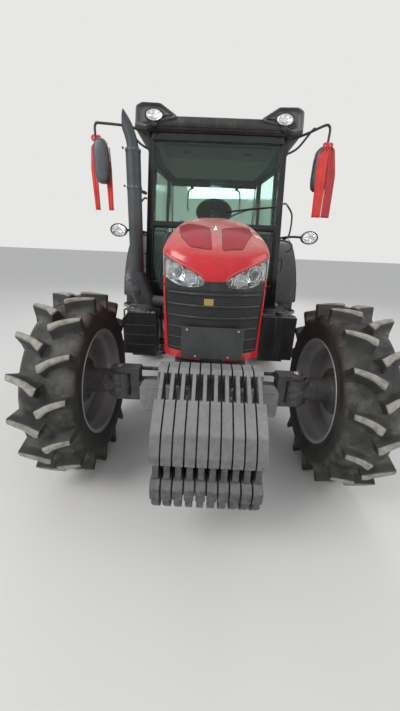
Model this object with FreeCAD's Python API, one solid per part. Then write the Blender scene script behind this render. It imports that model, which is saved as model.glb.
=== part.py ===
"""Four wheel drive farm tractor with cab, front weights and high lug tyres.

Millimetres, +Z up.  The nose points to -Y, +X is the tractor's left-hand side.
The origin is on the ground under the middle of the machine's outline.
Places along the machine are written from the front axle line, and at() turns
them into places from the origin.
"""
import FreeCAD
import Part
import math
import os

Vector = FreeCAD.Vector
ACROSS = Vector(1, 0, 0)
ALONG = Vector(0, 1, 0)
UP = Vector(0, 0, 1)

# Running gear
front_axle_place = -1281.0      # front axle line from the origin
wheelbase = 2450.0
slide_gap = 0.3                 # flat faces of pieces that move on each other
pin_gap = 0.5                   # round a pin or a shaft

front_tyre_radius = 640.0       # to the lug tips
front_tyre_width = 325.0
front_lug_height = 74.0
front_track = 1840.0            # between tyre middles
front_rim_radius = 383.0        # outside of the rim's flange
front_rim_width = 292.0
front_lug_count = 16            # on each half of the tyre

rear_tyre_radius = 870.0
rear_tyre_width = 430.0
rear_lug_height = 80.0
rear_track = 1700.0
rear_rim_radius = 508.0
rear_rim_width = 395.0
rear_lug_count = 16

lug_thickness = 36.0            # at the tip
lug_root_growth = 22.0          # extra thickness at its root
lug_sink = 14.0                 # the root's depth in the carcass
lug_slant = 44.0                # degrees from the axle's line
lug_buttress = 48.0             # the bar's reach down the shoulder
lug_tip_drop = 12.0             # the tread's crown
rim_wall = 9.0
rim_flange_height = 20.0
rim_disc_thickness = 14.0
rim_well_depth = 34.0
rim_dish_ring = 84.0            # flat ring of the disc round its hole
rim_sides = 16
front_disc_face = 10.0          # disc's inner face outboard of the rim's middle
rear_disc_face = 40.0
front_hub_radius = 108.0        # disc's hole
rear_hub_radius = 105.0
front_hub_inner = 752.0         # front hub's inner end from the centre line
hub_flange_reach = 62.0
hub_flange_thickness = 22.0
hub_waist = 18.0
hub_cap_length = 46.0
tyre_shoulder_drop = 62.0

# Front axle and steering
kingpin_place = 655.0           # kingpin axis from the centre line
kingpin_radius = 24.0
axle_beam_height = 128.0        # at the middle
axle_beam_depth = 120.0
axle_end_height = 92.0
axle_drop = 22.0                # beam's middle line below the wheel centre
axle_end_place = 520.0
axle_end_depth = 100.0
axle_belly_half = 160.0         # length of the beam's deep middle part, to one side
fork_root = 20.0                # the fork's overlap with the beam
fork_room = 8.0                 # behind the knuckle
pivot_rise = 45.0               # pivot pin above the beam's middle line
carrier_radius = 80.0
fork_gap = 176.0                # height between the fork's two eyes
fork_eye_height = 34.0
fork_eye_radius = 56.0
knuckle_radius = 84.0           # housing between the fork's eyes
steer_arm_reach = 185.0         # ball joint behind the kingpin
steer_arm_half = 30.0
steer_arm_thickness = 28.0
steer_rod_line = 32.0           # rod's line above the wheel centre
steer_rod_radius = 15.0
steer_eye_radius = 26.0
steer_cylinder_length = 420.0
steer_cylinder_radius = 36.0
steer_piston_radius = 20.0
steer_piston_reach = 345.0      # end of the thick part of the sliding rod

# Spine of the machine
bolster_half_width = 180.0
bolster_front = -430.0
bolster_rear = 250.0
bolster_bottom = 726.0
bolster_top = 870.0
pivot_lug_thickness = 36.0
pivot_lug_half = 70.0
pivot_lug_bottom = 604.0
pivot_pin_radius = 38.0
diff_radius = 102.0
diff_half_length = 105.0
side_box_reach = 400.0
side_box_depth = 105.0
side_box_bottom = 655.0
side_box_height = 165.0
engine_half_width = 185.0
engine_bottom = 600.0
engine_top = 1330.0
engine_rear = 985.0
gearbox_half_width = 175.0
gearbox_bottom = 500.0
gearbox_top = 985.0
final_front = wheelbase - 280.0
final_rear = wheelbase + 190.0
final_half_width = 225.0
final_bottom = 470.0
final_top = 1040.0
final_slope = 60.0              # cut corner at the top of its rear face
trumpet_radius = 112.0
trumpet_end_radius = 150.0
trumpet_end_length = 60.0
rear_hub_face = 600.0           # outer face of the axle flange

# Drive to the front axle
drive_shaft_radius = 28.0
drive_shaft_height = 554.0

# Front weights
weight_count = 10
weight_pitch = 55.0
weight_thickness = 47.0
weight_arm_thickness = 24.0
weight_web_thickness = 30.0     # between the upper and the lower slab
weight_bracket_inner = 98.0
weight_bracket_plate = 24.0
weight_bar_bottom = 885.0
weight_bar_top = 950.0
weight_bar_front = -520.0
weight_bar_rear = -470.0
weight_hook_top = 1003.0
weight_hook_lip = 12.0          # behind the bar
weight_hook_drop = 22.0         # the lip's reach below the bar's top
weight_fit = 2.0                # before and behind the bar

# Radiator, hood and nose
radiator_half_width = 215.0
radiator_front = -285.0
radiator_depth = 200.0
radiator_top = 1430.0
hood_wall = 8.0
hood_rear = 945.0
hood_hinge_place = 880.0
hood_hinge_height = 1800.0
hood_hinge_radius = 10.0
hood_hinge_half = 120.0         # outside of the two hinge ears from the centre line
hood_ear_thickness = 12.0
hood_bracket_thickness = 14.0
nose_front = -455.0
nose_bottom = 1010.0
nose_top = 1405.0
nose_rear = -330.0
nose_round = 440.0              # radius of the nose seen from above
nose_plan_half = 300.0
nose_facets = 8
headlamp_outline = (            # across and up, seen from the front
    (60.0, 1425.0), (150.0, 1408.0), (330.0, 1450.0), (330.0, 1560.0), (250.0, 1548.0), (60.0, 1470.0))
grille_low_half = 232.0         # opening's half width at its lower and at its upper edge
grille_high_half = 252.0
grille_top = 1390.0
plate_bottom = 1026.0
plate_height = 174.0
plate_half_width = 165.0
plate_thickness = 5.0
plate_stand_off = 9.0           # before the middle of the nose
plate_stud_radius = 6.0
grille_slots = 5
grille_slot_height = 30.0
grille_slot_pitch = 60.0
grille_slot_half = 200.0
grille_bottom = 1050.0

# Exhaust
exhaust_place = engine_rear - 185.0
exhaust_side = -687.0
exhaust_radius = 60.0
exhaust_bottom = 1180.0
exhaust_top = 2330.0
elbow_radius = 45.0
tail_radius = 43.0
stay_height = 2050.0

# Cab
cab_front = hood_rear + 95.0
cab_middle = wheelbase - 490.0  # middle pillars
cab_rear = wheelbase + 250.0
cab_floor_top = 1075.0
cab_floor_thickness = 60.0
cab_front_half = 672.0          # outside of the front pillars at the floor
cab_splay = 0.15                # widening to the rear, per unit
cab_tuck = 0.12                 # narrowing behind the middle pillars
cab_lean = 0.05                 # narrowing upwards
cab_head = 2525.0
cab_sill_drop = 25.0            # cab walls' lower edge below the floor's top
cowl_height = 1800.0            # foot of the windscreen
header_height = 50.0
pillar_depth = 45.0
pillar_width = 62.0
wall_front = cab_front - 20.0
wall_thickness = 40.0
rear_sill_top = 1830.0
arch_facets = 36
door_sill = 20.0
door_rim = 42.0
door_arch_room = 112.0
door_arch_facets = 4
roof_front = cab_front - 65.0
roof_rear = cab_rear + 130.0
roof_half = 735.0
roof_height = 220.0
pod_front = roof_front - 20.0
pod_rear = roof_front + 135.0
pod_outline = (                 # across, and up from cab_head
    (350.0, 87.0), (370.0, 71.0), (530.0, 43.0), (620.0, 2.0), (700.0, 22.0), (690.0, 146.0),
    (640.0, 170.0), (485.0, 167.0))
cowl_half = 345.0
glass_thickness = 6.0
door_gap = 5.0
hinge_heights = (1850.0, 2350.0)
hinge_length = 45.0
hinge_radius = 9.0
hinge_gap = 2.0                 # between the two barrels
hinge_stand_off = 14.0          # hinge line outside the cab's wall
hinge_leaf = 42.0
hinge_leaf_thickness = 7.0
door_thickness = 34.0
floor_half = 602.0
floor_step = wheelbase - 750.0
platform_bottom = 1240.0
platform_top = 1290.0
seat_height = platform_top + 180.0
steering_place = cab_front + 360.0
steering_height = 1960.0
steering_tilt = 32.0
steering_wheel_radius = 190.0
steering_rim_radius = 15.0
steering_hub_radius = 45.0
dashboard_half = 190.0
seat_half = 245.0
seat_depth = 470.0
cushion_thickness = 110.0
back_height = 510.0
step_box_front = front_tyre_radius + 160.0
steps_end = wheelbase - rear_tyre_radius - 90.0
step_box_rear = step_box_front + 0.6 * (steps_end - step_box_front)
step_box_bottom = 566.0
step_box_top = 1000.0
step_box_inner = 520.0
step_box_outer = 850.0
step_low = 390.0
step_tread = 22.0

# Mirrors, ribbons and stalk lamps
mirror_place = cab_front - 40.0
mirror_half_depth = 35.0
mirror_bottom = 2110.0
mirror_height = 340.0
mirror_arm_radius = 11.0
mirror_root_height = cab_head - 85.0
ribbon_width = 56.0
ribbon_depth = 15.7
ribbon_bottom = 1900.0
ribbon_top = 2440.0
lamp_side = 830.0
lamp_place = cab_front - 240.0
lamp_height = 1718.0
lamp_half_width = 74.0
lamp_half_height = 54.0
lamp_half_depth = 45.0

# Fenders
fender_clearance = 55.0
fender_wall = 8.0
fender_inner = 610.0
fender_outer = 1030.0
fender_bottom = 1040.0

# Rear linkage
link_pivot_place = final_rear - 30.0
link_pivot_height = 470.0
link_pivot_half = 246.0
link_pin_radius = 18.0
lift_pin_radius = 11.0
link_length = 790.0
link_spread_half = 412.0
link_angle = -10.0              # at rest, degrees
link_pin_reach = 380.0
link_thickness = 26.0
link_eye_radius = 44.0
link_height = 62.0
rockshaft_place = final_rear - 80.0
rockshaft_height = final_top + 45.0
rockshaft_radius = 42.0
rockshaft_half = 268.0
lift_arm_thickness = 34.0
lift_arm_height = 64.0
lift_rod_radius = 17.0
top_link_height = final_top - 135.0
top_link_length = 745.0
top_link_radius = 19.0
top_link_fork_half = 42.0
top_link_eye_half = 21.0
top_link_angle = 15.0
hitch_ball_radius = 42.0
hitch_ball_half = 22.0
hitch_bore = 28.7               # ball eye, category 2
hitch_pin_bore = 25.7
pto_radius = 17.5
pto_shoulder = 5.0
pto_height = 640.0
pto_length = 76.0
drawbar_half_width = 40.0
drawbar_thickness = 32.0
drawbar_height = 385.0
drawbar_end = final_rear + 445.0
drawbar_bore = 32.0
drawbar_hole_inset = 60.0

nodes = {}


def at(place):
    """Place from the origin of a place given from the front axle line."""
    return front_axle_place + place


def box(x0, x1, y0, y1, z0, z1):
    """Block between two corners; y is given from the front axle line."""
    return Part.makeBox(x1 - x0, y1 - y0, z1 - z0, Vector(x0, at(y0), z0))


def face_of(points):
    """Flat face on a closed polygon of vectors."""
    return Part.Face(Part.makePolygon(points + [points[0]]))


def side_plate(outline, x0, x1):
    """Outline of (along, up) pairs, extruded across from x0 to x1."""
    points = [Vector(x0, at(y), z) for y, z in outline]
    return face_of(points).extrude(Vector(x1 - x0, 0, 0))


def cross_plate(outline, y0, y1):
    """Outline of (across, up) pairs, extruded along from y0 to y1."""
    points = [Vector(x, at(y0), z) for x, z in outline]
    return face_of(points).extrude(Vector(0, y1 - y0, 0))


def rod(start, end, radius):
    """Round bar between two (across, along, up) points."""
    a = Vector(start[0], at(start[1]), start[2])
    b = Vector(end[0], at(end[1]), end[2])
    return Part.makeCylinder(radius, (b - a).Length, a, b - a)


def swept(points, radius, sides=8):
    """Many-sided bar along points, mitred at each bend."""
    line = [Vector(x, at(y), z) for x, y, z in points]
    runs = [(b - a).normalize() for a, b in zip(line, line[1:])]
    level = UP if abs(runs[0].z) < 0.9 else ALONG
    wide = runs[0].cross(level).normalize()
    high = wide.cross(runs[0]).normalize()
    ring = []
    for number in range(sides):
        turn = 2.0 * math.pi * (number + 0.5) / sides
        ring.append(line[0] + wide * (radius * math.cos(turn)) + high * (radius * math.sin(turn)))
    rings = [ring]
    for number, run in enumerate(runs):
        after = runs[number + 1] if number + 1 < len(runs) else run
        mitre = (run + after).normalize()
        corner = line[number + 1]
        ring = [point + run * ((corner - point).dot(mitre) / run.dot(mitre)) for point in rings[-1]]
        rings.append(ring)
    return prism_between(rings).removeSplitter()


def few_sided(start, end, radius, sides=10):
    """Bar with its flats at a radius, for faces that nothing turns in."""
    return swept([start, end], radius / math.cos(math.pi / sides), sides)


def arch_block(radius, x0, x1):
    """Many-sided block about the rear wheel line, its flats at a radius."""
    reach = radius / math.cos(math.pi / arch_facets)
    points = []
    for number in range(arch_facets):
        turn = 2.0 * math.pi * (number + 0.5) / arch_facets
        points.append((wheelbase + reach * math.cos(turn), rear_tyre_radius + reach * math.sin(turn)))
    return side_plate(points, x0, x1)


def mirrored(shape):
    """The same piece on the other side of the machine."""
    return shape.mirror(Vector(0, 0, 0), ACROSS)


def joined(shapes):
    """One solid from touching or overlapping ones."""
    return shapes[0].multiFuse(shapes[1:]).removeSplitter()


def apart(shapes):
    """Solids of one node that do not touch."""
    return Part.makeCompound(shapes)


def between(a, b, share):
    """Value a share of the way from a to b."""
    return a + (b - a) * share


def prism_between(sections):
    """Solid through closed rings of points, with flat or split sides."""
    faces = []
    count = len(sections[0])
    for low, high in zip(sections, sections[1:]):
        for i in range(count):
            j = (i + 1) % count
            faces.append(face_of([low[i], low[j], high[j]]))
            faces.append(face_of([low[i], high[j], high[i]]))
    for ring in (sections[0], sections[-1]):
        for i in range(1, count - 1):
            faces.append(face_of([ring[0], ring[i], ring[i + 1]]))
    solid = Part.Solid(Part.Shell(faces))
    if solid.Volume < 0:
        solid.reverse()
    return solid


def lug(radius, width, lug_height, middle_angle, hand):
    """One straight bar from the tread's middle to the shoulder, wider at its root."""
    half = width / 2.0
    slant = math.radians(lug_slant)
    out = Vector(0, math.sin(middle_angle), math.cos(middle_angle))
    turn = Vector(0, math.cos(middle_angle), -math.sin(middle_angle))
    line = ACROSS * (hand * math.cos(slant)) + turn * math.sin(slant)
    wide = line.cross(out)
    middle = half / 2.0 * math.tan(slant)
    # distance across the tyre, drop of the tip, drop of the root, cut square to the axle
    stations = [(-0.04 * half, 0.0, 0.0, 0.0), (half, lug_tip_drop, lug_buttress, 1.0)]
    rings = []
    for across, tip_drop, root_drop, squared in stations:
        ring = []
        for side, drop in ((-1, root_drop + lug_height + lug_sink), (-1, tip_drop),
                           (1, tip_drop), (1, root_drop + lug_height + lug_sink)):
            height = radius - drop
            for _ in range(3):
                offset = side * (lug_thickness + lug_root_growth * (radius - height) / lug_height) / 2.0
                along = (across - squared * hand * offset * math.sin(slant)) / math.cos(slant)
                run = along * math.sin(slant) - middle - hand * offset * math.cos(slant)
                height = math.sqrt((radius - drop) ** 2 - run ** 2)
            ring.append(line * along - turn * middle + out * height + wide * offset)
        rings.append(ring)
    return prism_between(rings).removeSplitter()


def many_sided_ring(profile, sides, turn):
    """Ring about the wheel line with flat sides, from (across, radius) pairs."""
    faces = []
    step = 2.0 * math.pi / sides
    for number in range(sides):
        low = step * (number + turn)
        high = step * (number + 1.0 + turn)
        for (x0, r0), (x1, r1) in zip(profile, profile[1:] + profile[:1]):
            faces.append(face_of([
                Vector(x0, r0 * math.sin(low), r0 * math.cos(low)),
                Vector(x0, r0 * math.sin(high), r0 * math.cos(high)),
                Vector(x1, r1 * math.sin(high), r1 * math.cos(high)),
                Vector(x1, r1 * math.sin(low), r1 * math.cos(low))]))
    solid = Part.Solid(Part.Shell(faces))
    if solid.Volume < 0:
        solid.reverse()
    return solid


def tyre(radius, width, lug_height, lug_count, rim_radius, rim_width, place):
    """High lug tyre: a flat sided carcass, one side to a lug, with bars on it."""
    half = width / 2.0
    base = radius - lug_height
    bead = (rim_radius - rim_flange_height + slide_gap) / math.cos(math.pi / lug_count)
    foot = rim_width / 2.0 - rim_wall - slide_gap
    shoulder = base - tyre_shoulder_drop
    profile = [
        (-foot, bead), (-0.97 * half, shoulder), (-0.62 * half, base),
        (0.62 * half, base), (0.97 * half, shoulder), (foot, bead)]
    carcass = many_sided_ring(profile, lug_count, -0.5)
    pitch = 2.0 * math.pi / lug_count
    lugs = []
    for number in range(lug_count):
        for hand, share in ((1.0, 0.0), (-1.0, 0.5)):
            lugs.append(lug(radius, width, lug_height, pitch * (number + share), hand))
    whole = carcass.multiFuse(lugs).removeSplitter()
    whole.translate(Vector(0, at(place), radius))
    return whole


def rim(radius, width, disc_face, hub_radius, place, height, side):
    """Drop centre rim and its dished disc; disc_face is outboard of the rim's middle."""
    half = width / 2.0
    hand = 1.0 if side > 0 else -1.0
    seat = radius - rim_flange_height
    well = seat - rim_well_depth
    lip = half - rim_wall
    disc_back = disc_face + rim_disc_thickness
    profile = [
        (-half, radius), (-lip, seat), (-0.40 * half, well), (0.40 * half, well),
        (lip, seat), (half, radius), (lip, seat - rim_wall),
        (0.42 * half, well - rim_wall), (disc_back, hub_radius + rim_dish_ring),
        (disc_back, hub_radius), (disc_face, hub_radius), (disc_face, hub_radius + rim_dish_ring),
        (0.30 * half, well - rim_wall), (-0.42 * half, well - rim_wall),
        (-lip, seat - rim_wall)]
    shape = many_sided_ring([(hand * x, r) for x, r in profile], rim_sides, 0.0)
    shape.translate(Vector(side, at(place), height))
    return shape


def hub(hand, middle, disc_face, hole, place, height, inner):
    """Hub of a wheel, through its disc's hole, from its inner end outwards."""
    face = middle + disc_face
    waist = hole - hub_waist
    cap = face + rim_disc_thickness + hub_cap_length
    boss = rod((hand * inner, place, height), (hand * cap, place, height), waist)
    back = face - hub_flange_thickness
    profile = [
        (back, waist - hub_waist), (back, hole + hub_flange_reach),
        (face, hole + hub_flange_reach), (face, hole), (face + rim_disc_thickness, hole),
        (face + rim_disc_thickness, waist - hub_waist)]
    flange = many_sided_ring([(hand * x, r) for x, r in profile], rim_sides, 0.0)
    flange.translate(Vector(0, at(place), height))
    return joined([boss, flange])


def make_wheels():
    """Four rims and four tyres, each wheel's disc on its hub."""
    front = tyre(front_tyre_radius, front_tyre_width, front_lug_height, front_lug_count,
                 front_rim_radius, front_rim_width, 0.0)
    rear = tyre(rear_tyre_radius, rear_tyre_width, rear_lug_height, rear_lug_count,
                rear_rim_radius, rear_rim_width, wheelbase)
    for name, hand in (("left", 1.0), ("right", -1.0)):
        side = hand * front_track / 2.0
        piece = front.copy()
        piece.translate(Vector(side, 0, 0))
        nodes["front_tyre_" + name] = piece
        nodes["front_rim_" + name] = joined([
            rim(front_rim_radius, front_rim_width, front_disc_face, front_hub_radius,
                0.0, front_tyre_radius, side),
            hub(hand, front_track / 2.0, front_disc_face, front_hub_radius, 0.0,
                front_tyre_radius, front_hub_inner)])
        side = hand * rear_track / 2.0
        piece = rear.copy()
        piece.translate(Vector(side, 0, 0))
        nodes["rear_tyre_" + name] = piece
        nodes["rear_rim_" + name] = joined([
            rim(rear_rim_radius, rear_rim_width, rear_disc_face, rear_hub_radius,
                wheelbase, rear_tyre_radius, side),
            hub(hand, rear_track / 2.0, rear_disc_face, rear_hub_radius, wheelbase,
                rear_tyre_radius, rear_hub_face + slide_gap)])


def make_front_axle():
    """Axle beam with its forks, the knuckles and the steering rod."""
    line = front_tyre_radius - axle_drop
    rings = []
    end_size = (axle_end_height, axle_end_depth)
    belly_size = (axle_beam_height, axle_beam_depth)
    for side, (height, depth) in ((-axle_end_place, end_size), (-axle_belly_half, belly_size),
                                  (axle_belly_half, belly_size), (axle_end_place, end_size)):
        low = line - height / 2.0
        high = line + height / 2.0
        rings.append([Vector(side, at(-depth / 2.0), low), Vector(side, at(depth / 2.0), low),
                      Vector(side, at(depth / 2.0), high), Vector(side, at(-depth / 2.0), high)])
    pieces = [prism_between(rings).removeSplitter()]
    pieces.append(swept([(0, -diff_half_length, line), (0, diff_half_length, line)], diff_radius, 16))
    pin_end = diff_half_length + pin_gap + pivot_lug_thickness
    pieces.append(swept([(0, -pin_end, pivot_line()), (0, pin_end, pivot_line())], pivot_pin_radius, 12))
    centre = front_tyre_radius
    eye_low = fork_gap / 2.0
    eye_high = eye_low + fork_eye_height
    fork_back = kingpin_place - knuckle_radius - fork_room
    for hand in (1.0, -1.0):
        x0, x1 = sorted((hand * (axle_end_place - fork_root), hand * fork_back))
        pieces.append(box(x0, x1, -fork_eye_radius, fork_eye_radius, centre - eye_high, centre + eye_high))
        x0, x1 = sorted((hand * (fork_back - fork_root / 2.0), hand * kingpin_place))
        for low in (centre + eye_low, centre - eye_high):
            high = low + fork_eye_height
            king = (hand * kingpin_place, 0, low), (hand * kingpin_place, 0, high)
            eye = few_sided(*king, fork_eye_radius, 12)
            arm = box(x0, x1, -fork_eye_radius, fork_eye_radius, low, high)
            pieces.append(joined([eye, arm]).cut(few_sided(*king, kingpin_radius + pin_gap, 12)))
        x0, x1 = sorted((hand * steer_cylinder_length * 0.3, hand * steer_cylinder_length * 0.4))
        pieces.append(box(x0, x1, 0.0, steer_arm_reach, centre - steer_eye_radius, centre + steer_rod_line))
    rod_line = centre + steer_rod_line
    half = steer_cylinder_length / 2.0
    pieces.append(swept([(-half, steer_arm_reach, rod_line), (half, steer_arm_reach, rod_line)],
                        steer_cylinder_radius, 12))
    nodes["front_axle"] = joined(pieces).cut(
        few_sided((-half - 1.0, steer_arm_reach, rod_line), (half + 1.0, steer_arm_reach, rod_line),
                  steer_piston_radius + pin_gap))

    arm_top = rod_line - steer_eye_radius - slide_gap
    arm_low = arm_top - steer_arm_thickness
    for name, hand in (("left", 1.0), ("right", -1.0)):
        x = hand * kingpin_place
        housing = swept([(x, 0, centre - eye_low + slide_gap), (x, 0, centre + eye_low - slide_gap)],
                        knuckle_radius, 12)
        pin = rod((x, 0, centre - eye_high), (x, 0, centre + eye_high), kingpin_radius)
        carrier_end = (hand * (front_hub_inner - slide_gap), 0, centre)
        carrier = swept([(x, 0, centre), carrier_end], carrier_radius, 12)
        arm = box(x - steer_arm_half, x + steer_arm_half, 0.0, steer_arm_reach, arm_low, arm_top)
        tip = swept([(x, steer_arm_reach, arm_low), (x, steer_arm_reach, arm_top)],
                    steer_arm_half / math.cos(math.pi / 8))
        nodes["knuckle_" + name] = joined([housing, pin, carrier, arm, tip])
    pieces = []
    for reach, radius in ((steer_piston_reach, steer_piston_radius), (kingpin_place, steer_rod_radius)):
        pieces.append(swept([(-reach, steer_arm_reach, rod_line), (reach, steer_arm_reach, rod_line)],
                            radius, 10))
    for x in (-kingpin_place, kingpin_place):
        pieces.append(swept([(x, steer_arm_reach, rod_line - steer_eye_radius),
                             (x, steer_arm_reach, rod_line + steer_eye_radius)], steer_eye_radius))
    nodes["steering_rod"] = joined(pieces)


def pivot_line():
    """Height of the pin that the front axle would rock on."""
    return front_tyre_radius - axle_drop + pivot_rise


def make_spine():
    """Front support, engine, gearbox, final drive and the drive shaft to the front axle."""
    bolster = box(-bolster_half_width, bolster_half_width, bolster_front, bolster_rear,
                  bolster_bottom, bolster_top)
    pieces = [bolster]
    inner = diff_half_length + pin_gap
    outer = inner + pivot_lug_thickness
    for y0, y1 in ((-outer, -inner), (inner, outer)):
        pieces.append(box(-pivot_lug_half, pivot_lug_half, y0, y1, pivot_lug_bottom, bolster_bottom + 1.0))
    pieces.append(box(-side_box_reach, side_box_reach, bolster_front, bolster_front + side_box_depth,
                      side_box_bottom, side_box_bottom + side_box_height))
    pivot_bore = few_sided((0, -outer - 1.0, pivot_line()), (0, outer + 1.0, pivot_line()),
                           pivot_pin_radius + pin_gap, 12)
    nodes["front_support"] = joined(pieces).cut(pivot_bore)
    nodes["gearbox"] = box(-gearbox_half_width, gearbox_half_width, engine_rear, final_front,
                           gearbox_bottom, gearbox_top)
    pieces = [side_plate(
        [(final_front, final_bottom), (final_front, final_top), (final_rear - final_slope, final_top),
         (final_rear, final_top - 1.5 * final_slope), (final_rear, final_bottom)],
        -final_half_width, final_half_width)]
    for hand in (1.0, -1.0):
        inner = (hand * (final_half_width - 20.0), wheelbase, rear_tyre_radius)
        outer = (hand * rear_hub_face, wheelbase, rear_tyre_radius)
        collar = (hand * (rear_hub_face - trumpet_end_length), wheelbase, rear_tyre_radius)
        pieces.append(swept([inner, outer], trumpet_radius, 16))
        pieces.append(swept([collar, outer], trumpet_end_radius, 16))
    nodes["final_drive"] = joined(pieces)
    nodes["front_drive_shaft"] = swept(
        [(0, diff_half_length, drive_shaft_height), (0, engine_rear, drive_shaft_height)], drive_shaft_radius)
    nodes["radiator"] = box(-radiator_half_width, radiator_half_width, radiator_front,
                            radiator_front + radiator_depth, bolster_top, radiator_top)


def make_engine():
    """Engine block with the two brackets and the pins that the hood turns on."""
    block = box(-engine_half_width, engine_half_width, bolster_rear, engine_rear, engine_bottom, engine_top)
    pieces = [block]
    for hand in (1.0, -1.0):
        inner = hand * (hood_hinge_half - hood_ear_thickness - slide_gap)
        x0, x1 = sorted((inner, inner - hand * hood_bracket_thickness))
        pieces.append(side_plate(
            [(hood_hinge_place - 60.0, engine_top - 1.0), (hood_hinge_place - 20.0, hood_hinge_height + 20.0),
             (hood_hinge_place + 20.0, hood_hinge_height + 20.0), (hood_hinge_place + 60.0, engine_top - 1.0)],
            x0, x1))
        pieces.append(rod((inner - hand * 2.0, hood_hinge_place, hood_hinge_height),
                          (hand * hood_hinge_half, hood_hinge_place, hood_hinge_height), hood_hinge_radius))
    nodes["engine_block"] = joined(pieces)


def make_weights():
    """Bracket with its bar, and the row of hung weights."""
    front = weight_bar_front
    back = weight_bar_rear + weight_fit
    lip_low = weight_bar_top - weight_hook_drop
    arms = []
    for hand in (1.0, -1.0):
        x0, x1 = sorted((hand * weight_bracket_inner, hand * (weight_bracket_inner + weight_bracket_plate)))
        arms.append(side_plate(
            [(bolster_front, bolster_bottom), (bolster_front, bolster_top - 1.0),
             (weight_bar_rear, lip_low - 6.0), (front + 10.0, lip_low - 6.0),
             (front + 10.0, weight_bar_bottom), (weight_bar_rear, weight_bar_bottom)], x0, x1))
    half = weight_count * weight_pitch / 2.0 + 8.0
    bar = box(-half, half, front, weight_bar_rear, weight_bar_bottom, weight_bar_top)
    nodes["weight_bracket"] = joined(arms + [bar])

    # each outline is given behind the bar's front face and above the ground
    arm_outline = [
        (front - weight_fit, weight_bar_top - 10.0), (front - 34.0, weight_hook_top),
        (front - 300.0, 785.0), (front - 300.0, 690.0), (front - weight_fit, weight_bar_bottom - 60.0)]
    hook_outline = [
        (back, lip_low), (back + weight_hook_lip, lip_low),
        (back + weight_hook_lip, weight_hook_top - 14.0), (back, weight_hook_top),
        (front - 34.0, weight_hook_top), (front - 58.0, weight_hook_top - 20.0),
        (front - weight_fit, weight_bar_bottom + 10.0), (front - weight_fit, weight_bar_top + slide_gap),
        (back, weight_bar_top + slide_gap)]
    slab_outline = [
        (front - 95.0, 912.0), (front - 285.0, 798.0), (front - 345.0, 690.0), (front - 345.0, 612.0),
        (front - 95.0, 612.0)]
    foot_outline = [
        (front - 318.0, 534.0), (front - 348.0, 505.0), (front - 335.0, 400.0), (front - 265.0, 312.0),
        (front - 130.0, 312.0), (front - 80.0, 420.0), (front - 80.0, 534.0)]
    web_outline = [
        (front - 310.0, 640.0), (front - 310.0, 520.0), (front - 85.0, 520.0), (front - 85.0, 640.0)]
    weights = []
    for number in range(weight_count):
        middle = (number - (weight_count - 1) / 2.0) * weight_pitch
        pieces = []
        for outline, width in ((arm_outline, weight_arm_thickness), (hook_outline, weight_thickness),
                               (slab_outline, weight_thickness), (foot_outline, weight_thickness),
                               (web_outline, weight_web_thickness)):
            pieces.append(side_plate(outline, middle - width / 2.0, middle + width / 2.0))
        weights.append(joined(pieces))
    nodes["front_weights"] = apart(weights)


def hood_form(inset):
    """Body of the hood: plan, side and cross outlines laid over each other."""
    # place, side half width, waist half width, waist height, crown half width, crown height
    table = [
        (-520.0, 262.0, 278.0, 1530.0, 150.0, 1640.0),
        (-200.0, 284.0, 290.0, 1590.0, 190.0, 1760.0),
        (hood_rear, 335.0, 325.0, 1690.0, 215.0, 1900.0)]
    rings = []
    for place, side, waist, waist_height, crown, crown_height in table:
        half = [(side - inset, 900.0), (waist - inset, waist_height), (crown - inset * 0.5, crown_height)]
        ring = half + [(-x, z) for x, z in reversed(half)]
        rings.append([Vector(x, at(place), z) for x, z in ring])
    body = prism_between(rings).removeSplitter()
    top = [
        (nose_front - 60.0, 1410.0), (nose_front, 1455.0), (-400.0, 1577.0), (-310.0, 1640.0),
        (-200.0, 1690.0), (150.0, 1768.0), (hood_rear, 1862.0)]
    low = [(hood_rear, 1240.0), (300.0, 1080.0), (-250.0, nose_bottom), (nose_front - 60.0, nose_bottom)]
    outline = [(y, z - inset) for y, z in top] + [(y, z - 4.0 * inset) for y, z in low]
    side = side_plate(outline, -500.0, 500.0)
    nose = nose_front + inset
    reach = nose_plan_half
    plan = []
    for number in range(nose_facets + 1):
        x = reach * (2.0 * number / nose_facets - 1.0)
        plan.append((x, nose + nose_round - math.sqrt(nose_round ** 2 - x ** 2)))
    plan += [(500.0, nose + 300.0), (500.0, hood_rear + inset)]
    plan += [(-500.0, hood_rear + inset), (-500.0, nose + 300.0)]
    points = [Vector(x, at(y), 800.0) for x, y in plan]
    return body.common(side).common(face_of(points).extrude(Vector(0, 0, 1400.0)))


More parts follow.
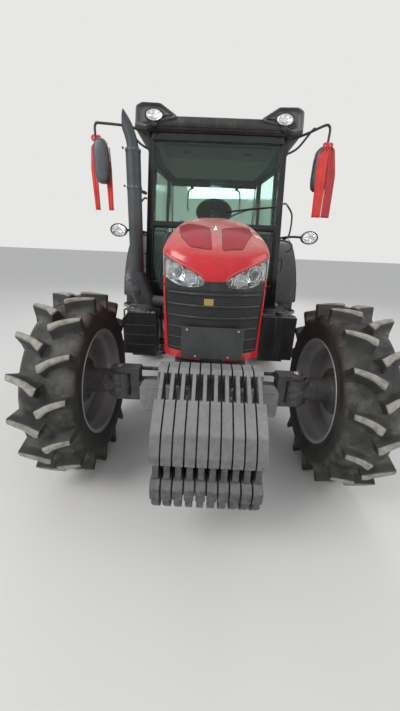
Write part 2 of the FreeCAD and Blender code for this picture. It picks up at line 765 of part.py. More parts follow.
def make_hood():
    """Hood shell with its nose, grille, lamps and plate."""
    whole = hood_form(0.0).cut(hood_form(hood_wall))
    nose = box(-600.0, 600.0, nose_front - 20.0, nose_rear, nose_bottom - 50.0, nose_top)
    front = whole.common(nose)
    shell = whole.cut(nose)
    lamp_cut = joined([cross_plate([(hand * x, z) for x, z in headlamp_outline], nose_front - 60.0, -230.0)
                       for hand in (1.0, -1.0)])
    lamps = shell.common(lamp_cut)
    shell = shell.cut(lamp_cut)
    shell = max(shell.Solids, key=lambda solid: solid.Volume)
    hinge = (hood_hinge_place, hood_hinge_height)
    for hand in (1.0, -1.0):
        x0, x1 = sorted((hand * (hood_hinge_half - hood_ear_thickness), hand * hood_hinge_half))
        ear = side_plate([(hinge[0] - 60.0, 1900.0), (hinge[0] - 22.0, hinge[1] - 22.0),
                          (hinge[0] + 22.0, hinge[1] - 22.0), (hinge[0] + 50.0, 1900.0)], x0, x1)
        ear = ear.common(hood_form(hood_wall / 2.0))
        bore = rod((x0 - 1.0, *hinge), (x1 + 1.0, *hinge), hood_hinge_radius + pin_gap)
        shell = joined([shell, ear]).cut(bore)
    nodes["hood"] = shell
    opening = cross_plate([(-grille_low_half, grille_bottom), (grille_low_half, grille_bottom),
                           (grille_high_half, grille_top), (-grille_high_half, grille_top)],
                          nose_front - 60.0, -300.0)
    nodes["nose_trim"] = front.cut(opening)
    grille = front.common(opening)
    for number in range(grille_slots):
        low = grille_bottom + 40.0 + grille_slot_pitch * number
        grille = grille.cut(box(-grille_slot_half, grille_slot_half, nose_front - 60.0, -300.0,
                                low, low + grille_slot_height))
    nodes["grille"] = grille
    left = [solid for solid in lamps.Solids if solid.CenterOfMass.x > 0]
    right = [solid for solid in lamps.Solids if solid.CenterOfMass.x < 0]
    nodes["headlamps"] = apart([max(group, key=lambda solid: solid.Volume) for group in (left, right)])
    face = nose_front - plate_stand_off
    plate = [box(-plate_half_width, plate_half_width, face - plate_thickness, face,
                 plate_bottom, plate_bottom + plate_height)]
    for x, z in ((135.0, plate_bottom + plate_height - 14.0), (88.0, plate_bottom + 13.0)):
        back = nose_front + nose_round - math.sqrt(nose_round ** 2 - x ** 2) + plate_stud_radius
        for hand in (1.0, -1.0):
            plate.append(swept([(hand * x, face - 1.0, z), (hand * x, back, z)], plate_stud_radius, 6))
    nodes["number_plate"] = joined(plate).cut(nodes["nose_trim"]).cut(nodes["grille"])


def rail(start, end, wide, high):
    """Level-sided rail between two (across, along, up) middle points."""
    rings = []
    for x, y, z in (start, end):
        rings.append([
            Vector(x - wide / 2.0, at(y), z - high / 2.0), Vector(x + wide / 2.0, at(y), z - high / 2.0),
            Vector(x + wide / 2.0, at(y), z + high / 2.0), Vector(x - wide / 2.0, at(y), z + high / 2.0)])
    return prism_between(rings).removeSplitter()


def cab_side(place, height):
    """Outside of the cab's +X wall: splayed to the middle pillar, drawn in behind it."""
    lean = cab_lean * (height - cab_floor_top)
    if place <= cab_middle:
        return cab_front_half + cab_splay * (place - cab_front) - lean
    wide = cab_front_half + cab_splay * (cab_middle - cab_front)
    return wide - cab_tuck * (place - cab_middle) - lean


def side_skin(outline, outer, inner):
    """Plate in the cab's +X wall on (along, up) points, between two depths."""
    points = [Vector(cab_side(y, z) - outer, at(y), z) for y, z in outline]
    return face_of(points).extrude(Vector(outer - inner, 0, 0))


def door_opening():
    """Outline of the doorway in the cab's side, clear of the arch over the wheel."""
    front = cab_front + pillar_width
    rear = cab_middle - pillar_width / 2.0
    top = cab_head - header_height
    outline = [
        (front, cab_floor_top + door_sill), (front - 5.0, cowl_height), (front + 50.0, top), (rear, top)]
    radius = fender_radius() + door_arch_room
    high = math.acos((wheelbase - rear) / radius)
    low = math.asin((cab_floor_top + door_sill - rear_tyre_radius) / radius)
    for number in range(door_arch_facets + 1):
        turn = between(high, low, number / door_arch_facets)
        outline.append((wheelbase - radius * math.cos(turn), rear_tyre_radius + radius * math.sin(turn)))
    return outline


def inside(outline, gap):
    """Points of an outline moved in by a gap, square to its sides."""
    area = sum(a[0] * b[1] - b[0] * a[1] for a, b in zip(outline, outline[1:] + outline[:1]))
    turn = 1.0 if area > 0 else -1.0
    moved = []
    count = len(outline)
    for i in range(count):
        before, here, after = outline[i - 1], outline[i], outline[(i + 1) % count]
        first = (here[0] - before[0], here[1] - before[1])
        second = (after[0] - here[0], after[1] - here[1])
        a = math.hypot(*first)
        b = math.hypot(*second)
        n1 = (-first[1] / a * turn, first[0] / a * turn)
        n2 = (-second[1] / b * turn, second[0] / b * turn)
        dot = 1.0 + n1[0] * n2[0] + n1[1] * n2[1]
        moved.append((here[0] + gap * (n1[0] + n2[0]) / dot, here[1] + gap * (n1[1] + n2[1]) / dot))
    return moved


def hinge_line(height):
    """Point of the +X door's hinge line at a height."""
    place = cab_middle - pillar_width / 2.0
    return (cab_side(place, height) + hinge_stand_off, place, height)


def hinge_half(height, hand):
    """Barrel and leaf of a door hinge: the door's is above, the pillar's below."""
    low = height + (hinge_gap / 2.0 if hand > 0 else -hinge_length)
    high = low + hinge_length - hinge_gap / 2.0
    ends = hinge_line(low), hinge_line(high)
    barrel = few_sided(*ends, hinge_radius, 8) if hand > 0 else rod(*ends, hinge_radius)
    x, y, z = hinge_line(height)
    y0, y1 = (y - hinge_leaf, y) if hand > 0 else (y, y + hinge_leaf)
    leaf = side_skin([(y0, low), (y1, low), (y1, high), (y0, high)], -hinge_leaf_thickness, 0.0)
    neck = box(x - hinge_stand_off + hinge_leaf_thickness / 2.0 + 1.0, x, y - 3.0, y + 3.0, low, high)
    return joined([barrel, leaf, neck])


def make_cab():
    """Cab frame with its floor, panes, doors and roof."""
    arch = arch_block(fender_radius() + fender_wall + slide_gap, -fender_outer, fender_outer)
    sill = cab_floor_top - cab_sill_drop
    top = cab_head - header_height
    front_zone = [
        (cab_front - 25.0, sill), (cab_front - 30.0, cowl_height), (cab_front + 20.0, cab_head),
        (cab_middle, cab_head), (cab_middle, platform_top), (wheelbase - rear_tyre_radius + 20.0, sill)]
    rear_zone = [
        (cab_middle, cowl_height - 300.0), (cab_middle, cab_head), (cab_rear - 30.0, cab_head),
        (cab_rear, cowl_height), (cab_rear, cowl_height - 300.0)]
    quarter = [
        (cab_middle + pillar_width / 2.0, top), (cab_rear - 85.0, top), (cab_rear - 60.0, cowl_height + 60.0),
        (cab_middle + pillar_width / 2.0, cowl_height + 60.0)]
    front_side = side_skin(front_zone, 0.0, pillar_depth).cut(
        side_skin(door_opening(), -10.0, pillar_depth + 10.0))
    rear_side = side_skin(rear_zone, 0.0, pillar_depth).cut(
        side_skin(quarter, -10.0, pillar_depth + 10.0))
    side = joined([front_side, rear_side]).cut(arch)
    fixed = [hinge_half(height, -1.0) for height in hinge_heights]
    side = joined([side] + fixed)
    pieces = [side, mirrored(side)]
    for place in (cab_front + 20.0, cab_rear - 70.0):
        reach = cab_side(place, cab_head) - pillar_depth + 3.0
        pieces.append(box(-reach, reach, place, place + 40.0, top, cab_head))
    nodes["cab_frame"] = joined(pieces)

    outline = inside(door_opening(), door_gap)
    window = inside(outline, door_rim)
    door = side_skin(outline, 0.0, door_thickness).cut(side_skin(window, -5.0, door_thickness + 5.0))
    door = joined([door] + [hinge_half(height, 1.0) for height in hinge_heights])
    glass = side_skin(window, 12.0, 12.0 + glass_thickness)
    quarter_pane = side_skin(quarter, 18.0, 18.0 + glass_thickness)
    nodes["door_left"] = door
    nodes["door_glass_left"] = glass
    nodes["door_right"] = mirrored(door)
    nodes["door_glass_right"] = mirrored(glass)
    make_cab_ends(arch, [quarter_pane, mirrored(quarter_pane)])
    make_cab_floor()
    make_roof()


def make_cab_ends(arch, panes):
    """Front wall with its cowl panes, windscreen, rear wall and rear window."""
    top = cab_head - header_height
    wall_top = cowl_height + 10.0
    low_half = cab_side(wall_front, cab_floor_top) - pillar_depth - slide_gap
    high_half = cab_side(wall_front, wall_top) - pillar_depth - slide_gap
    sill = cab_floor_top - cab_sill_drop
    wall = cross_plate([(-low_half, sill), (low_half, sill), (high_half, wall_top), (-high_half, wall_top)],
                       wall_front, wall_front + wall_thickness)
    for hand in (1.0, -1.0):
        hole = [(hand * cowl_half, 1270.0), (hand * (low_half - 25.0), 1270.0),
                (hand * (high_half - 18.0), cowl_height - 25.0), (hand * cowl_half, cowl_height - 25.0)]
        wall = wall.cut(cross_plate(hole, wall_front - 1.0, wall_front + wall_thickness + 1.0))
        panes.append(cross_plate(hole, wall_front + 15.0, wall_front + 15.0 + glass_thickness))
    nodes["front_wall"] = wall

    ring = []
    for hand, z, y in ((-1.0, wall_top, wall_front + 5.0), (1.0, wall_top, wall_front + 5.0),
                       (1.0, top, cab_front + 30.0), (-1.0, top, cab_front + 30.0)):
        ring.append(Vector(hand * (cab_side(y, z) - pillar_depth - slide_gap), at(y), z))
    nodes["windscreen"] = face_of(ring).extrude(Vector(0, glass_thickness, 0))

    place = cab_rear - 40.0
    half = cab_side(place + glass_thickness, top) - pillar_depth - slide_gap
    panes.append(box(-half, half, place, place + glass_thickness, rear_sill_top, top))
    nodes["cab_panes"] = apart(panes)

    reach = fender_inner - fender_wall
    y0, y1 = cab_rear - 45.0, cab_rear - 10.0
    panel = box(-reach, reach, y0, y1, platform_bottom, rear_sill_top - 130.0)
    middle = box(-reach, reach, y0, y1, rear_sill_top - 131.0, rear_sill_top - 59.0)
    sill_half = cab_side(cab_rear, rear_sill_top) - pillar_depth - slide_gap
    sill = box(-sill_half, sill_half, y0, y1, rear_sill_top - 60.0, rear_sill_top)
    fender_space = arch.cut(box(-reach, reach, cab_front, cab_rear + 1500.0, 0.0, 2500.0))
    nodes["rear_wall"] = joined([panel, middle, sill]).cut(fender_space)


def make_cab_floor():
    """Stepped floor with its feet on the gearbox and on the axle housings."""
    floor_front = wall_front + wall_thickness
    low = cab_floor_top - cab_sill_drop - 1.0
    pieces = [
        box(-floor_half, floor_half, floor_front, floor_step, cab_floor_top - cab_floor_thickness, low),
        box(-floor_half, floor_half, floor_step - 30.0, floor_step, low - 1.0, platform_top),
        box(-floor_half, floor_half, floor_step - 1.0, cab_rear - 45.0, platform_bottom, platform_top)]
    for hand in (1.0, -1.0):
        x0, x1 = sorted((hand * 380.0, hand * 460.0))
        pieces.append(box(x0, x1, wheelbase - 45.0, wheelbase + 45.0,
                          rear_tyre_radius + 0.9 * trumpet_radius, platform_bottom))
        x0, x1 = sorted((hand * 60.0, hand * 140.0))
        pieces.append(box(x0, x1, cab_front + 160.0, cab_front + 250.0, gearbox_top,
                          cab_floor_top - cab_floor_thickness))
    nodes["cab_floor"] = joined(pieces).cut(nodes["final_drive"])


def make_roof():
    """Roof with its cut corners and the two lamp pods under its front edge."""
    # share of the height, inset of the sides, of the front and of the rear, corner cut
    table = [(0.0, 45.0, 55.0, 70.0, 60.0), (0.19, 0.0, 0.0, 0.0, 110.0), (0.43, 5.0, 5.0, 15.0, 120.0),
             (0.62, 40.0, 145.0, 70.0, 120.0), (0.85, 120.0, 340.0, 190.0, 120.0),
             (1.0, 265.0, 500.0, 330.0, 120.0)]
    rings = []
    for share, side_inset, front_inset, rear_inset, corner in table:
        half = roof_half - side_inset
        front = roof_front + front_inset
        rear = roof_rear - rear_inset
        outline = [
            (-half + corner, front), (half - corner, front), (half, front + corner), (half, rear - corner),
            (half - corner, rear), (-half + corner, rear), (-half, rear - corner), (-half, front + corner)]
        rings.append([Vector(x, at(y), cab_head + roof_height * share) for x, y in outline])
    nodes["cab_roof"] = prism_between(rings).removeSplitter()
    pods = []
    for hand in (1.0, -1.0):
        pod = cross_plate([(hand * x, cab_head + z) for x, z in pod_outline], pod_front, pod_rear)
        pods.append(max(pod.cut(nodes["cab_roof"]).Solids, key=lambda solid: solid.Volume))
    nodes["roof_lamps"] = apart(pods)


def fender_radius():
    """Inside radius of the arch over a rear tyre."""
    return rear_tyre_radius + fender_clearance


def make_fenders():
    """Arch over each rear tyre with its inner wall."""
    radius = fender_radius()
    for name, hand in (("left", 1.0), ("right", -1.0)):
        x0, x1 = sorted((hand * fender_inner, hand * fender_outer))
        arch = arch_block(radius + fender_wall, x0, x1).cut(arch_block(radius, x0 - 1.0, x1 + 1.0))
        x0, x1 = sorted((hand * (fender_inner - fender_wall), hand * fender_inner))
        wall = arch_block(radius + fender_wall, x0, x1)
        below = box(-fender_outer - 1.0, fender_outer + 1.0,
                    wheelbase - 2.0 * radius, wheelbase + 2.0 * radius, -radius, fender_bottom)
        nodes["fender_" + name] = joined([arch, wall]).cut(below)


def make_cab_inside():
    """Seat, steering column and dashboard."""
    seat_front = cab_rear - 800.0
    seat_rear = seat_front + seat_depth
    nodes["seat_base"] = joined([
        box(-180.0, 180.0, seat_front + 60.0, seat_rear - 40.0, platform_top, platform_top + 60.0),
        box(-130.0, 130.0, seat_front + 110.0, seat_rear - 80.0, platform_top + 59.0, seat_height)])
    cushion_top = seat_height + cushion_thickness
    nodes["seat_cushion"] = box(-seat_half, seat_half, seat_front, seat_rear,
                                seat_height + slide_gap, cushion_top)
    nodes["seat_back"] = side_plate(
        [(seat_rear - 25.0, cushion_top + slide_gap), (seat_rear + 105.0, cushion_top + slide_gap),
         (seat_rear + 190.0, cushion_top + back_height), (seat_rear + 95.0, cushion_top + back_height + 20.0)],
        -seat_half + 10.0, seat_half - 10.0)
    foot = cab_floor_top - cab_sill_drop - 1.0
    front = wall_front + wall_thickness
    nodes["dashboard"] = side_plate(
        [(front, foot), (front + 120.0, foot), (front + 155.0, cowl_height - 200.0),
         (front + 200.0, cowl_height), (front + 110.0, cowl_height + 40.0), (front, cowl_height - 10.0)],
        -dashboard_half, dashboard_half)
    tilt = math.radians(steering_tilt)

    def on_column(reach, radius=0.0, turn=0.0):
        """Point on the column's line, or off it square to the line."""
        x = radius * math.cos(turn)
        off = radius * math.sin(turn)
        return (x, steering_place + reach * math.sin(tilt) + off * math.cos(tilt),
                steering_height + reach * math.cos(tilt) - off * math.sin(tilt))

    section = []
    for number in range(6):
        turn = math.pi * number / 3.0
        section.append((steering_rim_radius * math.cos(turn),
                        steering_wheel_radius + steering_rim_radius * math.sin(turn)))
    rim_ring = many_sided_ring(section, 24, 0.5)
    rim_ring.rotate(Vector(0, 0, 0), ALONG, -90)
    rim_ring.rotate(Vector(0, 0, 0), ACROSS, -steering_tilt)
    rim_ring.translate(Vector(0, at(steering_place), steering_height))
    pieces = [rim_ring, swept([on_column(-30.0), on_column(20.0)], steering_hub_radius, 12),
              swept([on_column(-260.0), on_column(0.0)], 32.0)]
    for turn in (90.0, 210.0, 330.0):
        end = on_column(0.0, steering_wheel_radius, math.radians(turn))
        pieces.append(swept([on_column(0.0), end], 11.0, 6))
    nodes["steering_wheel"] = joined(pieces).cut(nodes["dashboard"])


def make_side_pieces():
    """Exhaust, step boxes, mirrors and stalk lamps."""
    x = exhaust_side
    y = exhaust_place
    low = exhaust_bottom - 60.0
    muffler = few_sided((x, y, exhaust_bottom), (x, y, exhaust_top), exhaust_radius, 16)
    elbow = swept([(x, y, exhaust_bottom + 1.0), (x, y, low), (-engine_half_width, y, low)], elbow_radius, 10)
    tail = swept([(x, y, exhaust_top - 1.0), (x - 20.0, y, exhaust_top + 65.0),
                  (x - 50.0, y, exhaust_top + 160.0), (x - 105.0, y, exhaust_top + 235.0)], tail_radius, 10)
    stay = swept([(x, y + 40.0, stay_height),
                  (-cab_side(cab_front - 28.0, stay_height) + 22.0, cab_front - 28.0, stay_height)], 14.0, 6)
    nodes["exhaust"] = joined([muffler, elbow, tail, stay]).cut(nodes["cab_frame"])

    for name, hand in (("fuel_tank_left", 1.0), ("step_box_right", -1.0)):
        x0, x1 = sorted((hand * step_box_inner, hand * step_box_outer))
        pieces = [box(x0, x1, step_box_front, step_box_rear, step_box_bottom, step_box_top)]
        x0, x1 = sorted((hand * gearbox_half_width, hand * (step_box_inner + 1.0)))
        hanger = max(engine_rear, step_box_front) + 20.0
        for low in (step_box_bottom + 40.0, step_box_top - 120.0):
            pieces.append(box(x0, x1, hanger, hanger + 80.0, low, low + 50.0))
        x0, x1 = sorted((hand * (step_box_outer - 250.0), hand * (step_box_outer + 30.0)))
        for low in (step_low, between(step_low, step_box_top, 0.45), step_box_top - 100.0):
            pieces.append(box(x0, x1, step_box_rear - 1.0, steps_end, low, low + step_tread))
        x0, x1 = sorted((hand * (step_box_outer - 254.0), hand * (step_box_outer - 246.0)))
        top = step_box_top - 100.0 + step_tread
        pieces.append(box(x0, x1, step_box_rear - 1.0, steps_end, step_low, top))
        nodes[name] = joined(pieces)

    ribbon_stand = mirror_half_depth + slide_gap + ribbon_depth / 2.0
    # inner and outer edge of the mirror, the ribbons' inner edges and their side of the mirror
    for name, hand, inner, outer, ribbon_places, face in (
            ("left", 1.0, 835.0, 990.0, (882.0, 970.0), -ribbon_stand),
            ("right", -1.0, 945.0, 1085.0, (950.0, 1029.0), ribbon_stand)):
        middle = (inner + outer) / 2.0
        root = cab_side(cab_front + 30.0, mirror_root_height) - 4.0
        line = [(root, cab_front + 30.0, mirror_root_height),
                (root + 90.0, cab_front, mirror_root_height + 60.0),
                (middle, mirror_place, mirror_root_height + 160.0),
                (middle, mirror_place, mirror_bottom + mirror_height - 15.0)]
        arm = swept([(hand * x, y, z) for x, y, z in line], mirror_arm_radius, 6)
        arm = arm.cut(nodes["cab_frame"]).cut(nodes["cab_roof"])
        x0, x1 = sorted((hand * inner, hand * outer))
        shell = box(x0, x1, mirror_place - mirror_half_depth, mirror_place + mirror_half_depth,
                    mirror_bottom, mirror_bottom + mirror_height)
        nodes["mirror_" + name] = joined([arm, shell])
        ribbons = []
        y0 = mirror_place + face - ribbon_depth / 2.0
        for place in ribbon_places:
            x0, x1 = sorted((hand * place, hand * (place + ribbon_width)))
            ribbons.append(box(x0, x1, y0, y0 + ribbon_depth, ribbon_bottom, ribbon_top))
        nodes["ribbons_" + name] = apart(ribbons)

        root = (hand * (cab_side(cab_front - 20.0, lamp_height) - 8.0), cab_front - 20.0, lamp_height)
        lamp_rear = lamp_place + lamp_half_depth
        stalk = swept([root, (hand * lamp_side, lamp_rear - 5.0, lamp_height)], 10.0, 6)
        rings = []
        for share, size in ((-1.0, 0.72), (-0.4, 1.0), (0.3, 0.92), (1.0, 0.35)):
            ring = []
            for number in range(10):
                turn = 2.0 * math.pi * number / 10
                ring.append(Vector(hand * lamp_side + lamp_half_width * size * math.cos(turn),
                                   at(lamp_place + lamp_half_depth * share),
                                   lamp_height + lamp_half_height * size * math.sin(turn)))
            rings.append(ring)
        head = prism_between(rings).removeSplitter()
        nodes["stalk_lamp_" + name] = joined([stalk, head]).cut(nodes["cab_frame"])


def make_rear_linkage():
    """Lower links, lift arms and rods, top link, power shaft and drawbar."""
    angle = math.radians(link_angle)
    pin_y = link_pivot_place + link_pin_reach * math.cos(angle)
    pin_z = link_pivot_height + link_pin_reach * math.sin(angle)
    end_y = link_pivot_place + link_length * math.cos(angle)
    end_z = link_pivot_height + link_length * math.sin(angle)
    arm_y = rockshaft_place + link_pin_reach * math.cos(angle)
    arm_z = rockshaft_height + link_pin_reach * math.sin(angle)
    pin_half = between(link_pivot_half, link_spread_half, link_pin_reach / link_length)
    half = link_thickness / 2.0
    pin_bore = lift_pin_radius + pin_gap
    arm_inner = rockshaft_half - lift_arm_thickness
    rod_low = pin_half + half + slide_gap + 2.0 * lift_rod_radius
    links = []
    arms = []
    rods = []
    pins = []
    for hand in (1.0, -1.0):
        def across(x0, x1, y, z, radius, sides=0):
            """Round or many-sided bar across the machine, on this hand's side."""
            ends = (hand * x0, y, z), (hand * x1, y, z)
            return swept(ends, radius / math.cos(math.pi / sides), sides) if sides else rod(*ends, radius)

        bar = rail((hand * link_pivot_half, link_pivot_place + 30.0 * math.cos(angle),
                    link_pivot_height + 30.0 * math.sin(angle)),
                   (hand * link_spread_half, end_y - 30.0, end_z - 30.0 * math.tan(angle)),
                   link_thickness, link_height)
        eye = across(link_pivot_half - half - 4.0, link_pivot_half + half + 4.0, link_pivot_place,
                     link_pivot_height, link_eye_radius, 10)
        tip = across(link_spread_half - hitch_ball_half, link_spread_half + hitch_ball_half, end_y, end_z,
                     hitch_ball_radius, 12)
        link = joined([bar, eye, tip])
        link = link.cut(across(link_pivot_half - 60.0, link_pivot_half + 60.0, link_pivot_place,
                               link_pivot_height, link_pin_radius + pin_gap, 10))
        link = link.cut(across(link_spread_half - 60.0, link_spread_half + 60.0, end_y, end_z,
                               hitch_bore / 2.0))
        links.append(link.cut(across(pin_half - 60.0, pin_half + 60.0, pin_y, pin_z, pin_bore, 8)))
        pins.append(across(final_half_width - 20.0, link_pivot_half + half + 16.0, link_pivot_place,
                           link_pivot_height, link_pin_radius))
        middle = hand * (arm_inner + lift_arm_thickness / 2.0)
        arm = joined([
            rail((middle, rockshaft_place, rockshaft_height), (middle, arm_y, arm_z),
                 lift_arm_thickness, lift_arm_height),
            across(arm_inner, rockshaft_half, rockshaft_place, rockshaft_height, 58.0, 12),
            across(arm_inner, rockshaft_half, arm_y, arm_z, 34.0, 10)])
        arms.append(arm.cut(across(arm_inner - 60.0, rockshaft_half + 60.0, arm_y, arm_z, pin_bore, 8)))
        top = rockshaft_half + slide_gap + lift_rod_radius
        rods.append(joined([
            swept([(hand * top, arm_y, arm_z), (hand * rod_low, pin_y, pin_z)], lift_rod_radius),
            across(rockshaft_half + slide_gap, rockshaft_half + 38.0, arm_y, arm_z, 28.0, 8),
            across(arm_inner, rockshaft_half + 37.0, arm_y, arm_z, lift_pin_radius),
            across(rod_low - lift_rod_radius, rod_low + lift_rod_radius, pin_y, pin_z, 28.0, 8),
            swept([(hand * (pin_half - half - 16.0), pin_y, pin_z), (hand * rod_low, pin_y, pin_z)],
                  lift_pin_radius)]))
    nodes["lower_links"] = apart(links)
    shaft = [(x, rockshaft_place, rockshaft_height) for x in (1.0 - rockshaft_half, rockshaft_half - 1.0)]
    nodes["lift_arms"] = joined(arms + [swept(shaft, rockshaft_radius, 12)])
    nodes["lift_rods"] = apart(rods)

    cover_half = 0.85 * final_half_width
    cover = box(-cover_half, cover_half, rockshaft_place - 190.0, rockshaft_place + 62.0,
                final_top - 1.0, rockshaft_height + 62.0)
    eye = box(-top_link_fork_half, top_link_fork_half, final_rear - 1.0, final_rear + 60.0,
              top_link_height - 36.0, top_link_height + 36.0)
    slot = box(-top_link_eye_half - 1.0, top_link_eye_half + 1.0, final_rear + slide_gap, final_rear + 61.0,
               top_link_height - 37.0, top_link_height + 37.0)
    pin = (-60.0, top_link_pin(), top_link_height), (60.0, top_link_pin(), top_link_height)
    cover = joined([nodes["final_drive"], cover, eye] + pins).cut(slot).cut(rod(*pin, pin_bore))
    cover = cover.cut(rod(*shaft, rockshaft_radius + pin_gap))
    nodes["final_drive"] = cover.cut(few_sided(
        (0, final_rear - 200.0, pto_height), (0, final_rear + 10.0, pto_height),
        pto_radius + pto_shoulder + pin_gap, 12))
    tilt = math.radians(top_link_angle)
    near = (top_link_pin(), top_link_height)
    end = (near[0] + top_link_length * math.cos(tilt), near[1] + top_link_length * math.sin(tilt))
    reach = top_link_eye_half
    link = joined([
        swept([(0, *near), (0, *end)], top_link_radius, 10),
        swept([(-reach, *near), (reach, *near)], 27.0, 10),
        swept([(-2.0 * reach, *pin[0][1:]), (2.0 * reach, *pin[0][1:])], lift_pin_radius),
        swept([(-reach, *end), (reach, *end)], 34.0, 12)])
    nodes["top_link"] = link.cut(rod((-60.0, *end), (60.0, *end), hitch_pin_bore / 2.0))
    shoulder = final_rear - 1.0
    nodes["power_shaft"] = joined([
        rod((0, shoulder - 198.0, pto_height), (0, shoulder, pto_height), pto_radius + pto_shoulder),
        rod((0, shoulder, pto_height), (0, final_rear + pto_length, pto_height), pto_radius)])
    bar = box(-drawbar_half_width, drawbar_half_width, final_front + 30.0, drawbar_end,
              drawbar_height - drawbar_thickness, drawbar_height)
    hangers = [box(-62.0, 62.0, place, place + 70.0, drawbar_height - 1.0, final_bottom)
               for place in (final_front + 40.0, final_rear - 90.0)]
    hole = drawbar_end - drawbar_hole_inset
    nodes["drawbar"] = joined([bar] + hangers).cut(
        rod((0, hole, drawbar_height - 60.0), (0, hole, drawbar_height + 60.0), drawbar_bore / 2.0))


def top_link_pin():
    """Pin of the top link, in its fork behind the final drive."""
    return final_rear + 31.0


make_wheels()
make_front_axle()
make_spine()
make_engine()
make_weights()
make_hood()
make_cab()
make_fenders()
make_cab_inside()
make_side_pieces()
make_rear_linkage()

os.makedirs("parts", exist_ok=True)
for name, shape in nodes.items():
    shape.exportStep("parts/" + name + ".step")
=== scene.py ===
"""Farm tractor: its finishes and the finer shapes over the plain model.

Sizes are in millimetres.  Places along the machine are written from the front
axle line, and spot() turns them into metres in the model's frame.
"""
import logging
import math
import random
from dataclasses import dataclass
from enum import Enum
from typing import Iterable, Optional, Sequence, Union

import bmesh
import bpy
from mathutils import Matrix, Vector


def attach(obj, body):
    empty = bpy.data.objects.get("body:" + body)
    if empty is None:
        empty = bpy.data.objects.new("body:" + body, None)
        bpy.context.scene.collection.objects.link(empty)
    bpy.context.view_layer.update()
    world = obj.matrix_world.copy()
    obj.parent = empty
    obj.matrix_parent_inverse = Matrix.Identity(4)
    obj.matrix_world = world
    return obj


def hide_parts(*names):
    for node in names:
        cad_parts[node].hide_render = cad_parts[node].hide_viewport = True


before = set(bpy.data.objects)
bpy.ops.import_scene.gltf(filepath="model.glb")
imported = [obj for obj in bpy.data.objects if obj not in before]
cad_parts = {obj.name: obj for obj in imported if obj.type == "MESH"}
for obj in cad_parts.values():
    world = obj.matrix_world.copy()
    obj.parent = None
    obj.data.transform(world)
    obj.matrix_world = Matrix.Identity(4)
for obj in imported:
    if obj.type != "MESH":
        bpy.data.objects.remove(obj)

Colour = tuple[float, float, float]
Pair = tuple[float, float]
Trio = tuple[float, float, float]
Socket = bpy.types.NodeSocket
Value = Union[float, Sequence[float], Socket]

log = logging.getLogger("tractor")
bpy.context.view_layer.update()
FRONT_AXLE = 1281.0
ACROSS = Vector((1.0, 0.0, 0.0))
ALONG = Vector((0.0, 1.0, 0.0))
UP = Vector((0.0, 0.0, 1.0))
WHEELBASE = 2450.0


def spot(across: float, along: float, up: float) -> Vector:
    """Point of the model's frame, in metres, from a place on the drawings."""
    return Vector((across, along - FRONT_AXLE, up)) / 1000.0


def spots(points: Iterable[Trio]) -> list[Vector]:
    """Points of the model's frame from places on the drawings."""
    return [spot(*point) for point in points]


def between(low: float, high: float, share: float) -> float:
    """Value a share of the way from low to high."""
    return low + (high - low) * share


def along_table(table: Sequence[Pair], place: float) -> float:
    """Height of a broken line at a place.

    Args:
        table: (place, height) pairs in rising order of place.
        place: Where to read the line.

    Returns:
        The height there, level beyond both ends.
    """
    if place <= table[0][0]:
        return table[0][1]
    for (a, low), (b, high) in zip(table, table[1:]):
        if place <= b:
            return between(low, high, (place - a) / (b - a))
    return table[-1][1]


def bent(points: Sequence[Vector], steps: int = 6) -> list[Vector]:
    """Smooth line through points.

    Args:
        points: The points that the line passes.
        steps: Pieces that each run is cut into.

    Returns:
        Points along the line, with both ends.
    """
    line = []
    for i in range(len(points) - 1):
        p0 = points[max(i - 1, 0)]
        p1, p2 = points[i], points[i + 1]
        p3 = points[min(i + 2, len(points) - 1)]
        for k in range(steps):
            t = k / steps
            line.append(0.5 * ((2.0 * p1) + (p2 - p0) * t + (2.0 * p0 - 5.0 * p1 + 4.0 * p2 - p3) * t * t
                               + (3.0 * p1 - p0 - 3.0 * p2 + p3) * t * t * t))
    return line + [points[-1]]


def rounded(corners: Sequence[Pair], radius: float, steps: int = 4) -> list[Pair]:
    """Outline with its corners rounded.

    Args:
        corners: The outline's corners in order.
        radius: Size of the rounding, less where a side is short.
        steps: Pieces in each rounded corner.

    Returns:
        The new outline's points.
    """
    outline = []
    for i, corner in enumerate(corners):
        here = Vector(corner)
        before = Vector(corners[i - 1]) - here
        after = Vector(corners[(i + 1) % len(corners)]) - here
        reach = min(radius, 0.45 * before.length, 0.45 * after.length)
        a = here + before.normalized() * reach
        b = here + after.normalized() * reach
        for k in range(steps + 1):
            t = k / steps
            p = a * (1 - t) ** 2 + here * (2 * t * (1 - t)) + b * t ** 2
            outline.append((p.x, p.y))
    return outline


class Side(Enum):
    """The machine's two sides, with their sign across."""

    LEFT = 1.0
    RIGHT = -1.0

    @property
    def word(self) -> str:
        """Name of the side in the nodes' names."""
        return self.name.lower()


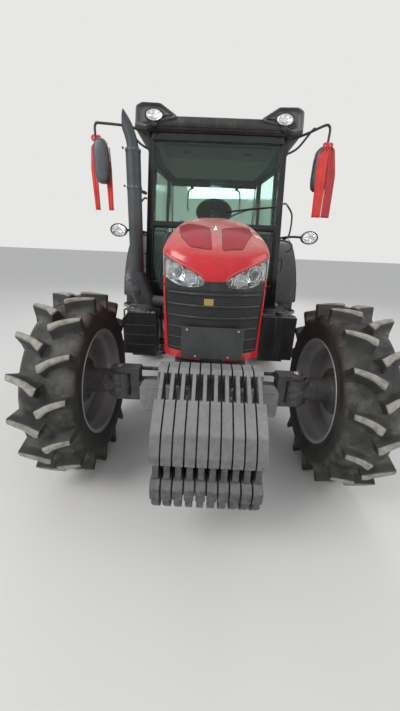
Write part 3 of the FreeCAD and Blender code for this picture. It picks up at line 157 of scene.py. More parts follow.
class Bench:
    """Lays out the nodes of one material."""

    def __init__(self, name: str) -> None:
        """Start an empty material.

        Args:
            name: The material's name.
        """
        self.material = bpy.data.materials.new(name)
        self.material.use_nodes = True
        self.tree = self.material.node_tree
        self.tree.nodes.clear()
        self.where = self.node("ShaderNodeTexCoord")

    def node(self, kind: str, **inputs: Value) -> bpy.types.Node:
        """Add a node and fill its inputs.

        Args:
            kind: The node's type.
            **inputs: Input names with _ for spaces, each a value or another node's socket.

        Returns:
            The new node.
        """
        made = self.tree.nodes.new(kind)
        for word, value in inputs.items():
            self.feed(made.inputs[word.replace("_", " ")], value)
        return made

    def feed(self, socket: Socket, value: Value) -> None:
        """Link or set one input.

        Args:
            socket: The input.
            value: A socket to link, or the value to set.
        """
        if isinstance(value, bpy.types.NodeSocket):
            self.tree.links.new(value, socket)
        elif isinstance(value, tuple) and len(value) == 3 and socket.type == "RGBA":
            socket.default_value = (*value, 1.0)
        else:
            socket.default_value = value

    def noise(self, scale: float, detail: float = 4.0, stretch: Trio = (1.0, 1.0, 1.0), shift: float = 0.0) -> Socket:
        """Cloudy pattern that stays on the piece.

        Args:
            scale: Clouds per metre.
            detail: Levels of finer clouds.
            stretch: Scale of each direction.
            shift: Moves the pattern, for a second one of the same scale.

        Returns:
            Values about 0.5.
        """
        place = self.node("ShaderNodeMapping", Vector=self.where.outputs["Object"],
                          Location=(shift, shift * 0.7, -shift), Scale=stretch)
        return self.node("ShaderNodeTexNoise", Vector=place.outputs[0], Scale=scale, Detail=detail,
                         Roughness=0.6).outputs["Fac"]

    def spread(self, value: Value, low: float, high: float, floor: float = 0.0, top: float = 1.0) -> Socket:
        """Stretch a range of values, held at both ends.

        Args:
            value: What is stretched.
            low: Value that gives floor.
            high: Value that gives top.
            floor: Result at low.
            top: Result at high.

        Returns:
            The stretched value.
        """
        made = self.node("ShaderNodeMapRange", Value=value, From_Min=low, From_Max=high, To_Min=floor, To_Max=top)
        made.interpolation_type = "SMOOTHSTEP" if low < high else "LINEAR"
        return made.outputs[0]

    def reckon(self, sign: str, first: Value, second: Value) -> Socket:
        """Result of a sum on two values.

        Args:
            sign: Name of the operation.
            first: Its first value.
            second: Its second value.

        Returns:
            The result.
        """
        made = self.tree.nodes.new("ShaderNodeMath")
        made.operation = sign
        self.feed(made.inputs[0], first)
        self.feed(made.inputs[1], second)
        return made.outputs[0]

    def blend(self, share: Value, first: Value, second: Value) -> Socket:
        """Colour a share of the way from the first to the second.

        Args:
            share: 0 for the first, 1 for the second.
            first: A colour.
            second: A colour.

        Returns:
            The blended colour.
        """
        made = self.tree.nodes.new("ShaderNodeMix")
        made.data_type = "RGBA"
        self.feed(made.inputs[0], share)
        self.feed(made.inputs[6], first)
        self.feed(made.inputs[7], second)
        return made.outputs[2]

    def part(self, value: Socket, axis: int) -> Socket:
        """One direction of a vector."""
        return self.node("ShaderNodeSeparateXYZ", Vector=value).outputs[axis]

    def close(self, shader: bpy.types.Node) -> bpy.types.Material:
        """Join the shader to the output.

        Args:
            shader: The last shader node.

        Returns:
            The finished material.
        """
        out = self.tree.nodes.new("ShaderNodeOutputMaterial")
        self.tree.links.new(shader.outputs[0], out.inputs[0])
        return self.material


class Finish:
    """A finish that pieces share; its material is made once."""

    made: dict[str, bpy.types.Material] = {}
    name: str
    slot: str

    def material(self) -> bpy.types.Material:
        """The finish's material, made at its first use."""
        if self.name not in Finish.made:
            Finish.made[self.name] = self.lay()
        return Finish.made[self.name]

    def lay(self) -> bpy.types.Material:
        """Build the material; each kind of finish has its own."""
        raise NotImplementedError


@dataclass(frozen=True)
class Coated(Finish):
    """Paint, casting or plastic with dust, run marks and worn edges."""

    name: str
    slot: str
    colour: Colour
    shade: Colour
    roughness: float = 0.5
    metallic: float = 0.0
    patch_scale: float = 3.0
    grain_scale: float = 320.0
    grain_depth: float = 0.25
    dust: float = 0.5           # on faces that look up
    film: float = 0.12          # on all faces
    dust_colour: Colour = (0.40, 0.37, 0.33)
    runs: float = 0.15
    mud: float = 0.0            # share near the ground
    wear: float = 0.0
    worn_colour: Colour = (0.32, 0.32, 0.32)
    coat: float = 0.0
    gather: Pair = (0.15, 0.9)  # upward share of the face at which dust begins and is full

    def dusty(self, bench: Bench) -> Socket:
        """Share of dust on each point.

        Args:
            bench: The material in making.

        Returns:
            0 for clean, 1 for covered.
        """
        facing = bench.part(bench.where.outputs["Normal"], 2)
        up = bench.spread(facing, *self.gather)
        clouds = bench.spread(bench.noise(4.5, 7.0), 0.25, 0.75, 0.45, 1.0)
        specks = bench.spread(bench.noise(60.0, 4.0, shift=3.0), 0.35, 0.7, 0.7, 1.0)
        top = bench.reckon("MULTIPLY", bench.reckon("MULTIPLY", up, clouds), self.dust)
        thin = bench.reckon("MULTIPLY", bench.spread(bench.noise(7.0, 6.0, shift=9.0), 0.3, 0.75), self.film)
        both = bench.reckon("MULTIPLY", bench.reckon("MAXIMUM", top, thin), specks)
        if self.mud:
            height = bench.part(bench.where.outputs["Object"], 2)
            low = bench.spread(height, 1.05, 0.35, 0.0, self.mud)
            splash = bench.reckon("MULTIPLY", low, bench.spread(bench.noise(11.0, 8.0, shift=5.0), 0.35, 0.62))
            both = bench.reckon("MAXIMUM", both, splash)
        return both

    def lay(self) -> bpy.types.Material:
        """Build the material.

        Returns:
            Paint in two close shades under dust, runs and wear.
        """
        bench = Bench(self.name)
        patch = bench.spread(bench.noise(self.patch_scale, 6.0, shift=1.0), 0.32, 0.7)
        colour = bench.blend(patch, self.colour, self.shade)
        grain = bench.noise(self.grain_scale, 3.0)
        if self.runs:
            lines = bench.spread(bench.noise(28.0, 5.0, (1.0, 1.0, 0.06)), 0.5, 0.78, 0.0, self.runs)
            colour = bench.blend(lines, colour, self.dust_colour)
        if self.wear:
            edge = bench.node("ShaderNodeNewGeometry").outputs["Pointiness"]
            rubbed = bench.reckon("MULTIPLY", bench.spread(edge, 0.515, 0.56),
                                  bench.spread(bench.noise(35.0, 6.0, shift=2.0), 0.4, 0.62, 0.0, self.wear))
            colour = bench.blend(rubbed, colour, self.worn_colour)
        dust = self.dusty(bench)
        colour = bench.blend(dust, colour, bench.blend(bench.noise(14.0, 5.0), self.dust_colour,
                                                       tuple(0.72 * c for c in self.dust_colour)))
        rough = bench.reckon("ADD", bench.spread(dust, 0.0, 0.7, self.roughness, 0.88),
                             bench.spread(grain, 0.3, 0.7, -0.05, 0.06))
        relief = bench.reckon("ADD", bench.reckon("MULTIPLY", grain, 1.0),
                              bench.reckon("MULTIPLY", bench.noise(self.grain_scale * 0.22, 4.0), 0.8))
        bump = bench.node("ShaderNodeBump", Strength=self.grain_depth, Distance=0.002, Height=relief)
        shader = bench.node("ShaderNodeBsdfPrincipled", Base_Color=colour, Roughness=rough,
                            Metallic=self.metallic, Normal=bump.outputs[0], Coat_Weight=self.coat,
                            Coat_Roughness=0.12)
        return bench.close(shader)


@dataclass(frozen=True)
class Rubber(Coated):
    """Tyre rubber: pale dust on the lugs' tips, earth tones in the grooves."""

    middle: Pair = (0.0, 640.0)     # wheel line along and up
    tip: float = 640.0
    lug: float = 74.0

    def dusty(self, bench: Bench) -> Socket:
        """Share of dust, most on the tips and thin on the walls.

        Args:
            bench: The material in making.

        Returns:
            0 for clean, 1 for covered.
        """
        line = spot(0.0, *self.middle)
        offset = bench.tree.nodes.new("ShaderNodeVectorMath")
        offset.operation = "SUBTRACT"
        bench.feed(offset.inputs[0], bench.where.outputs["Object"])
        offset.inputs[1].default_value = line
        flat = bench.tree.nodes.new("ShaderNodeVectorMath")
        flat.operation = "MULTIPLY"
        bench.tree.links.new(offset.outputs[0], flat.inputs[0])
        flat.inputs[1].default_value = (0.0, 1.0, 1.0)
        size = bench.tree.nodes.new("ShaderNodeVectorMath")
        size.operation = "LENGTH"
        bench.tree.links.new(flat.outputs[0], size.inputs[0])
        reach = size.outputs["Value"]
        tips = bench.spread(reach, (self.tip - 20.0) / 1000.0, (self.tip - 9.0) / 1000.0)
        marks = bench.spread(bench.noise(22.0, 7.0), 0.28, 0.62, 0.50, self.dust)
        tips = bench.reckon("MULTIPLY", tips, marks)
        base = (self.tip - self.lug) / 1000.0
        floor = bench.reckon("MULTIPLY", bench.spread(reach, base + 0.03, base),
                             bench.spread(reach, base - 0.09, base - 0.02))
        floor = bench.reckon("MULTIPLY", floor, bench.spread(bench.noise(7.0, 7.0, shift=4.0), 0.35, 0.72, 0.02, 0.38))
        walls = bench.spread(bench.noise(5.0, 7.0, shift=8.0), 0.35, 0.75, 0.02, self.film)
        return bench.reckon("MAXIMUM", bench.reckon("MAXIMUM", tips, floor), walls)


@dataclass(frozen=True)
class Pane(Finish):
    """Clear or tinted glass that lets daylight through."""

    name: str
    slot: str
    tint: Colour
    roughness: float = 0.02
    haze: float = 0.25          # dust on the glass

    def lay(self) -> bpy.types.Material:
        """Build the material.

        Returns:
            Glass with a thin dust haze, clear to shadows.
        """
        bench = Bench(self.name)
        smear = bench.spread(bench.noise(3.0, 8.0), 0.4, 0.75, 0.0, self.haze)
        colour = bench.blend(smear, self.tint, (0.45, 0.46, 0.43))
        rough = bench.spread(smear, 0.0, 0.5, self.roughness, 0.4)
        ripple = bench.node("ShaderNodeBump", Strength=0.03, Distance=0.001, Height=bench.noise(6.0, 2.0))
        glass = bench.node("ShaderNodeBsdfPrincipled", Base_Color=colour, Roughness=rough, IOR=1.45,
                           Transmission_Weight=1.0, Normal=ripple.outputs[0])
        clear = bench.node("ShaderNodeBsdfTransparent", Color=self.tint)
        path = bench.node("ShaderNodeLightPath")
        mix = bench.tree.nodes.new("ShaderNodeMixShader")
        bench.tree.links.new(path.outputs["Is Shadow Ray"], mix.inputs[0])
        bench.tree.links.new(glass.outputs[0], mix.inputs[1])
        bench.tree.links.new(clear.outputs[0], mix.inputs[2])
        return bench.close(mix)


@dataclass(frozen=True)
class Bright(Finish):
    """Bare, plated or turned metal."""

    name: str
    slot: str
    colour: Colour
    roughness: float = 0.2
    spots: float = 0.25

    def lay(self) -> bpy.types.Material:
        """Build the material.

        Returns:
            Metal with fine scratches, stains and a little dust.
        """
        bench = Bench(self.name)
        stain = bench.spread(bench.noise(18.0, 7.0), 0.45, 0.72, 0.0, self.spots)
        colour = bench.blend(stain, self.colour, (0.30, 0.27, 0.23))
        lines = bench.noise(160.0, 3.0, (1.0, 0.08, 1.0))
        rough = bench.reckon("ADD", bench.spread(stain, 0.0, 0.6, self.roughness, 0.7),
                             bench.spread(lines, 0.3, 0.7, -0.04, 0.08))
        bump = bench.node("ShaderNodeBump", Strength=0.08, Distance=0.001, Height=lines)
        shader = bench.node("ShaderNodeBsdfPrincipled", Base_Color=colour, Roughness=rough, Metallic=1.0,
                            Normal=bump.outputs[0])
        return bench.close(shader)


@dataclass(frozen=True)
class Cloth(Finish):
    """Woven cloth with its threads, folds' shade and sheen."""

    name: str
    slot: str
    colour: Colour
    shade: Colour
    threads: float = 900.0
    roughness: float = 0.8
    sheen: float = 0.4

    def lay(self) -> bpy.types.Material:
        """Build the material.

        Returns:
            Cloth with crossing threads, with painted shade in the gaps between them.
        """
        bench = Bench(self.name)
        waves = []
        for direction in ("X", "Z"):
            wave = bench.node("ShaderNodeTexWave", Vector=bench.where.outputs["Object"], Scale=self.threads / 6.28,
                              Distortion=0.6)
            wave.bands_direction = direction
            waves.append(wave.outputs["Fac"])
        weave = bench.reckon("ADD", *waves)
        patch = bench.spread(bench.noise(9.0, 6.0), 0.3, 0.7)
        colour = bench.blend(patch, self.colour, self.shade)
        # Painted shade: up to a quarter darker in the gaps between the threads
        colour = bench.blend(bench.spread(weave, 0.3, 1.6, 0.25, 0.0), colour,
                             tuple(0.45 * c for c in self.colour))
        bump = bench.node("ShaderNodeBump", Strength=0.35, Distance=0.0008, Height=weave)
        shader = bench.node("ShaderNodeBsdfPrincipled", Base_Color=colour,
                            Roughness=bench.spread(patch, 0.0, 1.0, self.roughness, self.roughness + 0.1),
                            Normal=bump.outputs[0], Sheen_Weight=self.sheen, Sheen_Roughness=0.4)
        return bench.close(shader)


@dataclass(frozen=True)
class Screen(Coated):
    """Black sheet with rows of small punched holes."""

    pitch: float = 9.0

    def lay(self) -> bpy.types.Material:
        """Build the material.

        Returns:
            The coated finish with holes pressed in and painted near black, as painted shade of the space behind them.
        """
        bench = Bench(self.name)
        scaled = bench.node("ShaderNodeMapping", Vector=bench.where.outputs["Object"],
                            Scale=(1000.0 / self.pitch, 0.0, 1000.0 / self.pitch))
        cells = bench.node("ShaderNodeTexVoronoi", Vector=scaled.outputs[0], Scale=1.0, Randomness=0.0)
        hole = bench.spread(cells.outputs["Distance"], 0.36, 0.28)
        dust = bench.reckon("MULTIPLY", self.dusty(bench), bench.reckon("SUBTRACT", 1.0, hole))
        colour = bench.blend(bench.spread(bench.noise(4.0, 6.0), 0.3, 0.7), self.colour, self.shade)
        colour = bench.blend(dust, colour, self.dust_colour)
        # Painted shade: the holes are painted near black for the dark space behind the sheet
        colour = bench.blend(hole, colour, (0.004, 0.004, 0.004))
        depth = bench.reckon("SUBTRACT", bench.reckon("MULTIPLY", bench.noise(self.grain_scale, 3.0), 0.1), hole)
        bump = bench.node("ShaderNodeBump", Strength=0.5, Distance=0.003, Height=depth)
        shader = bench.node("ShaderNodeBsdfPrincipled", Base_Color=colour, Normal=bump.outputs[0],
                            Roughness=bench.spread(dust, 0.0, 0.7, self.roughness, 0.9))
        return bench.close(shader)


RED = Coated("red_gloss", "red_paint", (0.60, 0.008, 0.018), (0.50, 0.007, 0.015), 0.24, grain_scale=900.0,
             grain_depth=0.03, dust=0.98, film=0.07, dust_colour=(0.64, 0.39, 0.33), runs=0.05, coat=0.4,
            gather=(0.40, 0.97))
RED_CLEAN = Coated("red_wiped", "red_paint", (0.40, 0.016, 0.030), (0.34, 0.014, 0.025), 0.35, grain_scale=900.0,
                   grain_depth=0.03, dust=0.10, film=0.04, dust_colour=(0.55, 0.30, 0.24), runs=0.0, coat=0.3)
BLACK = Coated("black_plastic", "black_shell", (0.012, 0.013, 0.014), (0.019, 0.020, 0.021), 0.40, dust=0.36,
               film=0.06, grain_scale=700.0, grain_depth=0.18, dust_colour=(0.30, 0.29, 0.27))
GRILLE = Screen("punched_screen", "black_shell", (0.005, 0.006, 0.006), (0.010, 0.011, 0.011), 0.5, dust=0.25,
                film=0.08, dust_colour=(0.20, 0.20, 0.19), runs=0.12)
CAB_BLACK = Coated("cab_gloss", "cab_paint", (0.006, 0.007, 0.008), (0.009, 0.010, 0.011), 0.14, dust=0.25,
                   film=0.03, grain_scale=900.0, grain_depth=0.03, dust_colour=(0.30, 0.30, 0.29), runs=0.05, coat=0.4)
ROOF = Coated("roof_charcoal", "roof_shell", (0.022, 0.023, 0.023), (0.032, 0.033, 0.033), 0.5, dust=0.5,
              film=0.14, grain_scale=600.0, grain_depth=0.12, dust_colour=(0.36, 0.34, 0.31))
POD = Coated("pod_grey", "roof_shell", (0.105, 0.107, 0.110), (0.130, 0.132, 0.135), 0.5, dust=0.6,
             film=0.14, grain_scale=600.0, grain_depth=0.12, dust_colour=(0.40, 0.39, 0.36))
FENDER = Coated("fender_black", "fender_paint", (0.014, 0.015, 0.016), (0.022, 0.023, 0.024), 0.36, grain_scale=800.0,
                grain_depth=0.10, dust=0.5, film=0.10, dust_colour=(0.30, 0.29, 0.27), runs=0.12, coat=0.2)
FLOOR_MAT = Coated("floor_mat", "cab_floor_mat", (0.030, 0.030, 0.032), (0.045, 0.044, 0.044), 0.75, dust=0.5,
                   film=0.2, mud=0.4, grain_depth=0.4)
CAST = Coated("grey_casting", "chassis_grey", (0.155, 0.160, 0.165), (0.200, 0.205, 0.208), 0.5, dust=0.6, film=0.22,
              grain_depth=0.5, grain_scale=260.0, mud=0.55, wear=0.4, dust_colour=(0.40, 0.38, 0.35))
# Painted shade: the weights' grey darkened for their webs, feet and toes, as shade under the slabs; its dust is
# darkened too
WEIGHT_PAINTED_SHADE = Coated("grey_weights_painted_shade", "weight_grey", (0.050, 0.052, 0.051), (0.070, 0.072, 0.070), 0.5, dust=0.6,
                    film=0.10, grain_depth=0.55, grain_scale=230.0, runs=0.1, wear=0.3, dust_colour=(0.30, 0.30, 0.28))
WEIGHT = Coated("grey_weights", "weight_grey", (0.096, 0.100, 0.097), (0.130, 0.134, 0.130), 0.45, dust=0.8,
                film=0.12, grain_depth=0.55, grain_scale=230.0, runs=0.1, wear=0.35, worn_colour=(0.45, 0.45, 0.44),
                dust_colour=(0.37, 0.37, 0.36))
# Painted shade: the cast grey darkened for the front axle and knuckles, as the tyres' shadow on them; dust, mud and
# wear are real
CAST_PAINTED_SHADE = Coated("grey_casting_painted_shade", "chassis_grey", (0.050, 0.051, 0.053), (0.075, 0.076, 0.077), 0.5, dust=0.55,
                   film=0.2, grain_depth=0.5, grain_scale=260.0, mud=0.4, wear=0.3, dust_colour=(0.34, 0.32, 0.29))
CORE = Coated("radiator_fins", "radiator_core", (0.06, 0.06, 0.06), (0.10, 0.10, 0.10), 0.6, metallic=0.4, film=0.3)
STEEL = Bright("worn_steel", "steel", (0.46, 0.46, 0.47), 0.32)
REFLECTOR = Coated("reflector_silver", "lamp_glass", (0.94, 0.95, 0.96), (0.88, 0.89, 0.90), 0.20, metallic=0.85,
                   dust=0.0, film=0.0, runs=0.0, grain_depth=0.05)
CHROME = Bright("chrome", "lamp_glass", (0.86, 0.87, 0.88), 0.06, 0.08)
BLACK_STEEL = Coated("black_steel_paint", "black_steel", (0.022, 0.022, 0.023), (0.040, 0.040, 0.040), 0.42, dust=0.5,
                     film=0.2, mud=0.3, wear=0.5, dust_colour=(0.33, 0.30, 0.27))
SHIELD = Coated("exhaust_black", "black_steel", (0.037, 0.045, 0.052), (0.052, 0.061, 0.068), 0.48, dust=0.4,
                film=0.15, grain_scale=500.0, grain_depth=0.15, dust_colour=(0.24, 0.23, 0.21))
RIM = Coated("rim_silver_paint", "rim_silver", (0.33, 0.335, 0.34), (0.40, 0.405, 0.41), 0.38, metallic=0.35,
             dust=0.45, film=0.42, grain_depth=0.12, dust_colour=(0.30, 0.27, 0.24), wear=0.3, runs=0.2)
# Painted shade: the silver hub painted dark grey, as shade inside the wheel; its dust is real
HUB_PAINTED_SHADE = Coated("hub_painted_shade", "rim_silver", (0.055, 0.056, 0.058), (0.080, 0.080, 0.080), 0.5, dust=0.4, film=0.3,
             dust_colour=(0.26, 0.24, 0.21))
FRONT_RUBBER = Rubber("front_rubber", "tyre_rubber", (0.008, 0.009, 0.009), (0.015, 0.016, 0.015), 0.66, dust=0.95,
                      film=0.10, runs=0.0, grain_depth=0.5, dust_colour=(0.44, 0.42, 0.36))
REAR_RUBBER = Rubber("rear_rubber", "tyre_rubber", (0.008, 0.009, 0.009), (0.015, 0.016, 0.015), 0.66, dust=0.95,
                     film=0.10, runs=0.0, grain_depth=0.5, dust_colour=(0.44, 0.42, 0.36),
                     middle=(WHEELBASE, 870.0), tip=870.0, lug=80.0)
SEAL = Coated("rubber_seal", "black_shell", (0.012, 0.012, 0.012), (0.020, 0.020, 0.020), 0.8, dust=0.3, film=0.15)
PLATE = Coated("plate_grey_face", "plate_grey", (0.026, 0.028, 0.029), (0.035, 0.037, 0.039), 0.50, dust=0.3,
               film=0.07, grain_scale=800.0, grain_depth=0.05, runs=0.05)
LABEL = Coated("yellow_label", "black_shell", (0.42, 0.27, 0.03), (0.36, 0.23, 0.03), 0.5, dust=0.2, film=0.3, runs=0.0)
CAB_GLASS = Pane("green_glass", "tinted_glass", (0.52, 0.68, 0.60), haze=0.20)
LENS = Pane("clear_lens", "lamp_glass", (0.96, 0.97, 0.97), haze=0.15)
AMBER = Pane("amber_lens", "lamp_glass", (0.95, 0.45, 0.05), 0.15, haze=0.1)
RED_LENS = Pane("red_lens", "lamp_glass", (0.80, 0.03, 0.03), 0.15, haze=0.1)
MIRROR_SHELL = Coated("mirror_blue_grey", "black_shell", (0.050, 0.060, 0.075), (0.065, 0.075, 0.090), 0.35, dust=0.4,
                      film=0.15, grain_scale=800.0, grain_depth=0.06)
RIBBON_DEEP = Cloth("deep_red_ribbon", "ribbon_cloth", (0.52, 0.020, 0.022), (0.38, 0.012, 0.016), threads=1500.0,
                    roughness=0.42, sheen=0.5)
SEAT = Cloth("seat_weave", "seat_cloth", (0.040, 0.041, 0.044), (0.060, 0.061, 0.064))
LINER = Cloth("headliner", "seat_cloth", (0.30, 0.31, 0.29), (0.36, 0.37, 0.35), threads=700.0)
RIBBON = Cloth("red_ribbon", "ribbon_cloth", (0.80, 0.045, 0.025), (0.62, 0.020, 0.020), threads=1500.0,
               roughness=0.42, sheen=0.6)


class Shape:
    """A mesh in the making, in the model's frame."""

    def __init__(self) -> None:
        """Start an empty mesh."""
        self.mesh = bmesh.new()

    @classmethod
    def of_node(cls, node: str) -> "Shape":
        """Shape of a node of the model, its flat faces rejoined.

        Args:
            node: The node's name.

        Returns:
            The new shape.
        """
        shape = cls()
        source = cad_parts[node].data
        corners = [shape.mesh.verts.new(v.co) for v in source.vertices]
        for polygon in source.polygons:
            try:
                shape.mesh.faces.new([corners[i] for i in polygon.vertices])
            except ValueError:
                continue
        bmesh.ops.remove_doubles(shape.mesh, verts=shape.mesh.verts, dist=2e-5)
        bmesh.ops.dissolve_limit(shape.mesh, angle_limit=math.radians(1.5), verts=shape.mesh.verts,
                                 edges=shape.mesh.edges)
        return shape

    def loft(self, rings: Sequence[Sequence[Vector]], loop: bool = True, caps: bool = True) -> "Shape":
        """Skin over rings of points.

        Args:
            rings: Rings with the same number of points.
            loop: Whether each ring closes on itself.
            caps: Whether the first and last ring are closed with faces.

        Returns:
            This shape.
        """
        rows = [[self.mesh.verts.new(point) for point in ring] for ring in rings]
        count = len(rings[0])
        for low, high in zip(rows, rows[1:]):
            for i in range(count if loop else count - 1):
                j = (i + 1) % count
                self.mesh.faces.new((low[i], low[j], high[j], high[i]))
        if caps and loop:
            self.mesh.faces.new(rows[0])
            self.mesh.faces.new(rows[-1])
        return self

    def slab(self, outline: Sequence[Vector], way: Vector) -> "Shape":
        """Flat outline pushed along a way."""
        return self.loft([list(outline), [point + way for point in outline]])

    def side_slab(self, outline: Sequence[Pair], x0: float, x1: float) -> "Shape":
        """Outline of (along, up) pairs, pushed across from x0 to x1."""
        return self.slab([spot(x0, y, z) for y, z in outline], ACROSS * (x1 - x0) / 1000.0)

    def cross_slab(self, outline: Sequence[Pair], y0: float, y1: float) -> "Shape":
        """Outline of (across, up) pairs, pushed along from y0 to y1."""
        return self.slab([spot(x, y0, z) for x, z in outline], ALONG * (y1 - y0) / 1000.0)

    def level_slab(self, outline: Sequence[Pair], z0: float, z1: float) -> "Shape":
        """Outline of (across, along) pairs, pushed up from z0 to z1."""
        return self.slab([spot(x, y, z0) for x, y in outline], UP * (z1 - z0) / 1000.0)

    def block(self, x0: float, x1: float, y0: float, y1: float, z0: float, z1: float) -> "Shape":
        """Block between two corners; its edges are rounded when it is made."""
        return self.side_slab([(y0, z0), (y1, z0), (y1, z1), (y0, z1)], x0, x1)

    def tube(self, line: Sequence[Vector], radius: Union[float, Sequence[float]], sides: int = 12,
             flat: float = 1.0) -> "Shape":
        """Round bar along a line.

        Args:
            line: Points that it follows, in metres.
            radius: Its radius in millimetres, or one for each point.
            sides: Sides of its section.
            flat: Height of the section as a share of its width.

        Returns:
            This shape.
        """
        sizes = [radius] * len(line) if isinstance(radius, (int, float)) else list(radius)
        run = (line[1] - line[0]).normalized()
        wide = run.cross(UP if abs(run.z) < 0.9 else ALONG).normalized()
        rings = []
        for i, point in enumerate(line):
            ahead = (line[min(i + 1, len(line) - 1)] - line[max(i - 1, 0)]).normalized()
            wide = (wide - ahead * wide.dot(ahead)).normalized()
            high = ahead.cross(wide)
            ring = []
            for k in range(sides):
                turn = 2.0 * math.pi * k / sides
                ring.append(point + (wide * math.cos(turn) + high * math.sin(turn) * flat) * sizes[i] / 1000.0)
            rings.append(ring)
        return self.loft(rings)

    def turned(self, profile: Sequence[Pair], origin: Vector, axis: Vector, steps: int = 40,
               loop: bool = False) -> "Shape":
        """Profile turned about an axis.

        Args:
            profile: (along the axis, radius) pairs.
            origin: Point on the axis from which the profile is measured.
            axis: Direction of the axis.
            steps: Steps round it.
            loop: Whether the profile closes on itself, as for a ring.

        Returns:
            This shape.
        """
        axis = axis.normalized()
        wide = axis.cross(UP if abs(axis.z) < 0.9 else ALONG).normalized()
        high = axis.cross(wide)
        rows = []
        for along, radius in profile:
            row = []
            for k in range(steps):
                turn = 2.0 * math.pi * k / steps
                row.append(self.mesh.verts.new(origin + axis * along / 1000.0 + (
                    wide * math.cos(turn) + high * math.sin(turn)) * max(radius, 0.01) / 1000.0))
            rows.append(row)
        pairs = list(zip(rows, rows[1:])) + ([(rows[-1], rows[0])] if loop else [])
        for low, high_row in pairs:
            for k in range(steps):
                j = (k + 1) % steps
                self.mesh.faces.new((low[k], low[j], high_row[j], high_row[k]))
        if not loop:
            self.mesh.faces.new(rows[0])
            self.mesh.faces.new(rows[-1])
        return self

    def bolt(self, foot: Vector, way: Vector, size: float = 16.0) -> "Shape":
        """Six-sided head on a washer.

        Args:
            foot: Where it sits.
            way: Direction it points out.
            size: Width of the head in millimetres.

        Returns:
            This shape.
        """
        self.turned([(-1.0, size * 0.75), (size * 0.14, size * 0.75), (size * 0.16, size * 0.7)], foot, way, 12)
        self.turned([(0.0, size * 0.56), (size * 0.5, size * 0.56), (size * 0.62, size * 0.46)], foot, way, 6)
        return self

    def bolt_ring(self, middle: Vector, way: Vector, radius: float, count: int, size: float = 16.0,
                  turn: float = 0.0) -> "Shape":
        """Bolts in a circle.

        Args:
            middle: The circle's middle.
            way: Direction that the bolts point.
            radius: The circle's radius.
            count: Number of bolts.
            size: Width of the heads.
            turn: Angle of the first one, in degrees.

        Returns:
            This shape.
        """
        way = way.normalized()
        wide = way.cross(UP if abs(way.z) < 0.9 else ALONG).normalized()
        high = way.cross(wide)
        for k in range(count):
            angle = 2.0 * math.pi * k / count + math.radians(turn)
            self.bolt(middle + (wide * math.cos(angle) + high * math.sin(angle)) * radius / 1000.0, way, size)
        return self

    def mirrored(self) -> "Shape":
        """The same shape on the machine's other side."""
        other = Shape()
        other.mesh = self.mesh.copy()
        bmesh.ops.scale(other.mesh, vec=(-1.0, 1.0, 1.0), verts=other.mesh.verts)
        return other

    def both(self) -> "Shape":
        """This shape with its mirrored twin."""
        keep = bpy.data.meshes.new("twin")
        self.mirrored().mesh.to_mesh(keep)
        self.mesh.from_mesh(keep)
        bpy.data.meshes.remove(keep)
        return self

    def cut(self, tool: "Shape", how: str = "DIFFERENCE") -> "Shape":
        """Cut with another shape.

        Args:
            tool: The shape that cuts.
            how: DIFFERENCE, INTERSECT or UNION.

        Returns:
            This shape.
        """
        pair = []
        for shape in (self, tool):
            bmesh.ops.recalc_face_normals(shape.mesh, faces=shape.mesh.faces)
            mesh = bpy.data.meshes.new("cutting")
            shape.mesh.to_mesh(mesh)
            made = bpy.data.objects.new("cutting", mesh)
            bpy.context.scene.collection.objects.link(made)
            pair.append(made)
        step = pair[0].modifiers.new("cut", "BOOLEAN")
        step.operation = how
        step.object = pair[1]
        step.solver = "EXACT"
        bpy.context.view_layer.update()
        result = bpy.data.meshes.new_from_object(pair[0].evaluated_get(bpy.context.evaluated_depsgraph_get()))
        self.mesh.free()
        self.mesh = bmesh.new()
        self.mesh.from_mesh(result)
        for made in pair:
            mesh = made.data
            bpy.data.objects.remove(made)
            bpy.data.meshes.remove(mesh)
        bpy.data.meshes.remove(result)
        return self

    def piece(self, name: str, finish: Finish, body: str = "chassis", replaces: Sequence[str] = (),
              edge: float = 0.0, steps: int = 2, angle: float = 32.0, levels: int = 0) -> bpy.types.Object:
        """Make the object, dress it and set it on its body.

        Args:
            name: The piece's name.
            finish: Its finish.
            body: The body that it rides on.
            replaces: Nodes that it stands for.
            edge: Rounding of its edges in millimetres.
            steps: Steps in that rounding.
            angle: Edges sharper than this are rounded or kept sharp.
            levels: Smoothing levels.

        Returns:
            The new object.
        """
        bmesh.ops.recalc_face_normals(self.mesh, faces=self.mesh.faces)
        mesh = bpy.data.meshes.new(name)
        self.mesh.to_mesh(mesh)
        self.mesh.free()
        mesh.polygons.foreach_set("use_smooth", [True] * len(mesh.polygons))
        if not edge and not levels:
            mesh.set_sharp_from_angle(angle=math.radians(angle))
        mesh.materials.append(finish.material())
        made = bpy.data.objects.new(name, mesh)
        bpy.context.scene.collection.objects.link(made)
        if edge:
            step = made.modifiers.new("edges", "BEVEL")
            step.width = edge / 1000.0
            step.segments = steps
            step.limit_method = "ANGLE"
            step.angle_limit = math.radians(angle)
            step.miter_outer = "MITER_ARC"
        if levels:
            step = made.modifiers.new("smooth", "SUBSURF")
            step.levels = levels
            step.render_levels = levels
        if edge:
            made.modifiers.new("shading", "WEIGHTED_NORMAL")
        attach(made, body)
        if replaces:
            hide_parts(*replaces)
        log.info("%s: %d faces", name, len(mesh.polygons))
        return made


def soften(nodes: Sequence[str], finish: Finish, body: str = "chassis", edge: float = 4.0,
           steps: int = 2, name: Optional[str] = None) -> None:
    """Stand-ins for nodes of the model, with rounded edges.

    Args:
        nodes: The nodes' names.
        finish: Their finish.
        body: The body that they ride on.
        edge: Rounding in millimetres.
        steps: Steps in the rounding.
        name: Name of the piece when it isn't the node's own.
    """
    for node in nodes:
        Shape.of_node(node).piece((name or node) + "_shaped", finish, body, (node,), edge, steps)


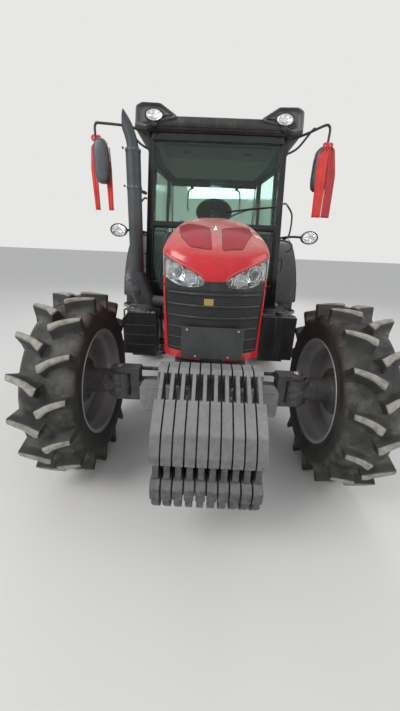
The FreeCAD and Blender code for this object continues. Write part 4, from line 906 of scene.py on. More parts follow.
@dataclass(frozen=True)
class Wheel:
    """One wheel: high lug tyre, drop centre rim and hub."""

    end: str                        # front or rear
    side: Side
    radius: float
    width: float
    lug_height: float
    rim_radius: float
    rim_width: float
    middle: float                   # tyre's middle from the centre line
    place: float
    disc: float                     # disc's inner face outboard of the rim's middle
    hub_hole: float
    rubber: Finish
    lugs: int = 16
    slant: float = 22.0
    tip: float = 30.0
    root: float = 58.0

    def point(self, across: float, run: float, reach: float, turn: float = 0.0) -> Vector:
        """Point on the tyre from its unrolled place.

        Args:
            across: From the tyre's middle, outboard positive.
            run: Way round at the tips, in millimetres.
            reach: Distance from the wheel line.
            turn: Angle that run starts from.

        Returns:
            The point in the model's frame.
        """
        angle = turn + run / self.radius
        hand = self.side.value
        return spot(hand * (self.middle + across), self.place + reach * math.sin(angle),
                    self.radius + reach * math.cos(angle))

    def wall(self) -> list[Pair]:
        """Half of the carcass: (across, radius) from the bead to the tread's middle."""
        half = self.width / 2.0
        base = self.radius - self.lug_height
        seat = self.rim_radius - 20.0
        foot = self.rim_width / 2.0 - 9.6
        drop = base - seat
        return [(foot - 6.0, seat + 2.0), (foot + 3.0, seat + 14.0), (foot + 8.0, seat + 26.0),
                (foot + 6.0, seat + 0.30 * drop), (between(foot, half, 0.75), seat + 0.42 * drop),
                (0.985 * half, seat + 0.56 * drop), (0.995 * half, base - 66.0), (0.95 * half, base - 40.0),
                (0.86 * half, base - 20.0), (0.72 * half, base - 7.0), (0.5 * half, base + 1.0), (0.0, base + 4.0)]

    def skin(self, across: float) -> float:
        """Radius of the carcass at a distance from its middle."""
        return along_table([(x, r) for x, r in reversed(self.wall()[6:])], abs(across))

    def lug(self, shape: Shape, turn: float, hand: float) -> None:
        """One bar with its square, thickened nose and its foot down the shoulder.

        Args:
            shape: The tyre in the making.
            turn: The bar's place round the tyre.
            hand: 1 for the outboard half, -1 for the inboard half.
        """
        half = self.width / 2.0
        slope = math.tan(math.radians(self.slant))
        start = -half / 2.0 * slope
        line = [(2.0, start - 13.0), (15.0, start - 6.0), (32.0, start + 8.0),
                (0.34 * half, start + 0.38 * half * slope), (0.6 * half, start + 0.66 * half * slope),
                (0.82 * half, start + 0.86 * half * slope), (0.96 * half, start + 0.97 * half * slope),
                (half, start + 1.0 * half * slope)]
        widths = [1.4, 1.3, 1.1, 1.0, 1.0, 1.02, 1.05, 1.08]
        rings = []
        for i, (a, s) in enumerate(line):
            b = line[min(i + 1, len(line) - 1)]
            c = line[max(i - 1, 0)]
            run = Vector((b[0] - c[0], b[1] - c[1])).normalized()
            if i in (0, len(line) - 1):
                run = Vector((0.93, 0.36)).normalized()
            n = Vector((-run.y, run.x))
            crown = self.radius - 12.0 * (a / half) ** 2 - (5.0 if i == 0 else 0.0)
            low = self.skin(min(a, 0.93 * half)) - 5.0
            if i == len(line) - 1:
                low = self.skin(half) - 30.0
            tip = self.tip * widths[i] / 2.0
            root = self.root * widths[i] / 2.0
            rise = crown - low
            section = [(-root - 15.0, low), (-root, low + 0.22 * rise), (-tip - 3.0, crown - 8.0), (-tip + 4.0, crown),
                       (tip - 4.0, crown), (tip + 3.0, crown - 8.0), (root, low + 0.22 * rise), (root + 15.0, low)]
            ring = []
            for offset, reach in section:
                across = a + n.x * offset
                if i == len(line) - 1:
                    across = min(half - 0.25 * max(crown - reach - 30.0, 0.0) * 0.2, half)
                across = min(across, half)
                ring.append(self.point(hand * across, s + n.y * offset, reach, turn))
            rings.append(ring)
        shape.loft(rings)

    def tyre(self) -> None:
        """Carcass and lugs in one piece."""
        wall = self.wall()
        loop = wall + [(-x, r) for x, r in reversed(wall[:-1])]
        inner = [(-wall[0][0] + 14.0, wall[0][1]), (wall[0][0] - 14.0, wall[0][1])]
        shape = Shape()
        middle = spot(self.side.value * self.middle, self.place, self.radius)
        shape.turned(loop + inner, middle, ACROSS * self.side.value, 96, loop=True)
        pitch = 2.0 * math.pi / self.lugs
        for number in range(self.lugs):
            self.lug(shape, pitch * number, 1.0)
            self.lug(shape, pitch * (number + 0.5), -1.0)
        for reach, size in ((self.rim_radius + 26.0, 3.0), (self.rim_radius + 52.0, 2.5)):
            for hand in (1.0, -1.0):
                across = along_table([(r, x) for x, r in wall[:8]], reach)
                shape.turned([(hand * (across - 4.0), reach - 5.0), (hand * (across + size), reach),
                              (hand * (across - 4.0), reach + 5.0)], middle, ACROSS * self.side.value, 96, loop=True)
        shape.piece(self.name("tyre_carcass"), self.rubber, self.body, (self.name("tyre"),), angle=38.0)

    def name(self, what: str) -> str:
        """Name of one of the wheel's pieces."""
        return f"{self.end}_{what}_{self.side.word}"

    @property
    def body(self) -> str:
        """The body that the wheel rides on."""
        return f"{self.end}_wheel_{self.side.word}"

    def rim(self) -> None:
        """Rolled rim with its dished disc, nuts, valve and hub."""
        half = self.rim_width / 2.0
        seat = self.rim_radius - 20.0
        well = seat - 34.0
        hole = self.hub_hole
        back = self.disc + 14.0
        outer = [(-half - 1.0, self.rim_radius - 3.0), (-half + 3.0, self.rim_radius), (-half + 8.0, self.rim_radius - 4.0),
                 (-half + 10.0, seat + 3.0), (-half + 16.0, seat), (-0.62 * half, seat - 2.0), (-0.52 * half, seat - 10.0),
                 (-0.42 * half, well + 4.0), (-0.36 * half, well), (0.36 * half, well), (0.42 * half, well + 4.0),
                 (0.52 * half, seat - 10.0), (0.62 * half, seat - 2.0), (half - 16.0, seat), (half - 10.0, seat + 3.0),
                 (half - 8.0, self.rim_radius - 4.0), (half - 3.0, self.rim_radius), (half + 1.0, self.rim_radius - 3.0)]
        inner = [(x * (1.0 if abs(x) > 0.9 * half else 0.98), r - (7.0 if abs(x) < half - 6.0 else 5.0))
                 for x, r in reversed(outer)]
        hand = self.side.value
        middle = spot(hand * self.middle, self.place, self.radius)
        axis = ACROSS * hand
        shape = Shape().turned(outer + inner, middle, axis, 96, loop=True)
        disc = [(0.34 * half, well - 2.0), (0.36 * half, well - 16.0), (between(0.3 * half, back, 0.45), well - 42.0),
                (between(0.3 * half, back, 0.85), hole + 118.0), (back, hole + 92.0), (back + 2.0, hole + 60.0),
                (back, hole), (self.disc, hole), (self.disc, hole + 92.0),
                (between(0.3 * half, back, 0.80) - 13.0, hole + 118.0), (between(0.3 * half, back, 0.4) - 13.0, well - 44.0),
                (0.22 * half, well - 18.0), (0.22 * half, well - 2.0)]
        shape.turned(disc, middle, axis, 96, loop=True)
        valve = self.point(0.3 * half + 16.0, 0.0, well - 20.0, math.pi)
        shape.tube([valve, valve + axis * 0.03], 5.0, 8)
        shape.piece(self.name("rim_rolled"), RIM, self.body, (self.name("rim"),), angle=30.0)
        self.hub(middle, axis)

    def hub(self, middle: Vector, axis: Vector) -> None:
        """Hub, its cap and nuts.

        Args:
            middle: Middle of the wheel.
            axis: Outboard direction.
        """
        hole = self.hub_hole
        back = self.disc + 14.0
        inner = -166.0 if self.end == "front" else self.disc - 180.0
        if self.end == "front":
            inner = 752.0 - self.middle + 0.3
        else:
            inner = 600.6 - self.middle
        shape = Shape()
        profile = [(inner, 30.0), (inner, hole - 26.0), (inner + 8.0, hole - 18.0), (self.disc - 60.0, hole - 18.0),
                   (self.disc - 40.0, hole - 6.0), (self.disc - 22.0, hole + 20.0), (self.disc - 20.0, hole + 58.0),
                   (self.disc - 14.0, hole + 62.0), (self.disc - 0.5, hole + 62.0), (self.disc - 0.5, hole - 1.0),
                   (back + 4.0, hole - 1.0), (back + 10.0, hole - 18.0), (back + 24.0, hole - 22.0),
                   (back + 36.0, hole - 34.0), (back + 44.0, hole - 62.0), (back + 45.0, 4.0)]
        shape.turned(profile, middle, axis, 56)
        shape.bolt_ring(middle + axis * (back + 1.0) / 1000.0, axis, hole + 36.0, 8, 24.0)
        shape.bolt_ring(middle + axis * (back + 38.0) / 1000.0, axis, hole - 44.0, 6, 13.0, 20.0)
        shape.bolt_ring(middle + axis * (self.disc - 22.0) / 1000.0, -axis, hole + 36.0, 8, 20.0)
        # the hub takes the dark grey of painted shade
        shape.piece(self.name("hub_turned"), HUB_PAINTED_SHADE, self.body, angle=34.0)

    def build(self) -> None:
        """Make the whole wheel."""
        self.tyre()
        self.rim()


class HoodForm:
    """Smooth body of the hood, from which the shell, nose, grille and lenses are cut."""

    nose = -455.0
    round_plan = 440.0
    rear = 945.0
    top_line: Sequence[Pair] = (
        (-455.0, 1462.0), (-440.0, 1510.0), (-415.0, 1556.0), (-380.0, 1598.0), (-330.0, 1636.0), (-270.0, 1668.0),
        (-200.0, 1694.0), (-80.0, 1724.0), (150.0, 1768.0), (450.0, 1808.0), (945.0, 1862.0))
    low_line: Sequence[Pair] = ((-455.0, 1010.0), (-250.0, 1010.0), (300.0, 1080.0), (945.0, 1240.0))
    side_line: Sequence[Pair] = ((-520.0, 262.0), (-200.0, 284.0), (945.0, 335.0))
    waist_line: Sequence[Pair] = ((-520.0, 276.0), (-200.0, 290.0), (300.0, 306.0), (945.0, 325.0))
    waist_height: Sequence[Pair] = ((-520.0, 1470.0), (-300.0, 1540.0), (945.0, 1660.0))

    def plan(self, place: float, inset: float) -> float:
        """Half width that the rounded nose leaves at a place."""
        depth = max(place - self.nose - inset, 0.0)
        if depth >= self.round_plan:
            return 999.0
        return math.sqrt(self.round_plan ** 2 - (self.round_plan - depth) ** 2)

    def half(self, place: float, height: float, inset: float) -> float:
        """Half width of the side wall.

        Args:
            place: Place along the machine.
            height: Height above the ground.
            inset: Depth below the outside.

        Returns:
            The half width there, blended into the rounded nose.
        """
        waist = along_table(self.waist_line, place)
        side = along_table(self.side_line, place)
        level = along_table(self.waist_height, place)
        share = min(max((height - 900.0) / (level - 900.0), 0.0), 1.0)
        wide = between(side, waist, share ** 1.5) - inset
        nose = self.plan(place, inset)
        soft = 26.0
        low = min(wide, nose)
        gap = abs(wide - nose)
        return low - (soft * (1.0 - gap / (3.0 * soft)) ** 2 if gap < 3.0 * soft else 0.0) * min(nose / 120.0, 1.0) * 0.35

    def section(self, place: float, inset: float) -> list[Vector]:
        """Closed section across the hood.

        Args:
            place: Place along the machine.
            inset: Depth below the outside.

        Returns:
            Points round the section.
        """
        low = along_table(self.low_line, place) - 4.0 * inset
        top = along_table(self.top_line, place) - inset
        level = min(along_table(self.waist_height, place), top - 45.0)
        points = []
        for k in range(9):
            z = between(low, level, k / 8.0)
            points.append((self.half(place, z, inset), z))
        wide = points[-1][0]
        power = 2.0 / 2.9
        for k in range(1, 15):
            turn = math.pi / 2.0 * k / 14.0
            x = wide * max(math.cos(turn), 0.0) ** power
            z = level + (top - level) * math.sin(turn) ** power
            points.append((x, z))
        return [spot(x, place, z) for x, z in points] + [spot(-x, place, z) for x, z in reversed(points[:-1])]

    def solid(self, inset: float, rear: float = 0.0) -> Shape:
        """Closed body at a depth below the outside.

        Args:
            inset: That depth.
            rear: How far it runs on behind the hood's rear edge.

        Returns:
            The body.
        """
        places = [self.nose + inset + self.round_plan * (1.0 - math.cos(math.radians(turn)))
                  for turn in (1.0, 3.0, 6.0, 9.0, 12.5, 16.0, 20.0, 24.0, 28.0, 31.0, 34.0, 37.0, 40.0)]
        place = places[-1] + 18.0
        while place < self.rear + rear:
            places.append(place)
            place += 30.0 if place < 0.0 else 70.0
        places.append(self.rear + rear)
        return Shape().loft([self.section(place, inset) for place in places])

    def top(self, across: float, place: float) -> float:
        """Height of the hood's outside over a point.

        Args:
            across: Distance from the centre line.
            place: Place along the machine.

        Returns:
            The height.
        """
        top = along_table(self.top_line, place)
        level = min(along_table(self.waist_height, place), top - 45.0)
        wide = self.half(place, level, 0.0)
        share = min(abs(across) / wide, 0.999)
        return level + (top - level) * (1.0 - share ** 2.9) ** (1.0 / 2.9)


@dataclass(frozen=True)
class Hood:
    """Hood shell, nose, grille, headlamps and plate."""

    form: HoodForm
    wall: float = 8.0
    nose_top: float = 1405.0
    nose_rear: float = -330.0
    lamp: tuple[Pair, ...] = ((46.0, 1424.0), (74.0, 1400.0), (145.0, 1395.0), (208.0, 1408.0), (262.0, 1442.0),
                              (330.0, 1468.0), (330.0, 1566.0), (262.0, 1548.0), (219.0, 1522.0), (144.0, 1489.0),
                              (79.0, 1457.0))
    opening: tuple[Pair, ...] = ((-248.0, 1050.0), (248.0, 1050.0), (264.0, 1390.0), (-264.0, 1390.0))
    chin_half: float = 263.2
    chin_low: float = 1386.3
    chin_top: float = 1431.0

    def lamp_tool(self, hand: float, grow: float = 0.0) -> Shape:
        """Block that cuts one lamp's opening.

        Args:
            hand: 1 for the left lamp, -1 for the right.
            grow: How much larger than the opening.

        Returns:
            The block.
        """
        middle = (190.0, 1478.0)
        outline = [(middle[0] + (x - middle[0]) * (1.0 + grow / 130.0), middle[1] + (z - middle[1]) * (1.0 + grow / 60.0))
                   for x, z in self.lamp]
        return Shape().cross_slab([(hand * x, z) for x, z in rounded(outline, 26.0)], -520.0, -232.0)

    def nose_tool(self) -> Shape:
        """Block that holds the nose below the lamps."""
        return Shape().block(-600.0, 600.0, -475.0, self.nose_rear, 960.0, self.nose_top)

    def grille_tool(self) -> Shape:
        """Block that cuts the grille's opening."""
        return Shape().cross_slab(rounded(self.opening, 14.0), -515.0, -290.0)

    def chin_tool(self) -> Shape:
        """Block that cuts the black chin between the grille, the lamps and the beak."""
        return Shape().block(-self.chin_half, self.chin_half, -519.0, -287.0, self.chin_low, self.chin_top)

    def shell(self) -> None:
        """Hood shell with the two openings for the lamps, and its hinge ears."""
        shape = self.form.solid(0.0).cut(self.form.solid(self.wall, 60.0)).cut(self.nose_tool()).cut(self.chin_tool())
        for side in Side:
            shape.cut(self.lamp_tool(side.value))
        shape.piece("hood_shell", RED, "hood", ("hood",), angle=24.0)
        ears = Shape()
        for side in Side:
            x0, x1 = sorted((side.value * 108.0, side.value * 120.0))
            ears.side_slab([(826.0, 1838.0), (858.0, 1778.0), (880.0, 1768.0), (902.0, 1778.0), (925.0, 1846.0)], x0, x1)
            ears.turned([(0.0, 24.0), (5.0, 24.0), (5.0, 10.4), (0.0, 10.4)], spot(side.value * 120.0, 880.0, 1800.0),
                        ACROSS * side.value, 24, loop=True)
        ears.piece("hood_hinge_ears", RED, "hood", edge=1.5)

    def lips(self) -> None:
        """Raised edge over each lamp."""
        shape = Shape()
        for side in Side:
            top = [(50.0, 1432.0), (79.0, 1460.0), (144.0, 1492.0), (219.0, 1525.0), (258.0, 1549.0)]
            line = []
            for x, z in top:
                place = self.front_of(x, z)
                line.append(spot(side.value * x, place - 2.0, z + 3.0))
            shape.tube(bent(line, 4), 5.0, 8)
        shape.piece("hood_lamp_lips", RED, "hood")

    def front_of(self, across: float, height: float) -> float:
        """Place of the hood's outside in front of a point of its front view.

        Args:
            across: Distance from the centre line.
            height: Height above the ground.

        Returns:
            The place along the machine.
        """
        place = self.form.nose
        while place < 0.0:
            wide = self.form.half(place, height, 0.0)
            if wide > abs(across) and self.form.top(across, place) > height:
                return place
            place += 1.0
        return place

    def wiped(self) -> None:
        """The two wiped panels on the dusty top, and the small knob between them."""
        left = ((-226.0, 40.0), (-40.0, -205.0), (-24.0, -400.0), (-134.0, -385.0), (-186.0, -315.0), (-206.0, -200.0))
        right = ((26.0, -215.0), (190.0, -90.0), (186.0, -262.0), (134.0, -388.0), (26.0, -400.0))
        for corners, name in ((left, "right"), (right, "left")):
            line = rounded(corners, 16.0, 5)
            for height, finish, word, grow in ((-0.8, SEAL, "edge", 1.0), (-1.6, RED_CLEAN, "panel", 0.972)):
                middle = (sum(x for x, _ in line) / len(line), sum(y for _, y in line) / len(line))
                outline = [(between(middle[0], x, grow), between(middle[1], y, grow)) for x, y in line]
                patch = self.form.solid(height).cut(self.form.solid(2.0))
                patch.cut(Shape().level_slab(outline, 1450.0, 1900.0), "INTERSECT")
                patch.piece(f"hood_wiped_{word}_{name}", finish, "hood", angle=40.0)
        knob = Shape()
        foot = spot(-8.0, -232.0, self.form.top(8.0, -232.0))
        knob.turned([(-2.0, 12.0), (3.0, 11.0), (5.0, 6.0), (16.0, 3.0), (19.0, 1.0)], foot, UP, 20)
        knob.piece("hood_knob", CHROME, "hood")

    def nose(self) -> None:
        """Red frame of the nose with the black punched grille in it."""
        low = Shape().block(-600.0, 600.0, -475.0, self.nose_rear, 960.0, self.chin_low + 2.0)
        front = self.form.solid(0.0).cut(self.form.solid(self.wall)).cut(low, "INTERSECT")
        front.cut(self.grille_tool()).piece("nose_frame", RED, "hood", ("nose_trim",), angle=24.0)
        chin = self.form.solid(1.0).cut(self.form.solid(9.0)).cut(self.chin_tool(), "INTERSECT")
        for side in Side:
            chin.cut(self.lamp_tool(side.value))
        chin.piece("nose_chin", BLACK, "hood", angle=24.0)
        face = self.form.solid(3.0).cut(self.form.solid(9.0)).cut(self.grille_tool(), "INTERSECT")
        face.piece("grille_screen", GRILLE, "hood", ("grille",), angle=30.0)
        ribs = Shape()
        for number in range(6):
            z = 1066.0 + 60.0 * number
            line = [spot(x, self.front_of(abs(x), z) - 1.0, z) for x in range(-240, 241, 24)]
            ribs.tube(line, 4.0, 8, flat=1.4)
        ribs.piece("grille_ribs", BLACK, "hood")
        self.trim()

    def vents(self) -> None:
        """Black punched vents in the hood's sides with their ribs, and the pressed line above them."""
        outline = rounded([(130.0, 1330.0), (700.0, 1392.0), (790.0, 1400.0), (800.0, 1560.0), (240.0, 1500.0)], 34.0)
        panel = self.form.solid(-1.0).cut(self.form.solid(3.0))
        panel.cut(Shape().side_slab(outline, -420.0, 420.0), "INTERSECT")
        panel.piece("hood_vents", GRILLE, "hood", angle=30.0)
        ribs = Shape()
        for side in Side:
            hand = side.value
            for share in (0.25, 0.5, 0.75):
                line = []
                for y in range(250, 781, 53):
                    z = between(between(1345.0, 1400.0, (y - 130.0) / 660.0), between(1500.0, 1555.0, (y - 240.0) / 560.0),
                                share)
                    line.append(spot(hand * (self.form.half(float(y), z, 0.0) + 0.5), float(y), z))
                ribs.tube(line, 3.5, 8, flat=1.6)
            crease = [spot(hand * (self.form.half(float(y), 1290.0 + 0.06 * y, 0.0) - 0.5), float(y), 1290.0 + 0.06 * y)
                      for y in range(-280, 921, 60)]
            ribs.tube(crease, 2.2, 8, flat=1.4)
            for y in (150.0, 560.0):
                z = 1160.0 + 0.2 * y
                ribs.turned([(-4.0, 17.0), (4.0, 17.0), (6.0, 13.0), (7.0, 3.0)],
                            spot(hand * self.form.half(y, z, 0.0), y, z), ACROSS * hand, 20)
        ribs.piece("hood_side_ribs", BLACK, "hood")

    def trim(self) -> None:
        """Black insert in the nose's lower rim, and the small bare label."""
        insert = Shape()
        insert.loft([[spot(x, self.front_of(abs(x), 1030.0) - 2.0, 1006.0), spot(x, self.front_of(abs(x), 1030.0) - 2.0,
                                                                               1046.0),
                      spot(x, self.front_of(abs(x), 1030.0) + 3.0, 1046.0),
                      spot(x, self.front_of(abs(x), 1030.0) + 3.0, 1006.0)] for x in range(-60, 61, 12)])
        insert.piece("nose_insert", BLACK, "hood")
        label = Shape()
        rings = []
        for x in (-52.0, -40.0, -28.0, -16.0, -4.0):
            place = self.front_of(abs(x), 1330.0) + 1.6
            rings.append([spot(x, place, 1305.0), spot(x, place, 1345.0), spot(x, place + 2.0, 1345.0),
                          spot(x, place + 2.0, 1305.0)])
        label.loft(rings).piece("grille_label", LABEL, "hood")

    def lamps(self) -> None:
        """Headlamps: clear lens, chrome bowl, projector and reflectors."""
        lens = None
        for side in Side:
            cover = self.form.solid(1.5).cut(self.form.solid(5.0)).cut(self.lamp_tool(side.value, -1.5), "INTERSECT")
            made = cover.piece(f"headlamp_lens_{side.word}", LENS, "hood", angle=30.0)
            lens = lens or made
            self.bowl(side)
        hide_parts("headlamps")

    def bowl(self, side: Side) -> None:
        """Bowl behind one lens with what is in it.

        Args:
            side: The lamp's side.
        """
        hand = side.value
        outline = rounded(self.lamp, 26.0)
        middle = (170.0, 1468.0)
        rings = []
        for depth, share in ((9.0, 0.99), (26.0, 0.97), (60.0, 0.86), (74.0, 0.7)):
            ring = []
            for x, z in outline:
                px = between(middle[0], x, share)
                pz = between(middle[1], z, share)
                place = min(self.front_of(min(x, 262.0), min(z, 1536.0)), -330.0) + depth
                ring.append(spot(hand * min(px, 262.0 - 0.25 * depth), place, pz))
            rings.append(ring)
        Shape().loft(rings, caps=False).piece(f"headlamp_bowl_{side.word}", REFLECTOR, "hood", angle=60.0)
        back = Shape().loft([rings[-1], [point + ALONG * 0.004 for point in rings[-1]]])
        back.piece(f"headlamp_back_{side.word}", REFLECTOR, "hood")
        cups = Shape()
        for x, z, size in ((206.0, 1468.0, 40.0), (126.0, 1440.0, 28.0)):
            place = self.front_of(x, z)
            cups.turned([(-26.0, size), (-22.0, size + 3.0), (10.0, size * 0.8), (34.0, size * 0.35), (36.0, size * 0.33),
                         (8.0, size * 0.72), (-22.0, size * 0.92)], spot(hand * x, place + 44.0, z), ALONG, 36, loop=True)
        for x in (84.0, 98.0, 156.0, 164.0):
            cups.tube(spots([(hand * x, self.front_of(x, 1430.0) + 22.0, 1410.0 + (x - 84.0) * 0.05),
                             (hand * (x + 4.0), self.front_of(x, 1462.0) + 26.0, 1452.0 + (x - 84.0) * 0.35)]), 3.0, 8)
        cups.piece(f"headlamp_cups_{side.word}", CHROME, "hood", angle=40.0)
        eye = Shape()
        place = self.front_of(206.0, 1468.0)
        eye.turned([(0.0, 25.0), (-6.0, 24.0), (-12.0, 19.0), (-16.0, 10.0), (-17.5, 0.5)],
                   spot(hand * 206.0, place + 40.0, 1468.0), ALONG, 32)
        eye.piece(f"headlamp_eye_{side.word}", LENS, "hood", angle=60.0)

    def plate(self) -> None:
        """Bare number plate with its four bolts."""
        shape = Shape()
        outline = rounded([(-165.0, 1026.0), (165.0, 1026.0), (165.0, 1200.0), (-165.0, 1200.0)], 10.0)
        shape.cross_slab(outline, -469.0, -464.0)
        for x, z in ((135.0, 1186.0), (88.0, 1039.0)):
            for hand in (1.0, -1.0):
                shape.tube(spots([(hand * x, -464.5, z), (hand * x, self.front_of(x, max(z, 1050.0)), z)]), 6.0, 8)
        shape.piece("plate_sheet", PLATE, "hood", ("number_plate",), edge=1.2)
        bolts = Shape()
        for x, z in ((135.0, 1186.0), (88.0, 1039.0)):
            for hand in (1.0, -1.0):
                bolts.bolt(spot(hand * x, -469.0, z), -ALONG, 9.0)
        bolts.piece("plate_bolts", STEEL, "hood")

    def build(self) -> None:
        """Make the hood and all on it."""
        self.shell()
        self.lips()
        self.wiped()
        self.vents()
        self.nose()
        self.lamps()
        self.plate()


def dress(node: str, finish: Finish) -> None:
    """Give a node of the model its finish as it stands.

    Args:
        node: The node's name.
        finish: Its finish.
    """
    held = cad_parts[node]
    if not held.material_slots:
        held.data.materials.append(finish.material())
    for place in held.material_slots:
        place.material = finish.material()


def pane_loops(node: str, smallest: float = 0.02) -> list[list[Vector]]:
    """Outlines of the large faces of a node's panes.

    Args:
        node: The node's name.
        smallest: Least area of a face, in square metres.

    Returns:
        The corners of each large face, in order.
    """
    shape = Shape.of_node(node)
    loops = [[v.co.copy() for v in face.verts] for face in shape.mesh.faces if face.calc_area() > smallest]
    shape.mesh.free()
    return loops


def soft_corners(corners: Sequence[Vector], radius: float, steps: int = 3) -> list[Vector]:
    """Closed line in space with its corners rounded.

    Args:
        corners: The corners in order.
        radius: Size of the rounding in millimetres.
        steps: Pieces in each corner.

    Returns:
        The new points.
    """
    line = []
    for i, here in enumerate(corners):
        before = corners[i - 1] - here
        after = corners[(i + 1) % len(corners)] - here
        reach = min(radius / 1000.0, 0.45 * before.length, 0.45 * after.length)
        a = here + before.normalized() * reach
        b = here + after.normalized() * reach
        line += [a * (1 - k / steps) ** 2 + here * (2 * k / steps * (1 - k / steps)) + b * (k / steps) ** 2
                 for k in range(steps + 1)]
    return line


def seals(node: str, radius: float = 6.0) -> Shape:
    """Rubber seal along the edges of a node's panes.

    Args:
        node: The node's name.
        radius: Radius of the seal.

    Returns:
        The seals' shape.
    """
    shape = Shape()
    for loop in pane_loops(node):
        line = soft_corners(loop, 14.0)
        shape.tube(line + [line[0], line[1]], radius, 6)
    return shape


@dataclass(frozen=True)
class FrontWeights:
    """Row of hung weights and the bracket that they hang on."""

    count: int = 10
    pitch: float = 55.0
    thick: float = 47.0
    arm_thick: float = 18.0
    web_thick: float = 30.0
    toe_thick: float = 35.0
    arm: tuple[Pair, ...] = ((-522.0, 940.0), (-554.0, 1003.0), (-820.0, 785.0), (-820.0, 690.0), (-522.0, 825.0))
    hook: tuple[Pair, ...] = ((-468.0, 928.0), (-456.0, 928.0), (-456.0, 989.0), (-468.0, 1003.0), (-554.0, 1003.0),
                              (-578.0, 983.0), (-522.0, 895.0), (-522.0, 950.3), (-468.0, 950.3))
    slab: tuple[Pair, ...] = ((-692.0, 892.0), (-706.0, 881.0), (-819.0, 788.0), (-865.0, 690.0), (-865.0, 640.0),
                              (-615.0, 640.0), (-615.0, 860.0))
    core: tuple[Pair, ...] = ((-700.0, 852.0), (-795.0, 770.0), (-838.0, 685.0), (-838.0, 664.0), (-640.0, 664.0),
                              (-640.0, 852.0))
    web: tuple[Pair, ...] = ((-830.0, 660.0), (-830.0, 520.0), (-605.0, 520.0), (-605.0, 660.0))
    foot: tuple[Pair, ...] = ((-838.0, 534.0), (-868.0, 505.0), (-862.0, 436.0), (-600.0, 436.0), (-600.0, 534.0))
    foot_core: tuple[Pair, ...] = ((-826.0, 522.0), (-846.0, 500.0), (-842.0, 452.0), (-620.0, 452.0), (-620.0, 522.0))
    toe: tuple[Pair, ...] = ((-858.0, 450.0), (-855.0, 400.0), (-785.0, 312.0), (-650.0, 312.0), (-600.0, 420.0),
                             (-600.0, 450.0))

    def build(self) -> None:
        """Cast the ten weights and their bracket."""
        high, low = Shape(), Shape()
        for number in range(self.count):
            middle = (number - (self.count - 1) / 2.0) * self.pitch
            for shape, outline, width, round_off in ((high, self.arm, self.arm_thick, 4.0),
                                                     (high, self.hook, self.thick, 5.0),
                                                     (high, self.slab, self.thick, 12.0),
                                                     (high, self.core, self.pitch - 0.6, 6.0),
                                                     (low, self.web, self.web_thick, 3.0),
                                                     (low, self.foot, self.thick, 8.0),
                                                     (low, self.foot_core, self.pitch - 0.6, 6.0),
                                                     (low, self.toe, self.toe_thick, 10.0)):
                shape.side_slab(rounded(outline, round_off, 3), middle - width / 2.0, middle + width / 2.0)
        high.piece("weights_cast", WEIGHT, replaces=("front_weights",), edge=5.5, steps=3, angle=38.0)
        # the webs, feet and toes take the weights' grey darkened as painted shade
        low.piece("weights_feet", WEIGHT_PAINTED_SHADE, edge=4.5, steps=3, angle=38.0)
        soften(("weight_bracket",), CAST, edge=4.0)
        bolts = Shape()
        for side in Side:
            for place, height in ((-425.0, 770.0), (-425.0, 830.0), (-478.0, 900.0)):
                bolts.bolt(spot(side.value * 122.0, place, height), ACROSS * side.value, 22.0)
        bolts.piece("weight_bracket_bolts", STEEL)


